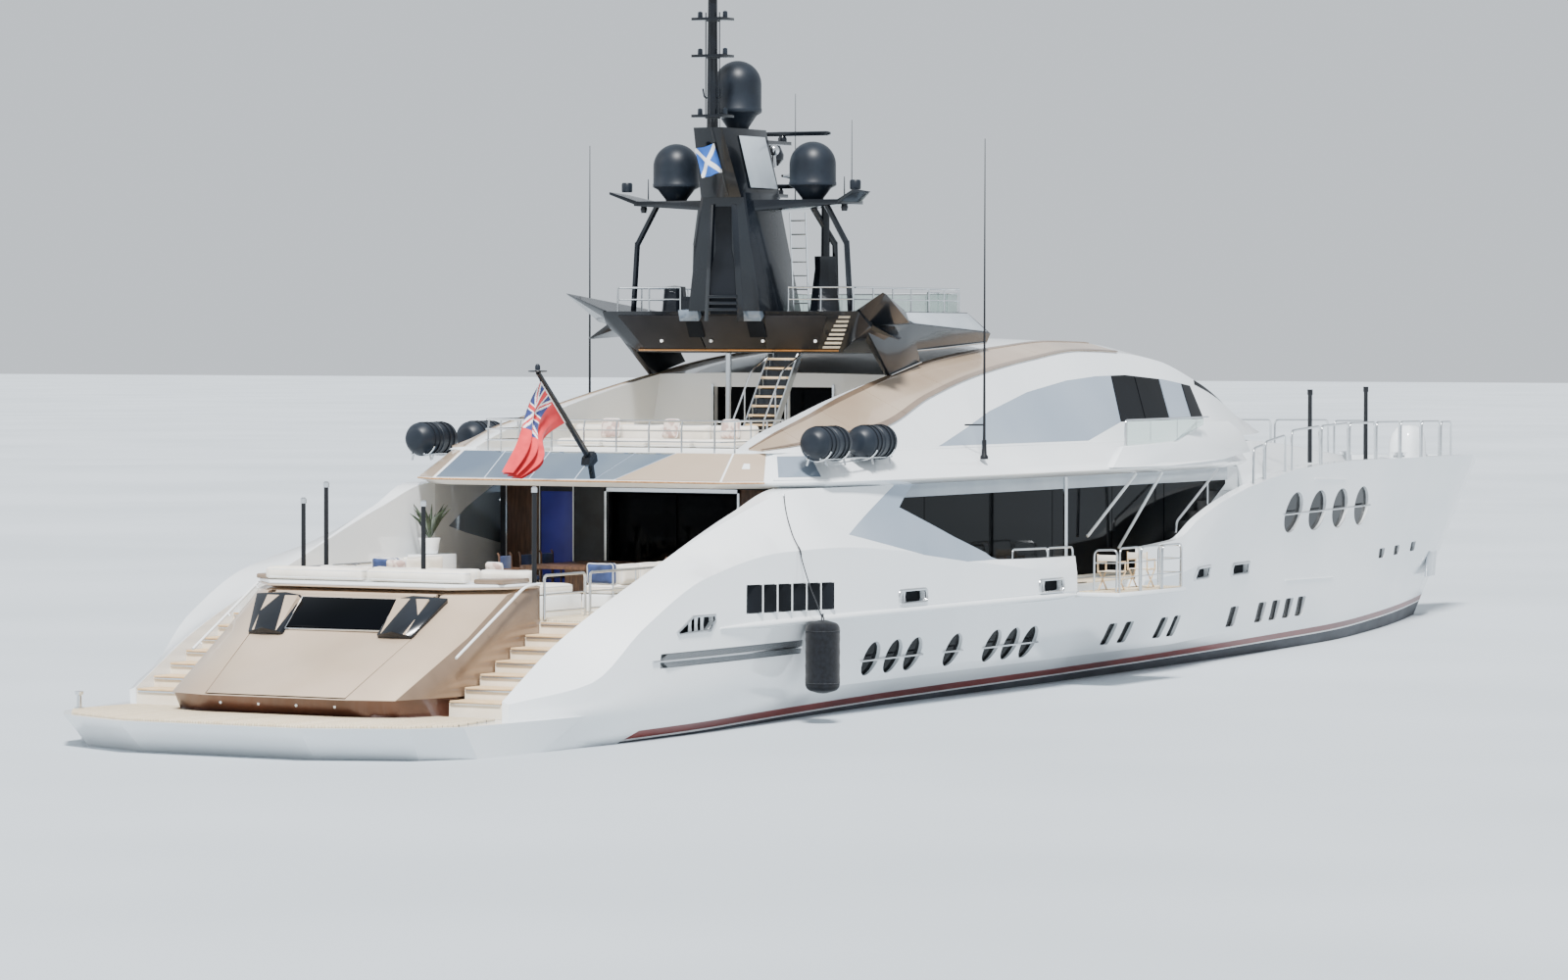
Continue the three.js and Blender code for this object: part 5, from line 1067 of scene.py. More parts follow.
upper = {
    # corners of the faceted aft edge from its middle outwards: foot and head of each, starboard side
    "aftFoot": [(13.34, -3.49, 4.86), (13.93, -4.2, 4.86), (15.4, -5.0, 4.86)],
    "aftHead": [(14.25, -3.3, 5.45), (14.75, -3.8, 5.45), (15.9, -4.3, 5.45)],
    # where the mirrors on it begin and end: y at the foot and y at the head
    "mirrorEnds": [(3.42, 3.22), (2.2, 2.2), (1.1, 1.1), (0.0, 0.0), (-0.45, -1.0), (-0.9, -1.97)],
}
bridge = {
    # x, base y, groove y z, top y z, roof centre z
    "stations": [
        (14.6, 3.85, 3.75, 5.49, 3.45, 5.51, 5.51), (15.6, 4.1, 4.0, 5.58, 3.5, 5.82, 5.84),
        (17.1, 4.35, 4.2, 5.74, 3.4, 6.13, 6.15), (19.0, 4.5, 4.3, 5.93, 3.2, 6.52, 6.55),
        (21.7, 4.58, 4.02, 6.53, 3.0, 6.98, 7.02), (24.5, 4.6, 3.76, 6.99, 2.83, 7.37, 7.42),
        (27.8, 4.6, 3.52, 7.34, 2.68, 7.62, 7.7), (30.6, 4.58, 3.42, 7.54, 2.6, 7.75, 7.85),
        (32.7, 4.5, 3.42, 7.5, 2.6, 7.72, 7.82), (35.0, 4.36, 3.44, 7.3, 2.6, 7.5, 7.6),
        (37.1, 4.1, 3.5, 6.8, 2.5, 7.05, 7.12), (41.0, 3.3, 3.0, 5.82, 2.1, 6.3, 6.42),
        (44.0, 2.2, 2.1, 5.5, 1.2, 5.74, 5.8),
    ],
    "sideWindow": [(21.15, 5.5), (22.88, 5.88), (24.35, 6.22), (26.76, 6.62), (29.13, 6.87), (30.83, 6.96), (32.56, 6.98),
                   (34.8, 6.86), (36.5, 6.7), (36.5, 5.9), (31.0, 5.9), (28.7, 5.5)],
    # where one pane ends and the next begins: x at the sill and x at the head
    "paneEnds": [(20.0, 20.0), (31.0, 31.75), (32.5, 33.1), (34.05, 34.6), (35.55, 36.0), (37.5, 37.5)],
    "paneFinish": ["silverGlass", "darkGlass", "darkGlass", "silverGlass", "darkGlass"],
    "windscreen": [(36.85, 6.72), (37.25, 7.2), (42.9, 6.1), (43.4, 5.85), (40.9, 5.86)],
    "bulkhead": 22.0, "wall": 0.15,
    "bandSeams": [14.6, 15.9, 17.9, 20.2, 22.8, 25.6, 28.6, 31.2, 32.7],
}
bridgeXs = sorted({round(x, 3) for x in [*np.arange(14.6, 44.0, 0.35), *(row[0] for row in bridge["stations"])]})
bridgeRows = smoothColumns(bridge["stations"], bridgeXs)


def bridgeShell(shrink):
    rings = []
    for i, (x, baseY, grooveY, grooveZ, topY, topZ, roofZ) in enumerate(bridgeRows):
        x -= shrink * 2 if i + 1 == len(bridgeRows) else 0
        base = yacht["ledge"] + 0.001 - shrink
        half = [(x, baseY - shrink, base), (x, grooveY - shrink, grooveZ - shrink * 0.6)]
        half += [(x, (topY - shrink) * (1 - t), topZ - shrink + (roofZ - topZ) * (1 - (1 - t) ** 2))
                 for t in (0, 0.3, 0.65)]
        rings.append([(x, 0, base)] + half + [(x, 0, roofZ - shrink)] + [(a, -b, c) for a, b, c in reversed(half)])
    return loftPart(rings)


def bandSpans():
    # the band's sections between each two of its seams, a joint's width short of both
    for x0, x1 in zip(bridge["bandSeams"], bridge["bandSeams"][1:]):
        xs = [x0 + 0.006] + [x for x in bridgeXs if x0 + 0.05 < x < x1 - 0.05] + [x1 - 0.006]
        yield [row[[0, 2, 3, 4, 5]] for row in smoothColumns(bridge["stations"], xs)]


def dressBand():
    rise, down, up = 0.03, Vector((0, 0, -0.006)), Vector((0, 0, 0.014))
    panels, edges = [], []
    for span in bandSpans():
        panels.append(loftPart([[(x, -gy, gz + 0.0013), (x, -ty, tz + 0.0013), (x, -ty, tz + rise),
                                 (x, -gy - rise * 0.6, gz + rise)] for x, gy, gz, ty, tz in span]))
        for near, far in ((-0.01, 0.1), (0.9, 1.0)):
            rings = []
            for x, gy, gz, ty, tz in span:
                low, high = Vector((x, -gy - rise * 0.6, gz + rise)), Vector((x, -ty, tz + rise))
                a, b = low.lerp(high, near), low.lerp(high, far)
                rings.append([a + down, b + down, b + up, a + up])
            edges.append(loftPart(rings))
    newPiece("bronzeBand", bothSides(panels), "champagne", replaces=("bronze_band_starboard", "bronze_band_port"),
             slot="champagne_bronze", sharp=24)
    newPiece("bronzeBandEdges", bothSides(edges), "deepBronzeAndShade", sharp=24)


def dressBridge():
    edge, wall = bridge["bulkhead"], bridge["wall"]
    rooms = carve(bareMesh("rooms", [bridgeShell(wall)]), ("INTERSECT", [boxPart(edge + wall, 43, -6, 6, 5, 9)]))
    shell = carve(bareMesh("bridgeHouse", [bridgeShell(0)], "white"),
                  ("DIFFERENCE", rooms),
                  ("DIFFERENCE", [prismPart("x", [(-3.25, 5), (3.25, 5), (2.62, 8.6), (-2.62, 8.6)], 13, edge)]),
                  ("DIFFERENCE", [boxPart(edge - 1, edge + 1, -1.5, 1.5, yacht["upperDeck"] + 0.04, 6.75)]))
    outline, joint = shrunk(bridge["sideWindow"], 0.9985), 0.025
    for k, key in enumerate(bridge["paneFinish"]):
        (low0, high0), (low1, high1) = bridge["paneEnds"][k:k + 2]
        slope0, slope1 = high0 - low0, high1 - low1
        span = [(low0 + joint - 0.4 * slope0, 5.46), (low1 - joint - 0.4 * slope1, 5.46),
                (high1 - joint + 0.1 * slope1, 7.11), (high0 + joint + 0.1 * slope0, 7.11)]
        pane = carve(twinOf(shell, "bridgePane%d" % k, key),
                     ("INTERSECT", [prismPart("y", outline, -7, -1), prismPart("y", outline, 1, 7)]),
                     ("INTERSECT", [crossPart(span)]))
        placePiece(pane, replaces=("bridge_windows_starboard", "bridge_windows_port") if k == 0 else (), sharp=20)
    screen = carve(twinOf(shell, "bridgeWindscreen", "darkGlass"),
                   ("INTERSECT", [crossPart(shrunk(bridge["windscreen"], 0.998))]),
                   ("DIFFERENCE", [boxPart(36, 44, y - joint, y + joint, 5, 8) for y in (-2.1, -0.75, 0.75, 2.1)]))
    placePiece(screen, replaces=("windscreen",), sharp=20)
    carve(shell, ("DIFFERENCE", [crossPart(bridge["sideWindow"])]), ("DIFFERENCE", [crossPart(bridge["windscreen"])]))
    placePiece(shell, replaces=("bridge_house",), slot="white_paint", sharp=24)
    for door in ("lounge_door_starboard", "lounge_door_port"):
        dressNode(door, "darkGlass", body=door, bevel=0.008)
    frames = [boxPart(edge - 0.05, edge - 0.002, y, y + 0.05, 5.15, 6.8) for y in (-1.55, 1.5)]
    newPiece("loungeFrames", frames, "steel")
    dressBand()


def aftSlab(foot0, foot1, head0, head1):
    # a slab on the raked aft face of the upper deck between two slanted lines of y
    x0, x1 = upper["aftFoot"][0][0], upper["aftHead"][0][0]
    z0, z1 = upper["aftFoot"][0][2], upper["aftHead"][0][2]
    feet, heads = [Vector((x0, y, z0)) for y in (foot0, foot1)], [Vector((x1, y, z1)) for y in (head0, head1)]
    return facetPanel([feet[k].lerp(heads[k], share) for k, share in ((0, 0.05), (1, 0.05), (1, 0.97), (0, 0.97))])


def dressUpperDeck():
    dressNode("upper_deck", "white", bevel=0.016)
    dressNode("upper_deck_teak", "teak", bevel=0.006)
    foot, head, joint = upper["aftFoot"], upper["aftHead"], 0.012
    mirrors = [aftSlab(a - joint, b + joint, c - joint, d + joint)
               for (a, c), (b, d) in zip(upper["mirrorEnds"], upper["mirrorEnds"][1:])]
    corner = facetPanel([foot[0], foot[1], head[1], head[0]], (0.02, 0.98, 0.05, 0.97))
    newPiece("aftMirrors", mirrors, "mirror")
    newPiece("aftBronze", [aftSlab(-0.93, -3.46, -2.0, -3.27), *bothSides([corner])], "champagne")
    facet = [foot[1], foot[2], head[2], head[1]]
    newPiece("skylightGlass", bothSides([facetPanel(facet, (0.2, 0.86, 0.16, 0.86), 0.02, 0.008)]), "greyGloss")
    border = facetPanel(facet, (0.12, 0.94, 0.07, 0.95), 0.003, 0.016)
    newPiece("skylightFrame", bothSides([border]), "white", bevel=0.01)
    lip = foot[1::-1]
    newPiece("aftLip", [tubePart(lip + [(x, -y, z) for x, y, z in reversed(lip)], 0.02, 8)], "oiledTeak")

    # a sofa base and its curved side backs
    dressNode("upper_sofa", "white", bevel=0.03)
    backs = []
    for side in (1, -1):
        curve = smoothOutline([(17.5, side * 2.55), (18.4, side * 2.6), (18.9, side * 2.35), (19.0, side * 1.9)], 6)
        backs.append(loftPart([[(x, y - side * 0.09, 5.16), (x, y, 5.16), (x, y, 5.98), (x, y - side * 0.063, 5.98)]
                               for x, y in curve]))
    newPiece("sofaBacks", backs, "cream", bevel=0.02)


dressUpperDeck()
dressBridge()
print("bridge and upper deck dressed")


roofTop = {
    "aftFace": [(20.4, 2.55, 7.53), (20.4, -2.55, 7.53), (19.95, -3.2, 8.42), (19.95, 3.2, 8.42)],
    "lampYs": (1.85, 0.6, -0.7, -2.0),
    "blockYs": ((1.19, 0.7), (-0.34, -0.85)),
    # side facets of the roof, starboard: aft foot, fore foot, fore head, aft head
    "sideHigh": [(22.3, -3.34, 8.15), (26.7, -3.0, 7.96), (26.0, -2.82, 8.4), (21.6, -3.1, 8.4)],
    "rim": [(20.2, -1.35), (20.2, -2.95), (22.2, -2.88), (24.1, -2.8), (25.8, -2.7)],
    "ladder": {"foot": (18.55, 5.14), "head": (20.36, 7.5), "y": -1.2, "half": 0.38, "steps": 11},
    # profiles of the blocks on the rim and of the grooves under them: x, z
    "block": ((19.88, 8.2), (19.8, 8.44), (20.12, 8.47), (20.12, 8.4)),
    "groove": ((20.22, 7.85), (20.05, 8.2), (20.03, 8.2), (20.2, 7.85)),
    "screen": [(24.2, -2.72), (25.2, -2.66), (26.1, -2.5), (26.9, -1.9), (27.3, -1.1), (27.45, 0.0)],
    # benches: x from and to, y from and to
    "benches": ((22.6, 25.3, -2.3, -1.6), (22.6, 25.3, 1.6, 2.3), (25.3, 26.0, -2.3, 2.3)),
}


def dressHardtop():
    dressNode("hardtop", "midnight", bevel=0.014)
    face = roofTop["aftFace"]
    panels = [facetPanel(face, (a, b, 0.09, 0.9)) for a, b in ((0.05, 0.345), (0.352, 0.635), (0.642, 0.885))]
    newPiece("hardtopFascia", panels, "umber", bevel=0.004)
    newPiece("fasciaStrip", [facetPanel(face, (0.015, 0.985, 0.03, 0.065))], "brass")
    lens = [(0, -0.03), (0.035, -0.03), (0.032, 0.015), (0.0, 0.015)]
    newPiece("fasciaLamps", [lathePart(lens, (20.25, y, 7.77), 16, "x") for y in roofTop["lampYs"]], "lamp", sharp=40)
    slots = [facetPanel(face, (0.905 + 0.004 * k, 0.985 - 0.001 * k, 0.1 + 0.105 * k, 0.155 + 0.105 * k), 0.006, 0.01)
             for k in range(8)]
    newPiece("cornerSlots", slots, "steel")
    blocks, grooves = [], []
    for y0, y1 in roofTop["blockYs"]:
        blocks.append(wedgePart([(x, y, z) for y in (y0, y1) for x, z in roofTop["block"]]))
        grooves.append(wedgePart([(x, y, z) for y in (y0 - 0.06, y1 + 0.04) for x, z in roofTop["groove"]]))
    newPiece("rimBlocks", blocks, "greyGloss", bevel=0.012)
    # the grooves under the blocks are dark slabs of painted shade
    newPiece("rimGrooveShade", grooves, "shade")
    plates = [facetPanel(roofTop["sideHigh"], (0.02, 0.98, 0.04, 0.96), 0.004, 0.02)]
    newPiece("hardtopCheeks", bothSides(plates), "paleGrey", bevel=0.012)
    trim = [tubePart([(22.1, -3.02, 7.52), (24.4, -3.0, 7.62), (26.7, -2.93, 7.74)], 0.02, 8),
            tubePart([(21.75, -3.07, 7.03), (23.2, -3.07, 7.31)], 0.018, 8)]
    newPiece("cheekTrim", bothSides(trim), "steel")
    dressSunDeck()
    dressSunStairs()


def dressSunDeck():
    # rails on the rim, glass wind screens, seats and gear
    top, floor, rim = yacht["hardtopTop"] + 0.001, yacht["sunDeck"] + 0.005, roofTop["rim"]
    tubes = [tubePart(roundedLine([(x, y, top + h) for x, y in rim], 0.1), radius, 10)
             for h, radius in ((0.26, 0.016), (0.52, 0.022))]
    posts = []
    for (x0, y0), (x1, y1) in zip(rim, rim[1:]):
        count = max(1, round(math.hypot(x1 - x0, y1 - y0) / 0.95))
        posts += [(x0 + (x1 - x0) * k / count, y0 + (y1 - y0) * k / count) for k in range(count)]
    for x, y in posts + [rim[-1]]:
        tubes.append(postPart(x, y, top, top + 0.52, 0.02))
        tubes.append(lathePart([(0, top), (0.05, top), (0.05, top + 0.012), (0, top + 0.012)], (x, y, 0), 12))
    newPiece("sunDeckRails", bothSides(tubes), "steel", replaces=("sundeck_rail_starboard", "sundeck_rail_port"))
    panes, screen = [], roofTop["screen"]
    for (x0, y0), (x1, y1) in zip(screen, screen[1:]):
        pane = [(x0, y0), (x1, y1), (x1 - 0.008, y1 + 0.02), (x0 - 0.008, y0 + 0.02)]
        panes.append(prismPart("z", pane, top + 0.01 - 0.03 * (x0 > 26), top + 0.42))
    newPiece("windScreens", bothSides(panes), "clearGlass")
    newPiece("windScreenCaps", bothSides([tubePart([(x, y, top + 0.43) for x, y in screen], 0.018, 8)]), "steel")
    seats = [boxPart(*seat, floor, yacht["sunDeck"] + 0.3) for seat in roofTop["benches"]]
    newPiece("sunDeckBenches", seats, "greyGloss", bevel=0.03)
    grill = [(0, floor), (0.42, floor), (0.36, 8.4), (0.3, 8.9), (0.24, 9.35), (0.25, 9.63), (0, 9.63)]
    gear = [lathePart(grill, (21.44, -1.6, 0), 8),
            lathePart([(0, 9.6), (0.1, 9.6), (0.09, 10.84), (0, 10.84)], (21.44, -1.6, 0), 12),
            lathePart([(0, floor), (0.34, floor), (0.28, 8.6), (0.24, 8.97), (0, 9.0)], (21.0, 1.95, 0), 10),
            boxPart(20.65, 21.05, 1.35, 1.62, floor, 8.75)]
    newPiece("sunDeckGear", gear, "midnight", sharp=25)


def dressSunStairs():
    # stairs from the upper deck: steel sides, navy risers and pale treads
    way = roofTop["ladder"]
    foot, head, y, half = way["foot"], way["head"], way["y"], way["half"]
    sides, treads, risers = [], [], []
    for side in (1, -1):
        y0 = y + side * half
        string = [foot, (foot[0] + 0.22, foot[1]), (head[0] + 0.1, head[1]), (head[0] - 0.12, head[1])]
        sides.append(prismPart("y", string, y0 - side * 0.035, y0))
        hand = [(foot[0] + 0.1, y0, foot[1]), (foot[0] + 0.1, y0, 6.02), (19.5, y0, 7.13), (20.3, y0, 7.46)]
        sides.append(tubePart(roundedLine(hand, 0.15), 0.02, 10))
        sides.append(postPart(19.2, y0, 5.98, 6.76, 0.016))
    for i in range(way["steps"]):
        share = (i + 1) / (way["steps"] + 0.6)
        x, z = (foot[k] + (head[k] - foot[k]) * share for k in (0, 1))
        treads.append(boxPart(x - 0.03, x + 0.2, y - half + 0.04, y + half - 0.04, z - 0.02, z + 0.02))
        risers.append(boxPart(x + 0.15, x + 0.17, y - half + 0.05, y + half - 0.05, z + 0.03, z + 0.17))
    pillar = [(0, 5.145), (0.075, 5.145), (0.066, 5.2), (0.066, 7.5), (0, 7.5)]
    sides += [lathePart(pillar, (20.62, py, 0), 16) for py in (0.37, -1.1)]
    newPiece("sunDeckStairs", sides, "steel", replaces=("sundeck_stairs",))
    newPiece("sunDeckTreads", treads, "tread", bevel=0.006)
    newPiece("sunDeckRisers", risers, "midnight")


signal = {
    "upperArray": (22.4, 12.2), "lowerArray": (22.25, 11.03), "pole": (19.22, 12.3, 15.3),
    "lampZs": (12.68, 13.98, 14.78), "searchlight": (21.55, -0.24), "hornYs": (-0.35, -0.6),
    # aerials on the arms: y and top
    "aerials": ((-0.95, 13.2), (0.95, 13.5), (-2.35, 12.6)),
    # domes: side, x, y, foot, radius, height
    "domes": (("starboard", 20.64, -1.71, 10.851, 0.51, 1.27), ("port", 20.64, 1.71, 10.851, 0.51, 1.27),
              ("centre", 20.35, 0, 12.401, 0.52, 1.5)),
    # a scanner's bar: its section as x and z, and how full it is, by distance from its end and from its middle
    "section": [(-0.06, 0.02), (-0.05, 0.0), (0.05, 0.0), (0.06, 0.02), (0.06, 0.08), (0.03, 0.1), (-0.03, 0.1),
                (-0.06, 0.08)],
    "ends": [(0.0, 0.55), (0.05, 0.92), (0.1, 1.0)], "hub": [(0.14, 1.0), (0.1, 1.04)],
    # its foot above and its drive below the joint: radius, distance
    "foot": [(0, 0.001), (0.1, 0.001), (0.1, 0.07), (0.07, 0.12), (0, 0.12)],
    "drum": [(0, 0.55), (0.13, 0.55), (0.24, 0.42), (0.25, 0.3), (0.24, 0.28), (0.16, 0.1), (0.1, 0.09), (0, 0.09)],
}


def domePart(x, y, z, radius, height):
    body = height - radius
    profile = [(0, 0), (0.45, 0), (0.47, 0.03), (0.8, 0.2), (0.97, 0.235), (1.02, 0.25), (1.02, 0.3), (1.0, 0.31)]
    profile = [(r * radius, h * height if r != 0.0 else 0) for r, h in profile]
    profile.append((radius, body * 0.8))
    profile += [(radius * math.cos(t), body + radius * math.sin(t)) for t in np.linspace(0, math.pi / 2, 14)[:-1]]
    return lathePart([(r, z + h) for r, h in profile + [(0, height)]], (x, y, 0), 44)


def dressMast():
    dressNode("mast", "midnight", bevel=0.014)
    for side, x, y, z, radius, height in signal["domes"]:
        newPiece("radome_%s_dome" % side, [domePart(x, y, z, radius, height)], "slate", replaces=("radome_" + side,),
                 sharp=50)

    # the pylon's recess as a dark sheet of painted shade, its base louvres, and a lighter panel on the raked head that
    # is a painted reflection of the sky in the black gloss
    aft = lambda z, y, out=0.0: (19.75 - 0.05 * (z - 8) / 3 - out, y, z)
    outline = [(8.35, -0.34), (8.35, 0.34), (9.2, 0.34), (9.75, 0.2), (10.7, 0.2), (10.7, -0.2), (9.75, -0.2),
               (9.2, -0.34)]
    # a dark sheet on the aft face that paints the shade inside the recess
    newPiece("pylonRecessShade", [loftPart([[aft(z, y, out) for z, y in outline] for out in (0.002, 0.008)])], "shade")
    ribs = [boxPart(19.66, 19.73, -0.36, 0.36, z, z + 0.07) for z in (8.42, 8.56, 8.7)]
    rib = [(8.2, 0.42, 0.0), (8.2, 0.36, 0.06), (10.75, 0.3, 0.0), (10.75, 0.22, 0.05), (8.2, 0.5, 0.0),
           (10.75, 0.34, 0.0)]
    ribs += [wedgePart([aft(z, s * y, out) for z, y, out in rib]) for s in (1, -1)]
    newPiece("pylonRibs", ribs, "midnight", bevel=0.008)
    # pale grey panels on both sides of the head: a painted reflection of the sky
    cheek = facetPanel([(19.95, -0.505, 11.05), (21.3, -0.505, 11.05), (20.92, -0.36, 12.3), (19.6, -0.37, 12.3)],
                       (0.06, 0.95, 0.05, 0.95), 0.012, 0.02)
    newPiece("mastHeadPaintedReflection", bothSides([cheek]), "paleGrey", bevel=0.01)

    # ladder on the starboard side of the pylon
    inner, outer = -1.12, -1.5
    rungs = [tubePart([(20.9, y, 8.02), (20.7, y, 10.58)], 0.02, 8) for y in (inner, outer)]
    rungs += [tubePart([(20.9 - 0.078 * (z - 8.0), y, z) for y in (inner, outer)], 0.015, 8)
              for z in np.arange(8.3, 10.5, 0.3)]
    newPiece("mastLadder", rungs, "steel")
    dressPole()
    dressScanners()
    dressWhips()


def dressPole():
    # fittings on the pole, its cross plates and the arms
    x, z0, z1 = signal["pole"]
    gear = [postPart(x, 0, z0, z1, [0.125, 0.1], 20)]
    gear += [postPart(x, y, 12.6, 14.9, 0.014, 6) for y in (-0.17, 0.17)]
    lights = []
    for z in signal["lampZs"]:
        lamp = [(0, z), (0.05, z), (0.055, z + 0.02), (0.05, z + 0.13), (0.0, z + 0.15)]
        lights += [lathePart(lamp, (x, y, 0), 14) for y in (-0.31, 0.31)]
        collar = [(0, z - 0.09), (0.16, z - 0.09), (0.17, z - 0.06), (0.16, z - 0.03), (0, z - 0.03)]
        gear.append(lathePart(collar, (x, 0, 0), 20))
    gear.append(lathePart([(0, 15.2), (0.17, 15.2), (0.18, 15.25), (0.1, 15.3), (0, 15.3)], (x, 0, 0), 18))
    gear += [tubePart(roundedLine([(x, 0.02, 13.05), (x, s * 0.2, 13.05), (x, s * 0.24, 13.25)], 0.05), 0.018, 8)
             for s in (1, -1)]
    lamp = [(0, 11.06), (0.11, 11.06), (0.12, 11.09), (0.12, 11.24), (0.1, 11.27), (0, 11.27)]
    boss = [(0, 10.6), (0.06, 10.6), (0.08, 10.68), (0.06, 10.76), (0, 10.76)]
    for y in (-2.86, 2.86):
        lights.append(lathePart(lamp, (20.45, y, 0), 18))
        gear.append(postPart(20.7, y * 0.86, 10.9, 11.35, [0.016, 0.01], 6))
        gear.append(lathePart(boss, (20.6, y * 0.88, 0), 12))
    gear += [postPart(21.25, y, 10.86, top, [0.014, 0.006], 6)
             for y, top in signal["aerials"]]
    newPiece("mastFittings", gear, "midnight", sharp=40)
    newPiece("signalLights", lights, "slate", sharp=40)
    ball = [(0.13 * math.cos(t), 0.13 * math.sin(t)) for t in np.linspace(-1.2, 1.5, 12)]
    ball = [(0.0, -0.13), *ball, (0, 0.13)]
    horn = [(0, 21.75), (0.03, 21.75), (0.05, 22.05), (0.11, 22.25), (0.0, 22.25)]
    search = [lathePart(ball, (*signal["searchlight"], 11.98), 24),
              lathePart([(0, 11.6), (0.07, 11.6), (0.05, 11.88), (0, 11.9)], (*signal["searchlight"], 0), 14)]
    search += [lathePart(horn, (0, y, 11.42), 14, "x") for y in signal["hornYs"]]
    newPiece("searchLight", search, "steel", sharp=40)


def dressScanners():
    for name, place, half in (("upper_radar_array", "upperArray", 1.2), ("lower_radar_array", "lowerArray", 0.75)):
        cx, cz = signal[place]
        ends = [(half - d, size) for d, size in signal["ends"]] + signal["hub"]
        rings = [[(cx + a * size, y, cz + 0.17 + (b - 0.05) * size) for a, b in signal["section"]]
                 for y, size in [(-y, size) for y, size in ends] + ends[::-1]]
        foot = lathePart([(r, cz + h) for r, h in signal["foot"]], (cx, 0, 0), 24)
        newPiece(name + "_bar", [loftPart(rings), foot], "midnight", body=name, replaces=(name,), sharp=40)
        drive = lathePart([(r, cz - h) for r, h in signal["drum"]], (cx - 0.45, 0, 0), 24)
        newPiece(name + "_drive", [drive], "midnight", sharp=35)


def dressWhips():
    x, foot = 22.45, [(0, 5.2), (0.09, 5.2), (0.09, 5.26), (0.06, 5.3), (0.05, 5.62), (0, 5.63)]
    for side, sign in (("starboard", -1), ("port", 1)):
        y = sign * 5.0
        parts = [tubePart([(x, y, z) for z in (5.46, 5.8, 7.0, 9.0, 12.19)], [0.035, 0.032, 0.026, 0.018, 0.008], 12),
                 lathePart(foot, (x, y, 0), 18),
                 tubePart([(x, y, 5.95), (x - 0.35, sign * 4.7, 5.95)], 0.02, 8)]
        newPiece("whip_antenna_%s_rod" % side, parts, "powder", replaces=("whip_antenna_" + side,), sharp=40)


dressHardtop()
dressMast()
print("hardtop and mast dressed")


def hoopPart(x0, x1, y0, y1, z0, z1, height, radius=0.03):
    corners = [(x0, y0, z0), (x0 + 0.01, y0, z0 + height), (x1 - 0.01, y1, z1 + height), (x1, y1, z1)]
    return tubePart(roundedLine(corners, 0.16, 6), radius, 12)


def railTop(x):
    # the flat top of the bulwark, on the starboard side
    tops = [(row[0] + row[1] * row[13], row[12], row[13]) for row in smoothColumns(hull["stations"], stationXs)]
    y, z = (float(np.interp(x, [t[0] for t in tops], [t[k] for t in tops])) for k in (1, 2))
    return -y + 0.12, z + 0.002


rails = {
    # upper deck: half width, x of the aft row, the posts' heads, and height, radius and lean of each row
    "half": 2.85, "aft": 14.42, "head": 6.09, "rows": ((5.67, 0.016, 0.0), (5.9, 0.016, 0.0), (6.1, 0.024, 0.05)),
    "sidePosts": (15.1, 15.8, 16.5, 17.18),
    # bow: where the long hoops meet, and the short ones' ends and heights
    "bowPosts": [40.3, 43.2, 46.2, 49.2, 52.2, 55.1, 57.9],
    "shortHoops": ((37.1, 37.95, 0.85), (38.05, 39.8, 0.9), (58.1, 59.6, 0.95)),
    # side decks: hoops over the gate, the handrail up the steps, and the braces as foot x and z and head x
    "gateHoops": ((22.95, 24.65), (24.75, 25.95)), "braces": ((28.8, 3.3, 30.15), (30.5, 2.97, 31.6)),
    "stepRail": [(32.2, -5.18, 3.3), (32.25, -5.18, 3.55), (34.3, -5.08, 4.45), (34.95, -5.03, 4.72)],
    # bridge wings: the screen's outline, and the rail and posts over it
    "wingPane": [(29.7, 5.37), (32.4, 5.44), (34.0, 5.8), (34.0, 5.95), (29.7, 5.95)], "wingY": -5.07,
    "wingRail": [(29.6, 5.38), (29.62, 5.96), (34.3, 5.98)], "wingPosts": (31.0, 32.5, 33.6),
}


def bowHoop(x0, x1, height):
    # a hoop on the flat top of the starboard bulwark
    (y0, z0), (y1, z1) = railTop(x0), railTop(x1)
    return hoopPart(x0, x1, y0, y1, z0, z1, height)


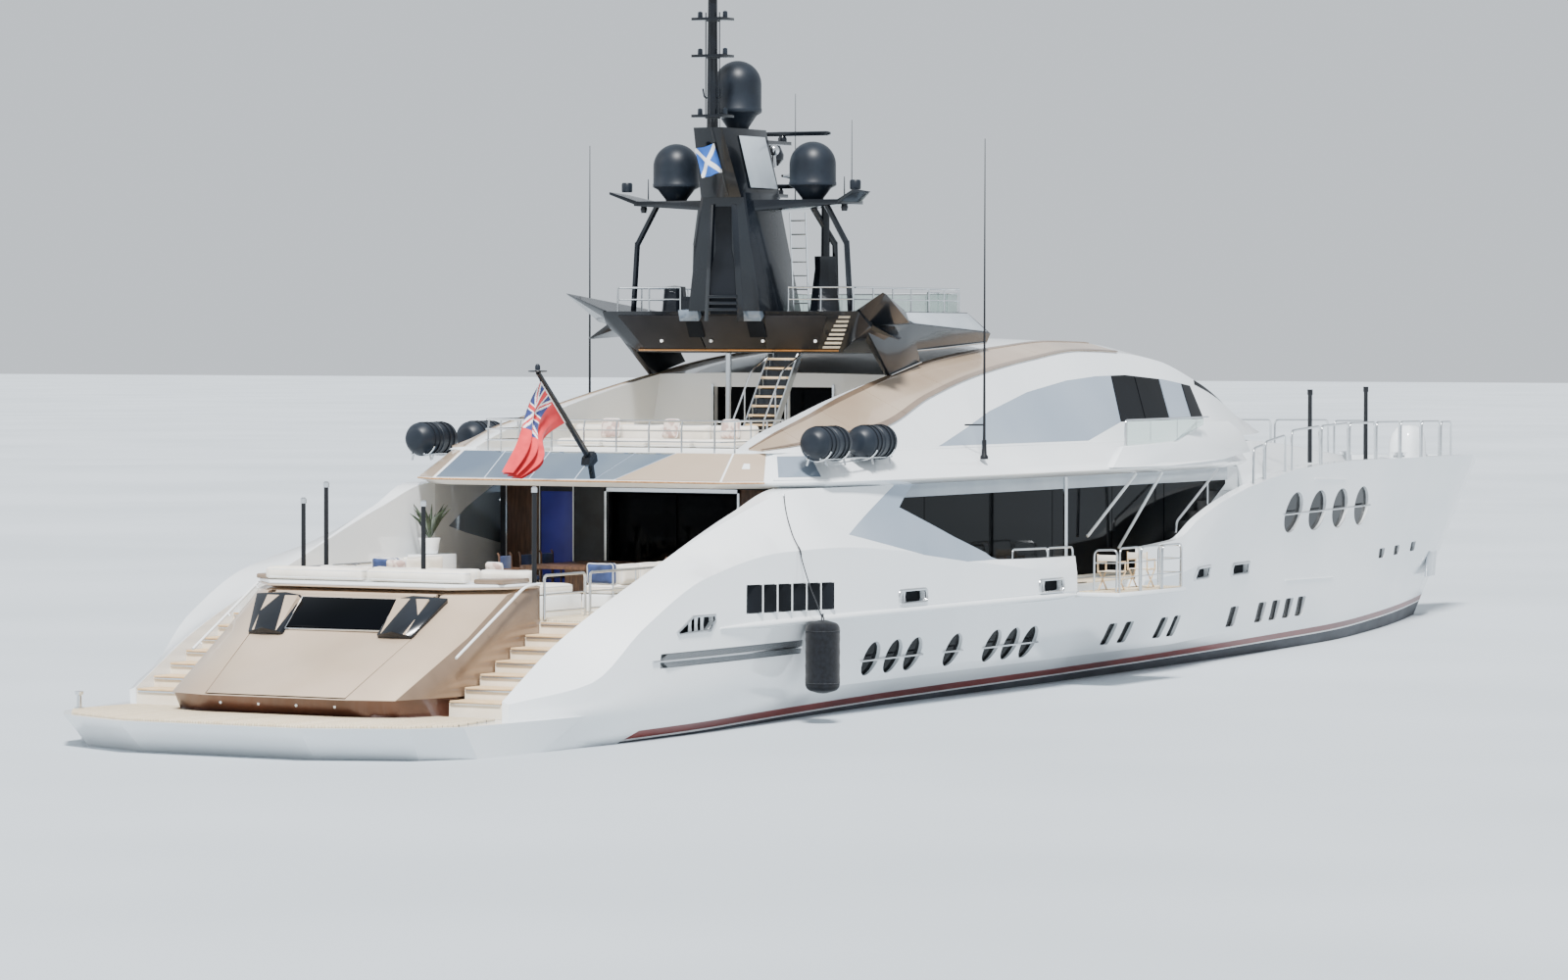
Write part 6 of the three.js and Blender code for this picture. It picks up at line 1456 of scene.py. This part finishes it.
def dressRails():
    # upper deck: three rows round the aft edge, on stanchions that bend in at the top
    tubes, half, head, aft = [], rails["half"], rails["head"], rails["aft"]
    for z, radius, lean in rails["rows"]:
        x = aft + lean
        line = [(17.2, half, z), (x, half, z), (x, -half, z), (17.2, -half, z)]
        tubes.append(tubePart(roundedLine(line, 0.12, 6), radius, 10))
    for y in np.linspace(-2.75, 2.75, 8):
        tubes.append(tubePart([(aft, y, 5.452), (aft, y, 5.95), (aft + 0.04, y, head)], 0.02, 8))
    tubes += [postPart(x, side * half, 5.142, head, 0.02) for side in (1, -1) for x in rails["sidePosts"]]
    newPiece("upperDeckRails", tubes, "steel", replaces=("upper_deck_rail",))

    # bow: a row of long hoops on the bulwark, with shorter ones before and behind it
    posts = rails["bowPosts"]
    hoops = [bowHoop(x0 + 0.1, x1 - 0.1, 0.97) for x0, x1 in zip(posts, posts[1:])]
    hoops += [bowHoop(*span) for span in rails["shortHoops"]]
    newPiece("bowRails", bothSides(hoops), "steel", replaces=("bow_rail_starboard", "bow_rail_port"))

    # side decks: pillars, hoops over the gate, handrails up the steps, white braces under the wing
    steel = []
    for x0, x1 in rails["gateHoops"]:
        z0, z1 = (float(np.interp(x, (22.3, 26.2), (3.02, 2.97))) for x in (x0, x1))
        steel.append(hoopPart(x0, x1, -5.44, -5.48, z0, z1, 0.2, 0.024))
    steel.append(postPart(25.95, -5.3, 2.35, 4.735, 0.05, 16))
    steel.append(tubePart(roundedLine(rails["stepRail"], 0.2), 0.028, 10))
    steel.append(postPart(34.3, -5.06, 3.9, 4.45, 0.02))
    newPiece("sideDeckSteel", bothSides(steel), "steel")
    braces = [tubePart([(x0, -4.5, z0), (x1, -5.1, 4.72)], 0.035, 8) for x0, z0, x1 in rails["braces"]]
    newPiece("sideDeckBraces", bothSides(braces), "white")

    # bridge wings: a clear screen under a steel rail
    y = rails["wingY"]
    newPiece("wingScreens", bothSides([prismPart("y", rails["wingPane"], y - 0.01, y + 0.01)]), "clearGlass")
    caps = [tubePart(roundedLine([(x, y, z) for x, z in rails["wingRail"]], 0.1), 0.02, 8)]
    caps += [postPart(x, y, 5.4 + max(0, x - 32.4) * 0.22, 5.96, 0.014) for x in rails["wingPosts"]]
    newPiece("wingRails", bothSides(caps), "steel")


raft = {
    # canisters: where they lie, and half a profile as radius and half length
    "xs": (15.45, 17.5), "y": 4.82, "z": 5.66,
    "half": [(0.0, 0.7), (0.17, 0.7), (0.25, 0.66), (0.335, 0.52), (0.345, 0.5), (0.345, 0.05), (0.36, 0.04)],
    "straps": (-0.38, -0.2, 0.2, 0.38), "cradles": (-0.4, 0.4),
}


def dressRafts():
    z, half = raft["z"], raft["half"]
    for side, sign in (("starboard", -1), ("port", 1)):
        y = sign * raft["y"]
        drums, straps, steel = [], [], []
        for x in raft["xs"]:
            profile = [(r, x - h) for r, h in half] + [(r, x + h) for r, h in reversed(half)]
            drums.append(lathePart(profile, (0, y, z), 36, "x"))
            straps += [ringPart((x + dx, y, z), 0.352, 0.014, 27, "x") for dx in raft["straps"]]
            for dx in raft["cradles"]:
                cradle = [(x + dx, y + 0.37 * math.cos(t), z + 0.37 * math.sin(t))
                          for t in np.linspace(-2.7, -0.44, 12)]
                steel.append(tubePart(cradle, 0.022, 8))
                steel += [tubePart([(x + dx, y + s * 0.2, 5.33), (x + dx, y + s * 0.24, 5.2)], 0.022, 8)
                          for s in (-1, 1)]
        steel += [tubePart([(x, y + s, 5.34) for x in (14.9, 18.1)], 0.022, 8) for s in (-sign * 0.16, sign * 0.16)]
        newPiece("raft_drums_" + side, drums, "slate", replaces=("life_rafts_" + side,), sharp=35)
        newPiece("raft_straps_" + side, straps, "shade")
        newPiece("raft_cradles_" + side, steel, "steel")


balcony = {"x0": 26.03, "x1": 29.67, "outer": -6.6, "floor": 2.17, "wires": (0.33, 0.65), "chairs": (26.85, 28.45)}


def foldingChair(x, middle=-6.03, foot=2.182):
    # crossed legs, arms and back posts, under a sagging seat and a band for the back
    wood = []
    for s in (-0.24, 0.24):
        y, near = middle + s, middle + s * 0.9
        for line in ([(x - 0.2, y, foot), (x + 0.2, y, 2.6)], [(x + 0.2, near, foot), (x - 0.2, near, 2.6)],
                     [(x - 0.22, y, 2.58), (x - 0.24, y, 3.0)],
                     [(x - 0.24, y, 2.82), (x + 0.2, y, 2.82), (x + 0.2, y, 2.6)],
                     [(x - 0.22, y, 2.6), (x + 0.22, y, 2.6)]):
            wood.append(tubePart(line, 0.018, 6))
    seat = [(x - 0.2 + 0.1 * k, 2.61 - 0.02 * (0 < k < 4)) for k in range(5)]
    cloth = [loftPart([[(px, -6.25, z), (px, -5.81, z), (px, -5.81, z + 0.015), (px, -6.25, z + 0.015)]
                       for px, z in seat]),
             loftPart([[(x - 0.25, y, 2.84), (x - 0.225, y, 2.84), (x - 0.235, y, 2.98), (x - 0.26, y, 2.98)]
                       for y in (-6.27, middle, -5.79)])]
    return wood, cloth


def dressBalcony():
    x0, x1, outer, floor = (balcony[key] for key in ("x0", "x1", "outer", "floor"))
    newPiece("balconyFlap", [boxPart(x0, x1, outer, -5.54, 2.06, 2.16)], "white", body="balcony", replaces=("balcony",),
             bevel=0.02)
    newPiece("balconyTeak", [boxPart(x0 + 0.06, x1 - 0.06, outer + 0.1, -5.58, 2.162, 2.18)], "teak", body="balcony")
    hoops, edge = [], outer + 0.06
    spans = np.linspace(x0 + 0.09, x1 - 0.09, 4)
    for a, b in zip(spans, spans[1:]):
        hoops.append(hoopPart(a + 0.04, b - 0.04, edge, edge, floor, floor, 0.98, 0.024))
        hoops += [tubePart([(x, edge, floor + h) for x in (a + 0.05, b - 0.05)], 0.013, 8) for h in balcony["wires"]]
    for x in (x0 + 0.09, x1 - 0.09):
        line = [(x, -5.93, floor), (x, -5.94, 3.1), (x, outer + 0.1, 3.12), (x, outer + 0.12, floor)]
        hoops.append(tubePart(roundedLine(line, 0.12), 0.022, 10))
        hoops += [tubePart([(x, y, floor + h) for y in (-5.93, outer + 0.08)], 0.013, 8) for h in balcony["wires"]]
    hoops.append(tubePart([(x0 + 0.01, -5.5, 2.115), (x1 - 0.01, -5.5, 2.115)], 0.028, 12))
    newPiece("balconyRails", hoops, "steel", body="balcony")
    chairs = [foldingChair(x) for x in balcony["chairs"]]
    newPiece("foldingChairs", [part for wood, _ in chairs for part in wood], "tread", body="balcony")
    newPiece("chairCanvas", [part for _, cloth in chairs for part in cloth], "canvas", body="balcony", bevel=0.006)


foredeck = {
    # poles: x, y, foot, head
    "poles": ((44.1, -3.55, 4.68, 6.55), (49.3, -2.95, 4.66, 6.58)),
    "awning": ((6.1, -0.9, 3.06, 4.66), (7.3, -2.7, 2.345, 4.93), (7.3, 2.7, 2.345, 4.63), (8.2, 2.75, 2.345, 4.93)),
    "winch": [(0, 4.155), (0.3, 4.155), (0.3, 4.3), (0.18, 4.36), (0.16, 4.6), (0.24, 4.68), (0, 4.7)],
    "bollard": [(0, 4.155), (0.12, 4.155), (0.1, 4.5), (0.14, 4.56), (0, 4.58)],
    # the locker's plan, and its height and size from foot to top
    "locker": [(0.62, 0.5), (0.42, 0.66), (0, 0.72), (-0.42, 0.64), (-0.6, 0.46), (-0.66, 0.1), (-0.6, -0.4), (0, -0.5),
               (0.6, -0.4), (0.66, 0.1)],
    "lockerRise": ((4.3, 1.0), (4.9, 0.97), (5.15, 0.84), (5.33, 0.62), (5.4, 0.34)),
}


def dressForedeck():
    dressNode("foredeck_trunk", "white", bevel=0.03)
    poles = [lathePart([(0, z0), (0.06, z0), (0.055, z1 - 0.15), (0.07, z1 - 0.13), (0.07, z1), (0, z1)], (x, y, 0), 14)
             for x, y, z0, z1 in foredeck["poles"]]
    newPiece("foredeckPoles", bothSides(poles), "powder", sharp=40)
    aft, heads = [], []
    for x, y, z0, z1 in foredeck["awning"]:
        neck = z1 - 0.12
        aft.append(lathePart([(0, z0), (0.05, z0), (0.045, neck), (0, neck)], (x, y, 0), 14))
        heads.append(lathePart([(0, neck), (0.06, neck), (0.06, z1 - 0.03), (0.03, z1), (0, z1)], (x, y, 0), 14))
    newPiece("awningPoles", aft, "powder", sharp=40)
    newPiece("awningPoleHeads", heads, "steel", sharp=40)

    gear = []
    for y in (-0.8, 0.8):
        gear.append(lathePart(foredeck["winch"], (57.0, y, 0), 24))
        gear.append(lathePart(foredeck["bollard"], (55.3, y * 1.2, 0), 18))
        gear.append(tubePart([(57.2, y, 4.3), (58.6, y * 0.75, 4.25), (59.4, y * 0.6, 4.2)], 0.05, 8))
    newPiece("anchorWinches", gear, "steel", sharp=35)
    cover = smoothOutline(foredeck["locker"], 4, closed=True)
    rings = [[(59.75 + a * s, b * s * 0.72, z) for a, b in cover] for z, s in foredeck["lockerRise"]]
    newPiece("bowLocker", [loftPart(rings)], "white", sharp=60)
    plates = [sidePlate([(58.6, 1.15), (60.6, 1.1), (61.3, 2.2), (59.5, 2.3)], -0.03, 0.03)]
    newPiece("stemPlate", bothSides(plates), "paleGrey", bevel=0.01)
    newPiece("bowRoller", [tubePart([(60.9, 0, 4.48), (61.0, -0.02, 4.5), (61.1, 0, 4.46)], 0.05, 10)], "steel")


dressRails()
dressRafts()
dressBalcony()
dressForedeck()
print("rails, rafts, balcony and foredeck dressed")


pads = {
    # size along x, y and z, how full, and where: x, y, z of the middle, turn about y and about z in degrees
    "aftSeat": {"size": (1.36, 1.24, 0.2), "fill": 0.8, "finish": "canvas", "replaces": "aft_cushions",
                "at": [(8.5, y, 2.86, 0, 0) for y in (-1.9, -0.635, 0.635, 1.9)]},
    "aftBack": {"size": (0.3, 1.22, 0.5), "fill": 0.7, "finish": "canvas",
                "at": [(7.62, y, 3.03, 0, 0) for y in (-1.9, -0.635, 0.635, 1.9)]},
    "sideSeat": {"size": (1.3, 0.7, 0.18), "fill": 0.8, "finish": "canvas",
                 "at": [(x, y, 2.8, 0, 0) for x in (10.62, 11.94) for y in (-2.56, 2.56)]},
    "sideBack": {"size": (0.72, 0.22, 0.42), "fill": 0.75, "finish": "canvas",
                 "at": [(x, y, 3.09, 0, 0) for x in (10.75, 11.5, 12.24) for y in (-2.8, 2.8)]},
    "sideEnd": {"size": (0.22, 0.66, 0.46), "fill": 0.75, "finish": "navy",
                "at": [(10.14, -2.56, 3.11, 0, 0), (10.14, 2.56, 3.11, 0, 0)]},
    "upperSeat": {"size": (0.76, 1.1, 0.17), "fill": 0.8, "finish": "canvas", "replaces": "upper_cushions",
                  "at": [(16.66, y, 5.595, 0, 0) for y in (-1.68, -0.56, 0.56, 1.68)]},
    "upperBack": {"size": (0.26, 1.1, 0.46), "fill": 0.7, "finish": "canvas",
                  "at": [(17.22, y, 5.76, 0, 0) for y in (-1.68, -0.56, 0.56, 1.68)]},
    "scatter": {"size": (0.17, 0.44, 0.44), "fill": 0.85, "finish": "rose",
                "at": [(7.95, 0.9, 3.19, -14, 8), (7.96, -1.4, 3.19, -14, -10), (16.9, 1.2, 5.9, 14, 6),
                       (16.9, -0.3, 5.9, 14, -12), (16.9, -1.75, 5.9, 14, 10)]},
    "headBolster": {"size": (0.34, 2.3, 0.26), "fill": 0.9, "finish": "canvas",
                    "at": [(5.72, -1.03, 3.195, 0, 0), (5.72, 1.33, 3.195, 0, 0)]},
}


def puffPad(name, size, fill):
    # a sewn cover blown up from inside by a cloth simulation, which may not carry a point further than the cap
    cap, middle = 0.011 * fill, yacht["midships"]
    lx, ly, lz = (v / 2 - cap * 1.4 for v in size)
    pad = bareMesh(name, [boxPart(middle - lx, middle + lx, -ly, ly, -lz, lz)])
    soften(pad, min(lx, ly, lz) * 0.55, 3)
    cells = pad.modifiers.new("cells", "REMESH")
    cells.mode, cells.voxel_size = "VOXEL", 0.018
    bake(pad)
    flat = np.array([v.co for v in pad.data.vertices])
    cover = pad.modifiers.new("cover", "CLOTH")
    cover.settings.use_pressure = True
    cover.settings.uniform_pressure_force = 4
    cover.settings.effector_weights.gravity = 0
    for step in range(1, 21):
        bpy.context.scene.frame_set(step)
    bake(pad)
    bpy.context.scene.frame_set(1)
    blown = np.array([v.co for v in pad.data.vertices])
    move = blown - flat
    far = np.linalg.norm(move, axis=1, keepdims=True)
    move *= np.minimum(1, cap / np.maximum(far, 1e-9))
    pad.data.vertices.foreach_set("co", (flat + move).ravel())
    soft = pad.modifiers.new("soft", "SUBSURF")
    soft.levels = 1
    bake(pad)
    return pad


def seamLoop(pad, size, height):
    # piping sewn round the cover: a ring that lies on its skin at a height
    skin = BVHTree.FromPolygons([v.co for v in pad.data.vertices], [tuple(f.vertices) for f in pad.data.polygons])
    thin = min(range(3), key=lambda k: size[k])
    wide = [k for k in range(3) if k != thin]
    ring, count = [], 72
    for k in range(count):
        turn = 2 * math.pi * k / count
        out = Vector((0, 0, 0))
        out[wide[0]], out[wide[1]] = math.cos(turn) * size[wide[0]], math.sin(turn) * size[wide[1]]
        start = out.copy()
        start[thin] = height * size[thin] * yacht["scale"]
        hit = skin.ray_cast(start, -out.normalized())[0]
        if hit:
            ring.append(realPlace(*hit))
    return tubePart(ring, 0.011, 6, closed=True)


def dressPads():
    for name, pad in pads.items():
        first = puffPad(name, pad["size"], pad["fill"])
        heights = (0,) if name == "scatter" else (-0.28, 0.28)
        piping = bareMesh(name + "Piping", [seamLoop(first, pad["size"], h) for h in heights])
        for number, (x, y, z, lean, turn) in enumerate(pad["at"]):
            place = Matrix.Translation(at(x, y, z)) @ Matrix.Rotation(math.radians(turn), 4, "Z")
            place = place @ Matrix.Rotation(math.radians(lean), 4, "Y")
            cover = twinOf(first, "%sCushion%d" % (name, number), pad["finish"])
            cord = twinOf(piping, "%sPiping%d" % (name, number), "line")
            for piece in (cover, cord):
                piece.data.transform(place)
            placePiece(cover, replaces=(pad["replaces"],) if "replaces" in pad and number == 0 else (), sharp=80)
            placePiece(cord, sharp=80)
        bpy.data.objects.remove(first)
        bpy.data.objects.remove(piping)


flag = {
    # ends of the hoist and of the fly, top first, then folds: how many across, how deep in y, and the sway of
    # the whole cloth
    "hoist": [(12.001, 0, 6.933), (12.991, 0, 6.075)], "fly": [(10.7, 0.02, 5.1), (11.2, -0.02, 4.95)],
    "folds": 3.2, "depth": 0.15, "sway": 0.2, "width": 1.31,
    "staff": [(11.9, 7.12, 0.05), (13.97, 5.326, 0.08)],
    "courtesy": [(19.09, -0.121, 12.05), (18.96, 0.31, 11.92), (19.13, 0.22, 11.3), (19.338, -0.158, 11.43)],
}


def clothGrid(name, across, along, spot, tint, *keys):
    # one layer of cloth from a grid: spot gives a place and tint a finish for shares across and along it
    points = [spot(i / across, j / along) for j in range(along + 1) for i in range(across + 1)]
    faces, index = [], []
    for j in range(along):
        for i in range(across):
            k = j * (across + 1) + i
            faces.append((k, k + 1, k + across + 2, k + across + 1))
            index.append(tint((i + 0.5) / across, (j + 0.5) / along))
    mesh = bpy.data.meshes.new(name)
    mesh.from_pydata([at(*p) for p in points], [], faces)
    setFinish(mesh, *keys)
    mesh.polygons.foreach_set("material_index", index)
    return newObject(name, mesh), sum(f.area for f in mesh.polygons)


def crossTint(a, b):
    # the crosses of a canton, for shares along and down it: 0 field, 1 white, 2 red
    down, along = b - 0.5, (a - 0.5) * 2
    if min(abs(down), abs(along)) < 0.1:
        return 2
    if min(abs(down), abs(along)) < 0.17:
        return 1
    slant = min(abs(down - along / 2), abs(down + along / 2))
    return 2 if slant < 0.035 else 1 if slant < 0.11 else 0


def dressFlags():
    # the staff is a raked board with round edges, on a small foot, under a flat cap with a lamp
    rings = []
    for x, z, half in flag["staff"]:
        rings.append([(x - 0.655 * a, b, z - 0.756 * a) for a, b in roundBox(0, 0, half, 0.045, 0.04, 4)])
    foot = wedgePart([(x, y, z) for y in (-0.1, 0.1)
                      for x, z in ((13.8, 5.165), (14.13, 5.38), (13.83, 5.33), (14.02, 5.47))])
    cap = lathePart([(0, 7.12), (0.19, 7.13), (0.2, 7.145), (0.19, 7.16), (0, 7.17)], (11.89, 0, 0), 24)
    newPiece("ensign_staff_skin", [loftPart(rings), foot, cap], "midnight", replaces=("ensign_staff",), sharp=40)
    lamp = lathePart([(0, 7.172), (0.055, 7.172), (0.055, 7.25), (0.035, 7.29), (0, 7.3)], (11.89, 0, 0), 16)
    newPiece("staffFittings", [lamp, tubePart([(11.93, 0, 7.03), flag["hoist"][0]], 0.012, 6)], "slate", sharp=40)
    hoist, fly = [[Vector(p) for p in flag[key]] for key in ("hoist", "fly")]

    def spot(u, v):
        p = hoist[0].lerp(hoist[1], u).lerp(fly[0].lerp(fly[1], u), v)
        ease = v * v * (3 - 2 * v)
        deep = flag["depth"] * (0.12 * min(1, v * 6) + 0.88 * ease)
        fold = deep * math.sin(2 * math.pi * flag["folds"] * u + 2.1 * v + 0.4)
        sway = flag["sway"] * math.sin(math.pi * 2.1 * v) * (0.35 + 0.65 * u)
        return p + Vector((0.06 * math.sin(math.pi * v) * (1 - u), fold + sway, -0.05 * math.sin(math.pi * v) * u))

    def tint(u, v):
        return (1, 2, 0)[crossTint(v * 2, u * 2)] if u < 0.5 and v < 0.5 else 0

    ensign, area = clothGrid("ensignCloth", 72, 128, spot, tint, "flagRed", "flagBlue", "flagWhite")
    placePiece(ensign, replaces=("ensign",), sharp=180)
    sleeve = newPiece("ensignSleeve", [tubePart(flag["hoist"], 0.014, 8)], "flagWhite")

    a, b, c, d = (Vector(p) for p in flag["courtesy"])

    def wave(u, v):
        ripple = Vector((0.035 * math.sin(7 * u + 2 * v), 0, 0.012 * math.sin(9 * u)))
        return a.lerp(b, u).lerp(d.lerp(c, u), v) + ripple

    def saltire(u, v):
        return 1 if min(abs(u - v), abs(u + v - 1)) < 0.11 else 0

    small, area = clothGrid("courtesyFlag", 40, 40, wave, saltire, "flagSky", "flagWhite")
    placePiece(small, sharp=180)


def dressFender():
    # a cylinder with rounded ends that bulges a little between its seams
    radius, low, high, corner = 0.352, 0.82, 1.92, 0.15
    x, y, _ = realPlace(*((a + b) / 2 for a, b in zip(*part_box("fender"))))
    inset = lambda t: radius - 0.13 * (1 - math.sin(t))
    profile = [(0.0, 0.622), (0.09, 0.63), (0.2, 0.66)]
    profile += [(inset(t), low - corner * math.cos(t)) for t in np.linspace(0.2, 1.57, 7)]
    profile += [(radius + 0.004 * math.sin(2 * k), low + (high - low) * k / 12) for k in range(1, 12)]
    profile += [(inset(t), high + corner * math.cos(t)) for t in np.linspace(1.57, 0.2, 7)]
    profile += [(0.2, 2.08), (0.09, 2.11), (0.0, 2.118)]
    newPiece("fenderBody", [lathePart(profile, (x, y, 0), 48)], "rubber", replaces=("fender",), sharp=60)
    newPiece("fenderSeams", [ringPart((x, y, z), radius + 0.001, 0.007, 40) for z in (0.84, 1.9)], "rope")


dressPads()
dressFlags()
dressFender()
for side in ("starboard", "port"):
    dressNode("propeller_" + side, "propeller", body="propeller_" + side, bevel=0.01)
    dressNode("rudder_" + side, "antifouling", body="rudder_" + side, bevel=0.02)
print("pads, flags, fender and running gear dressed")
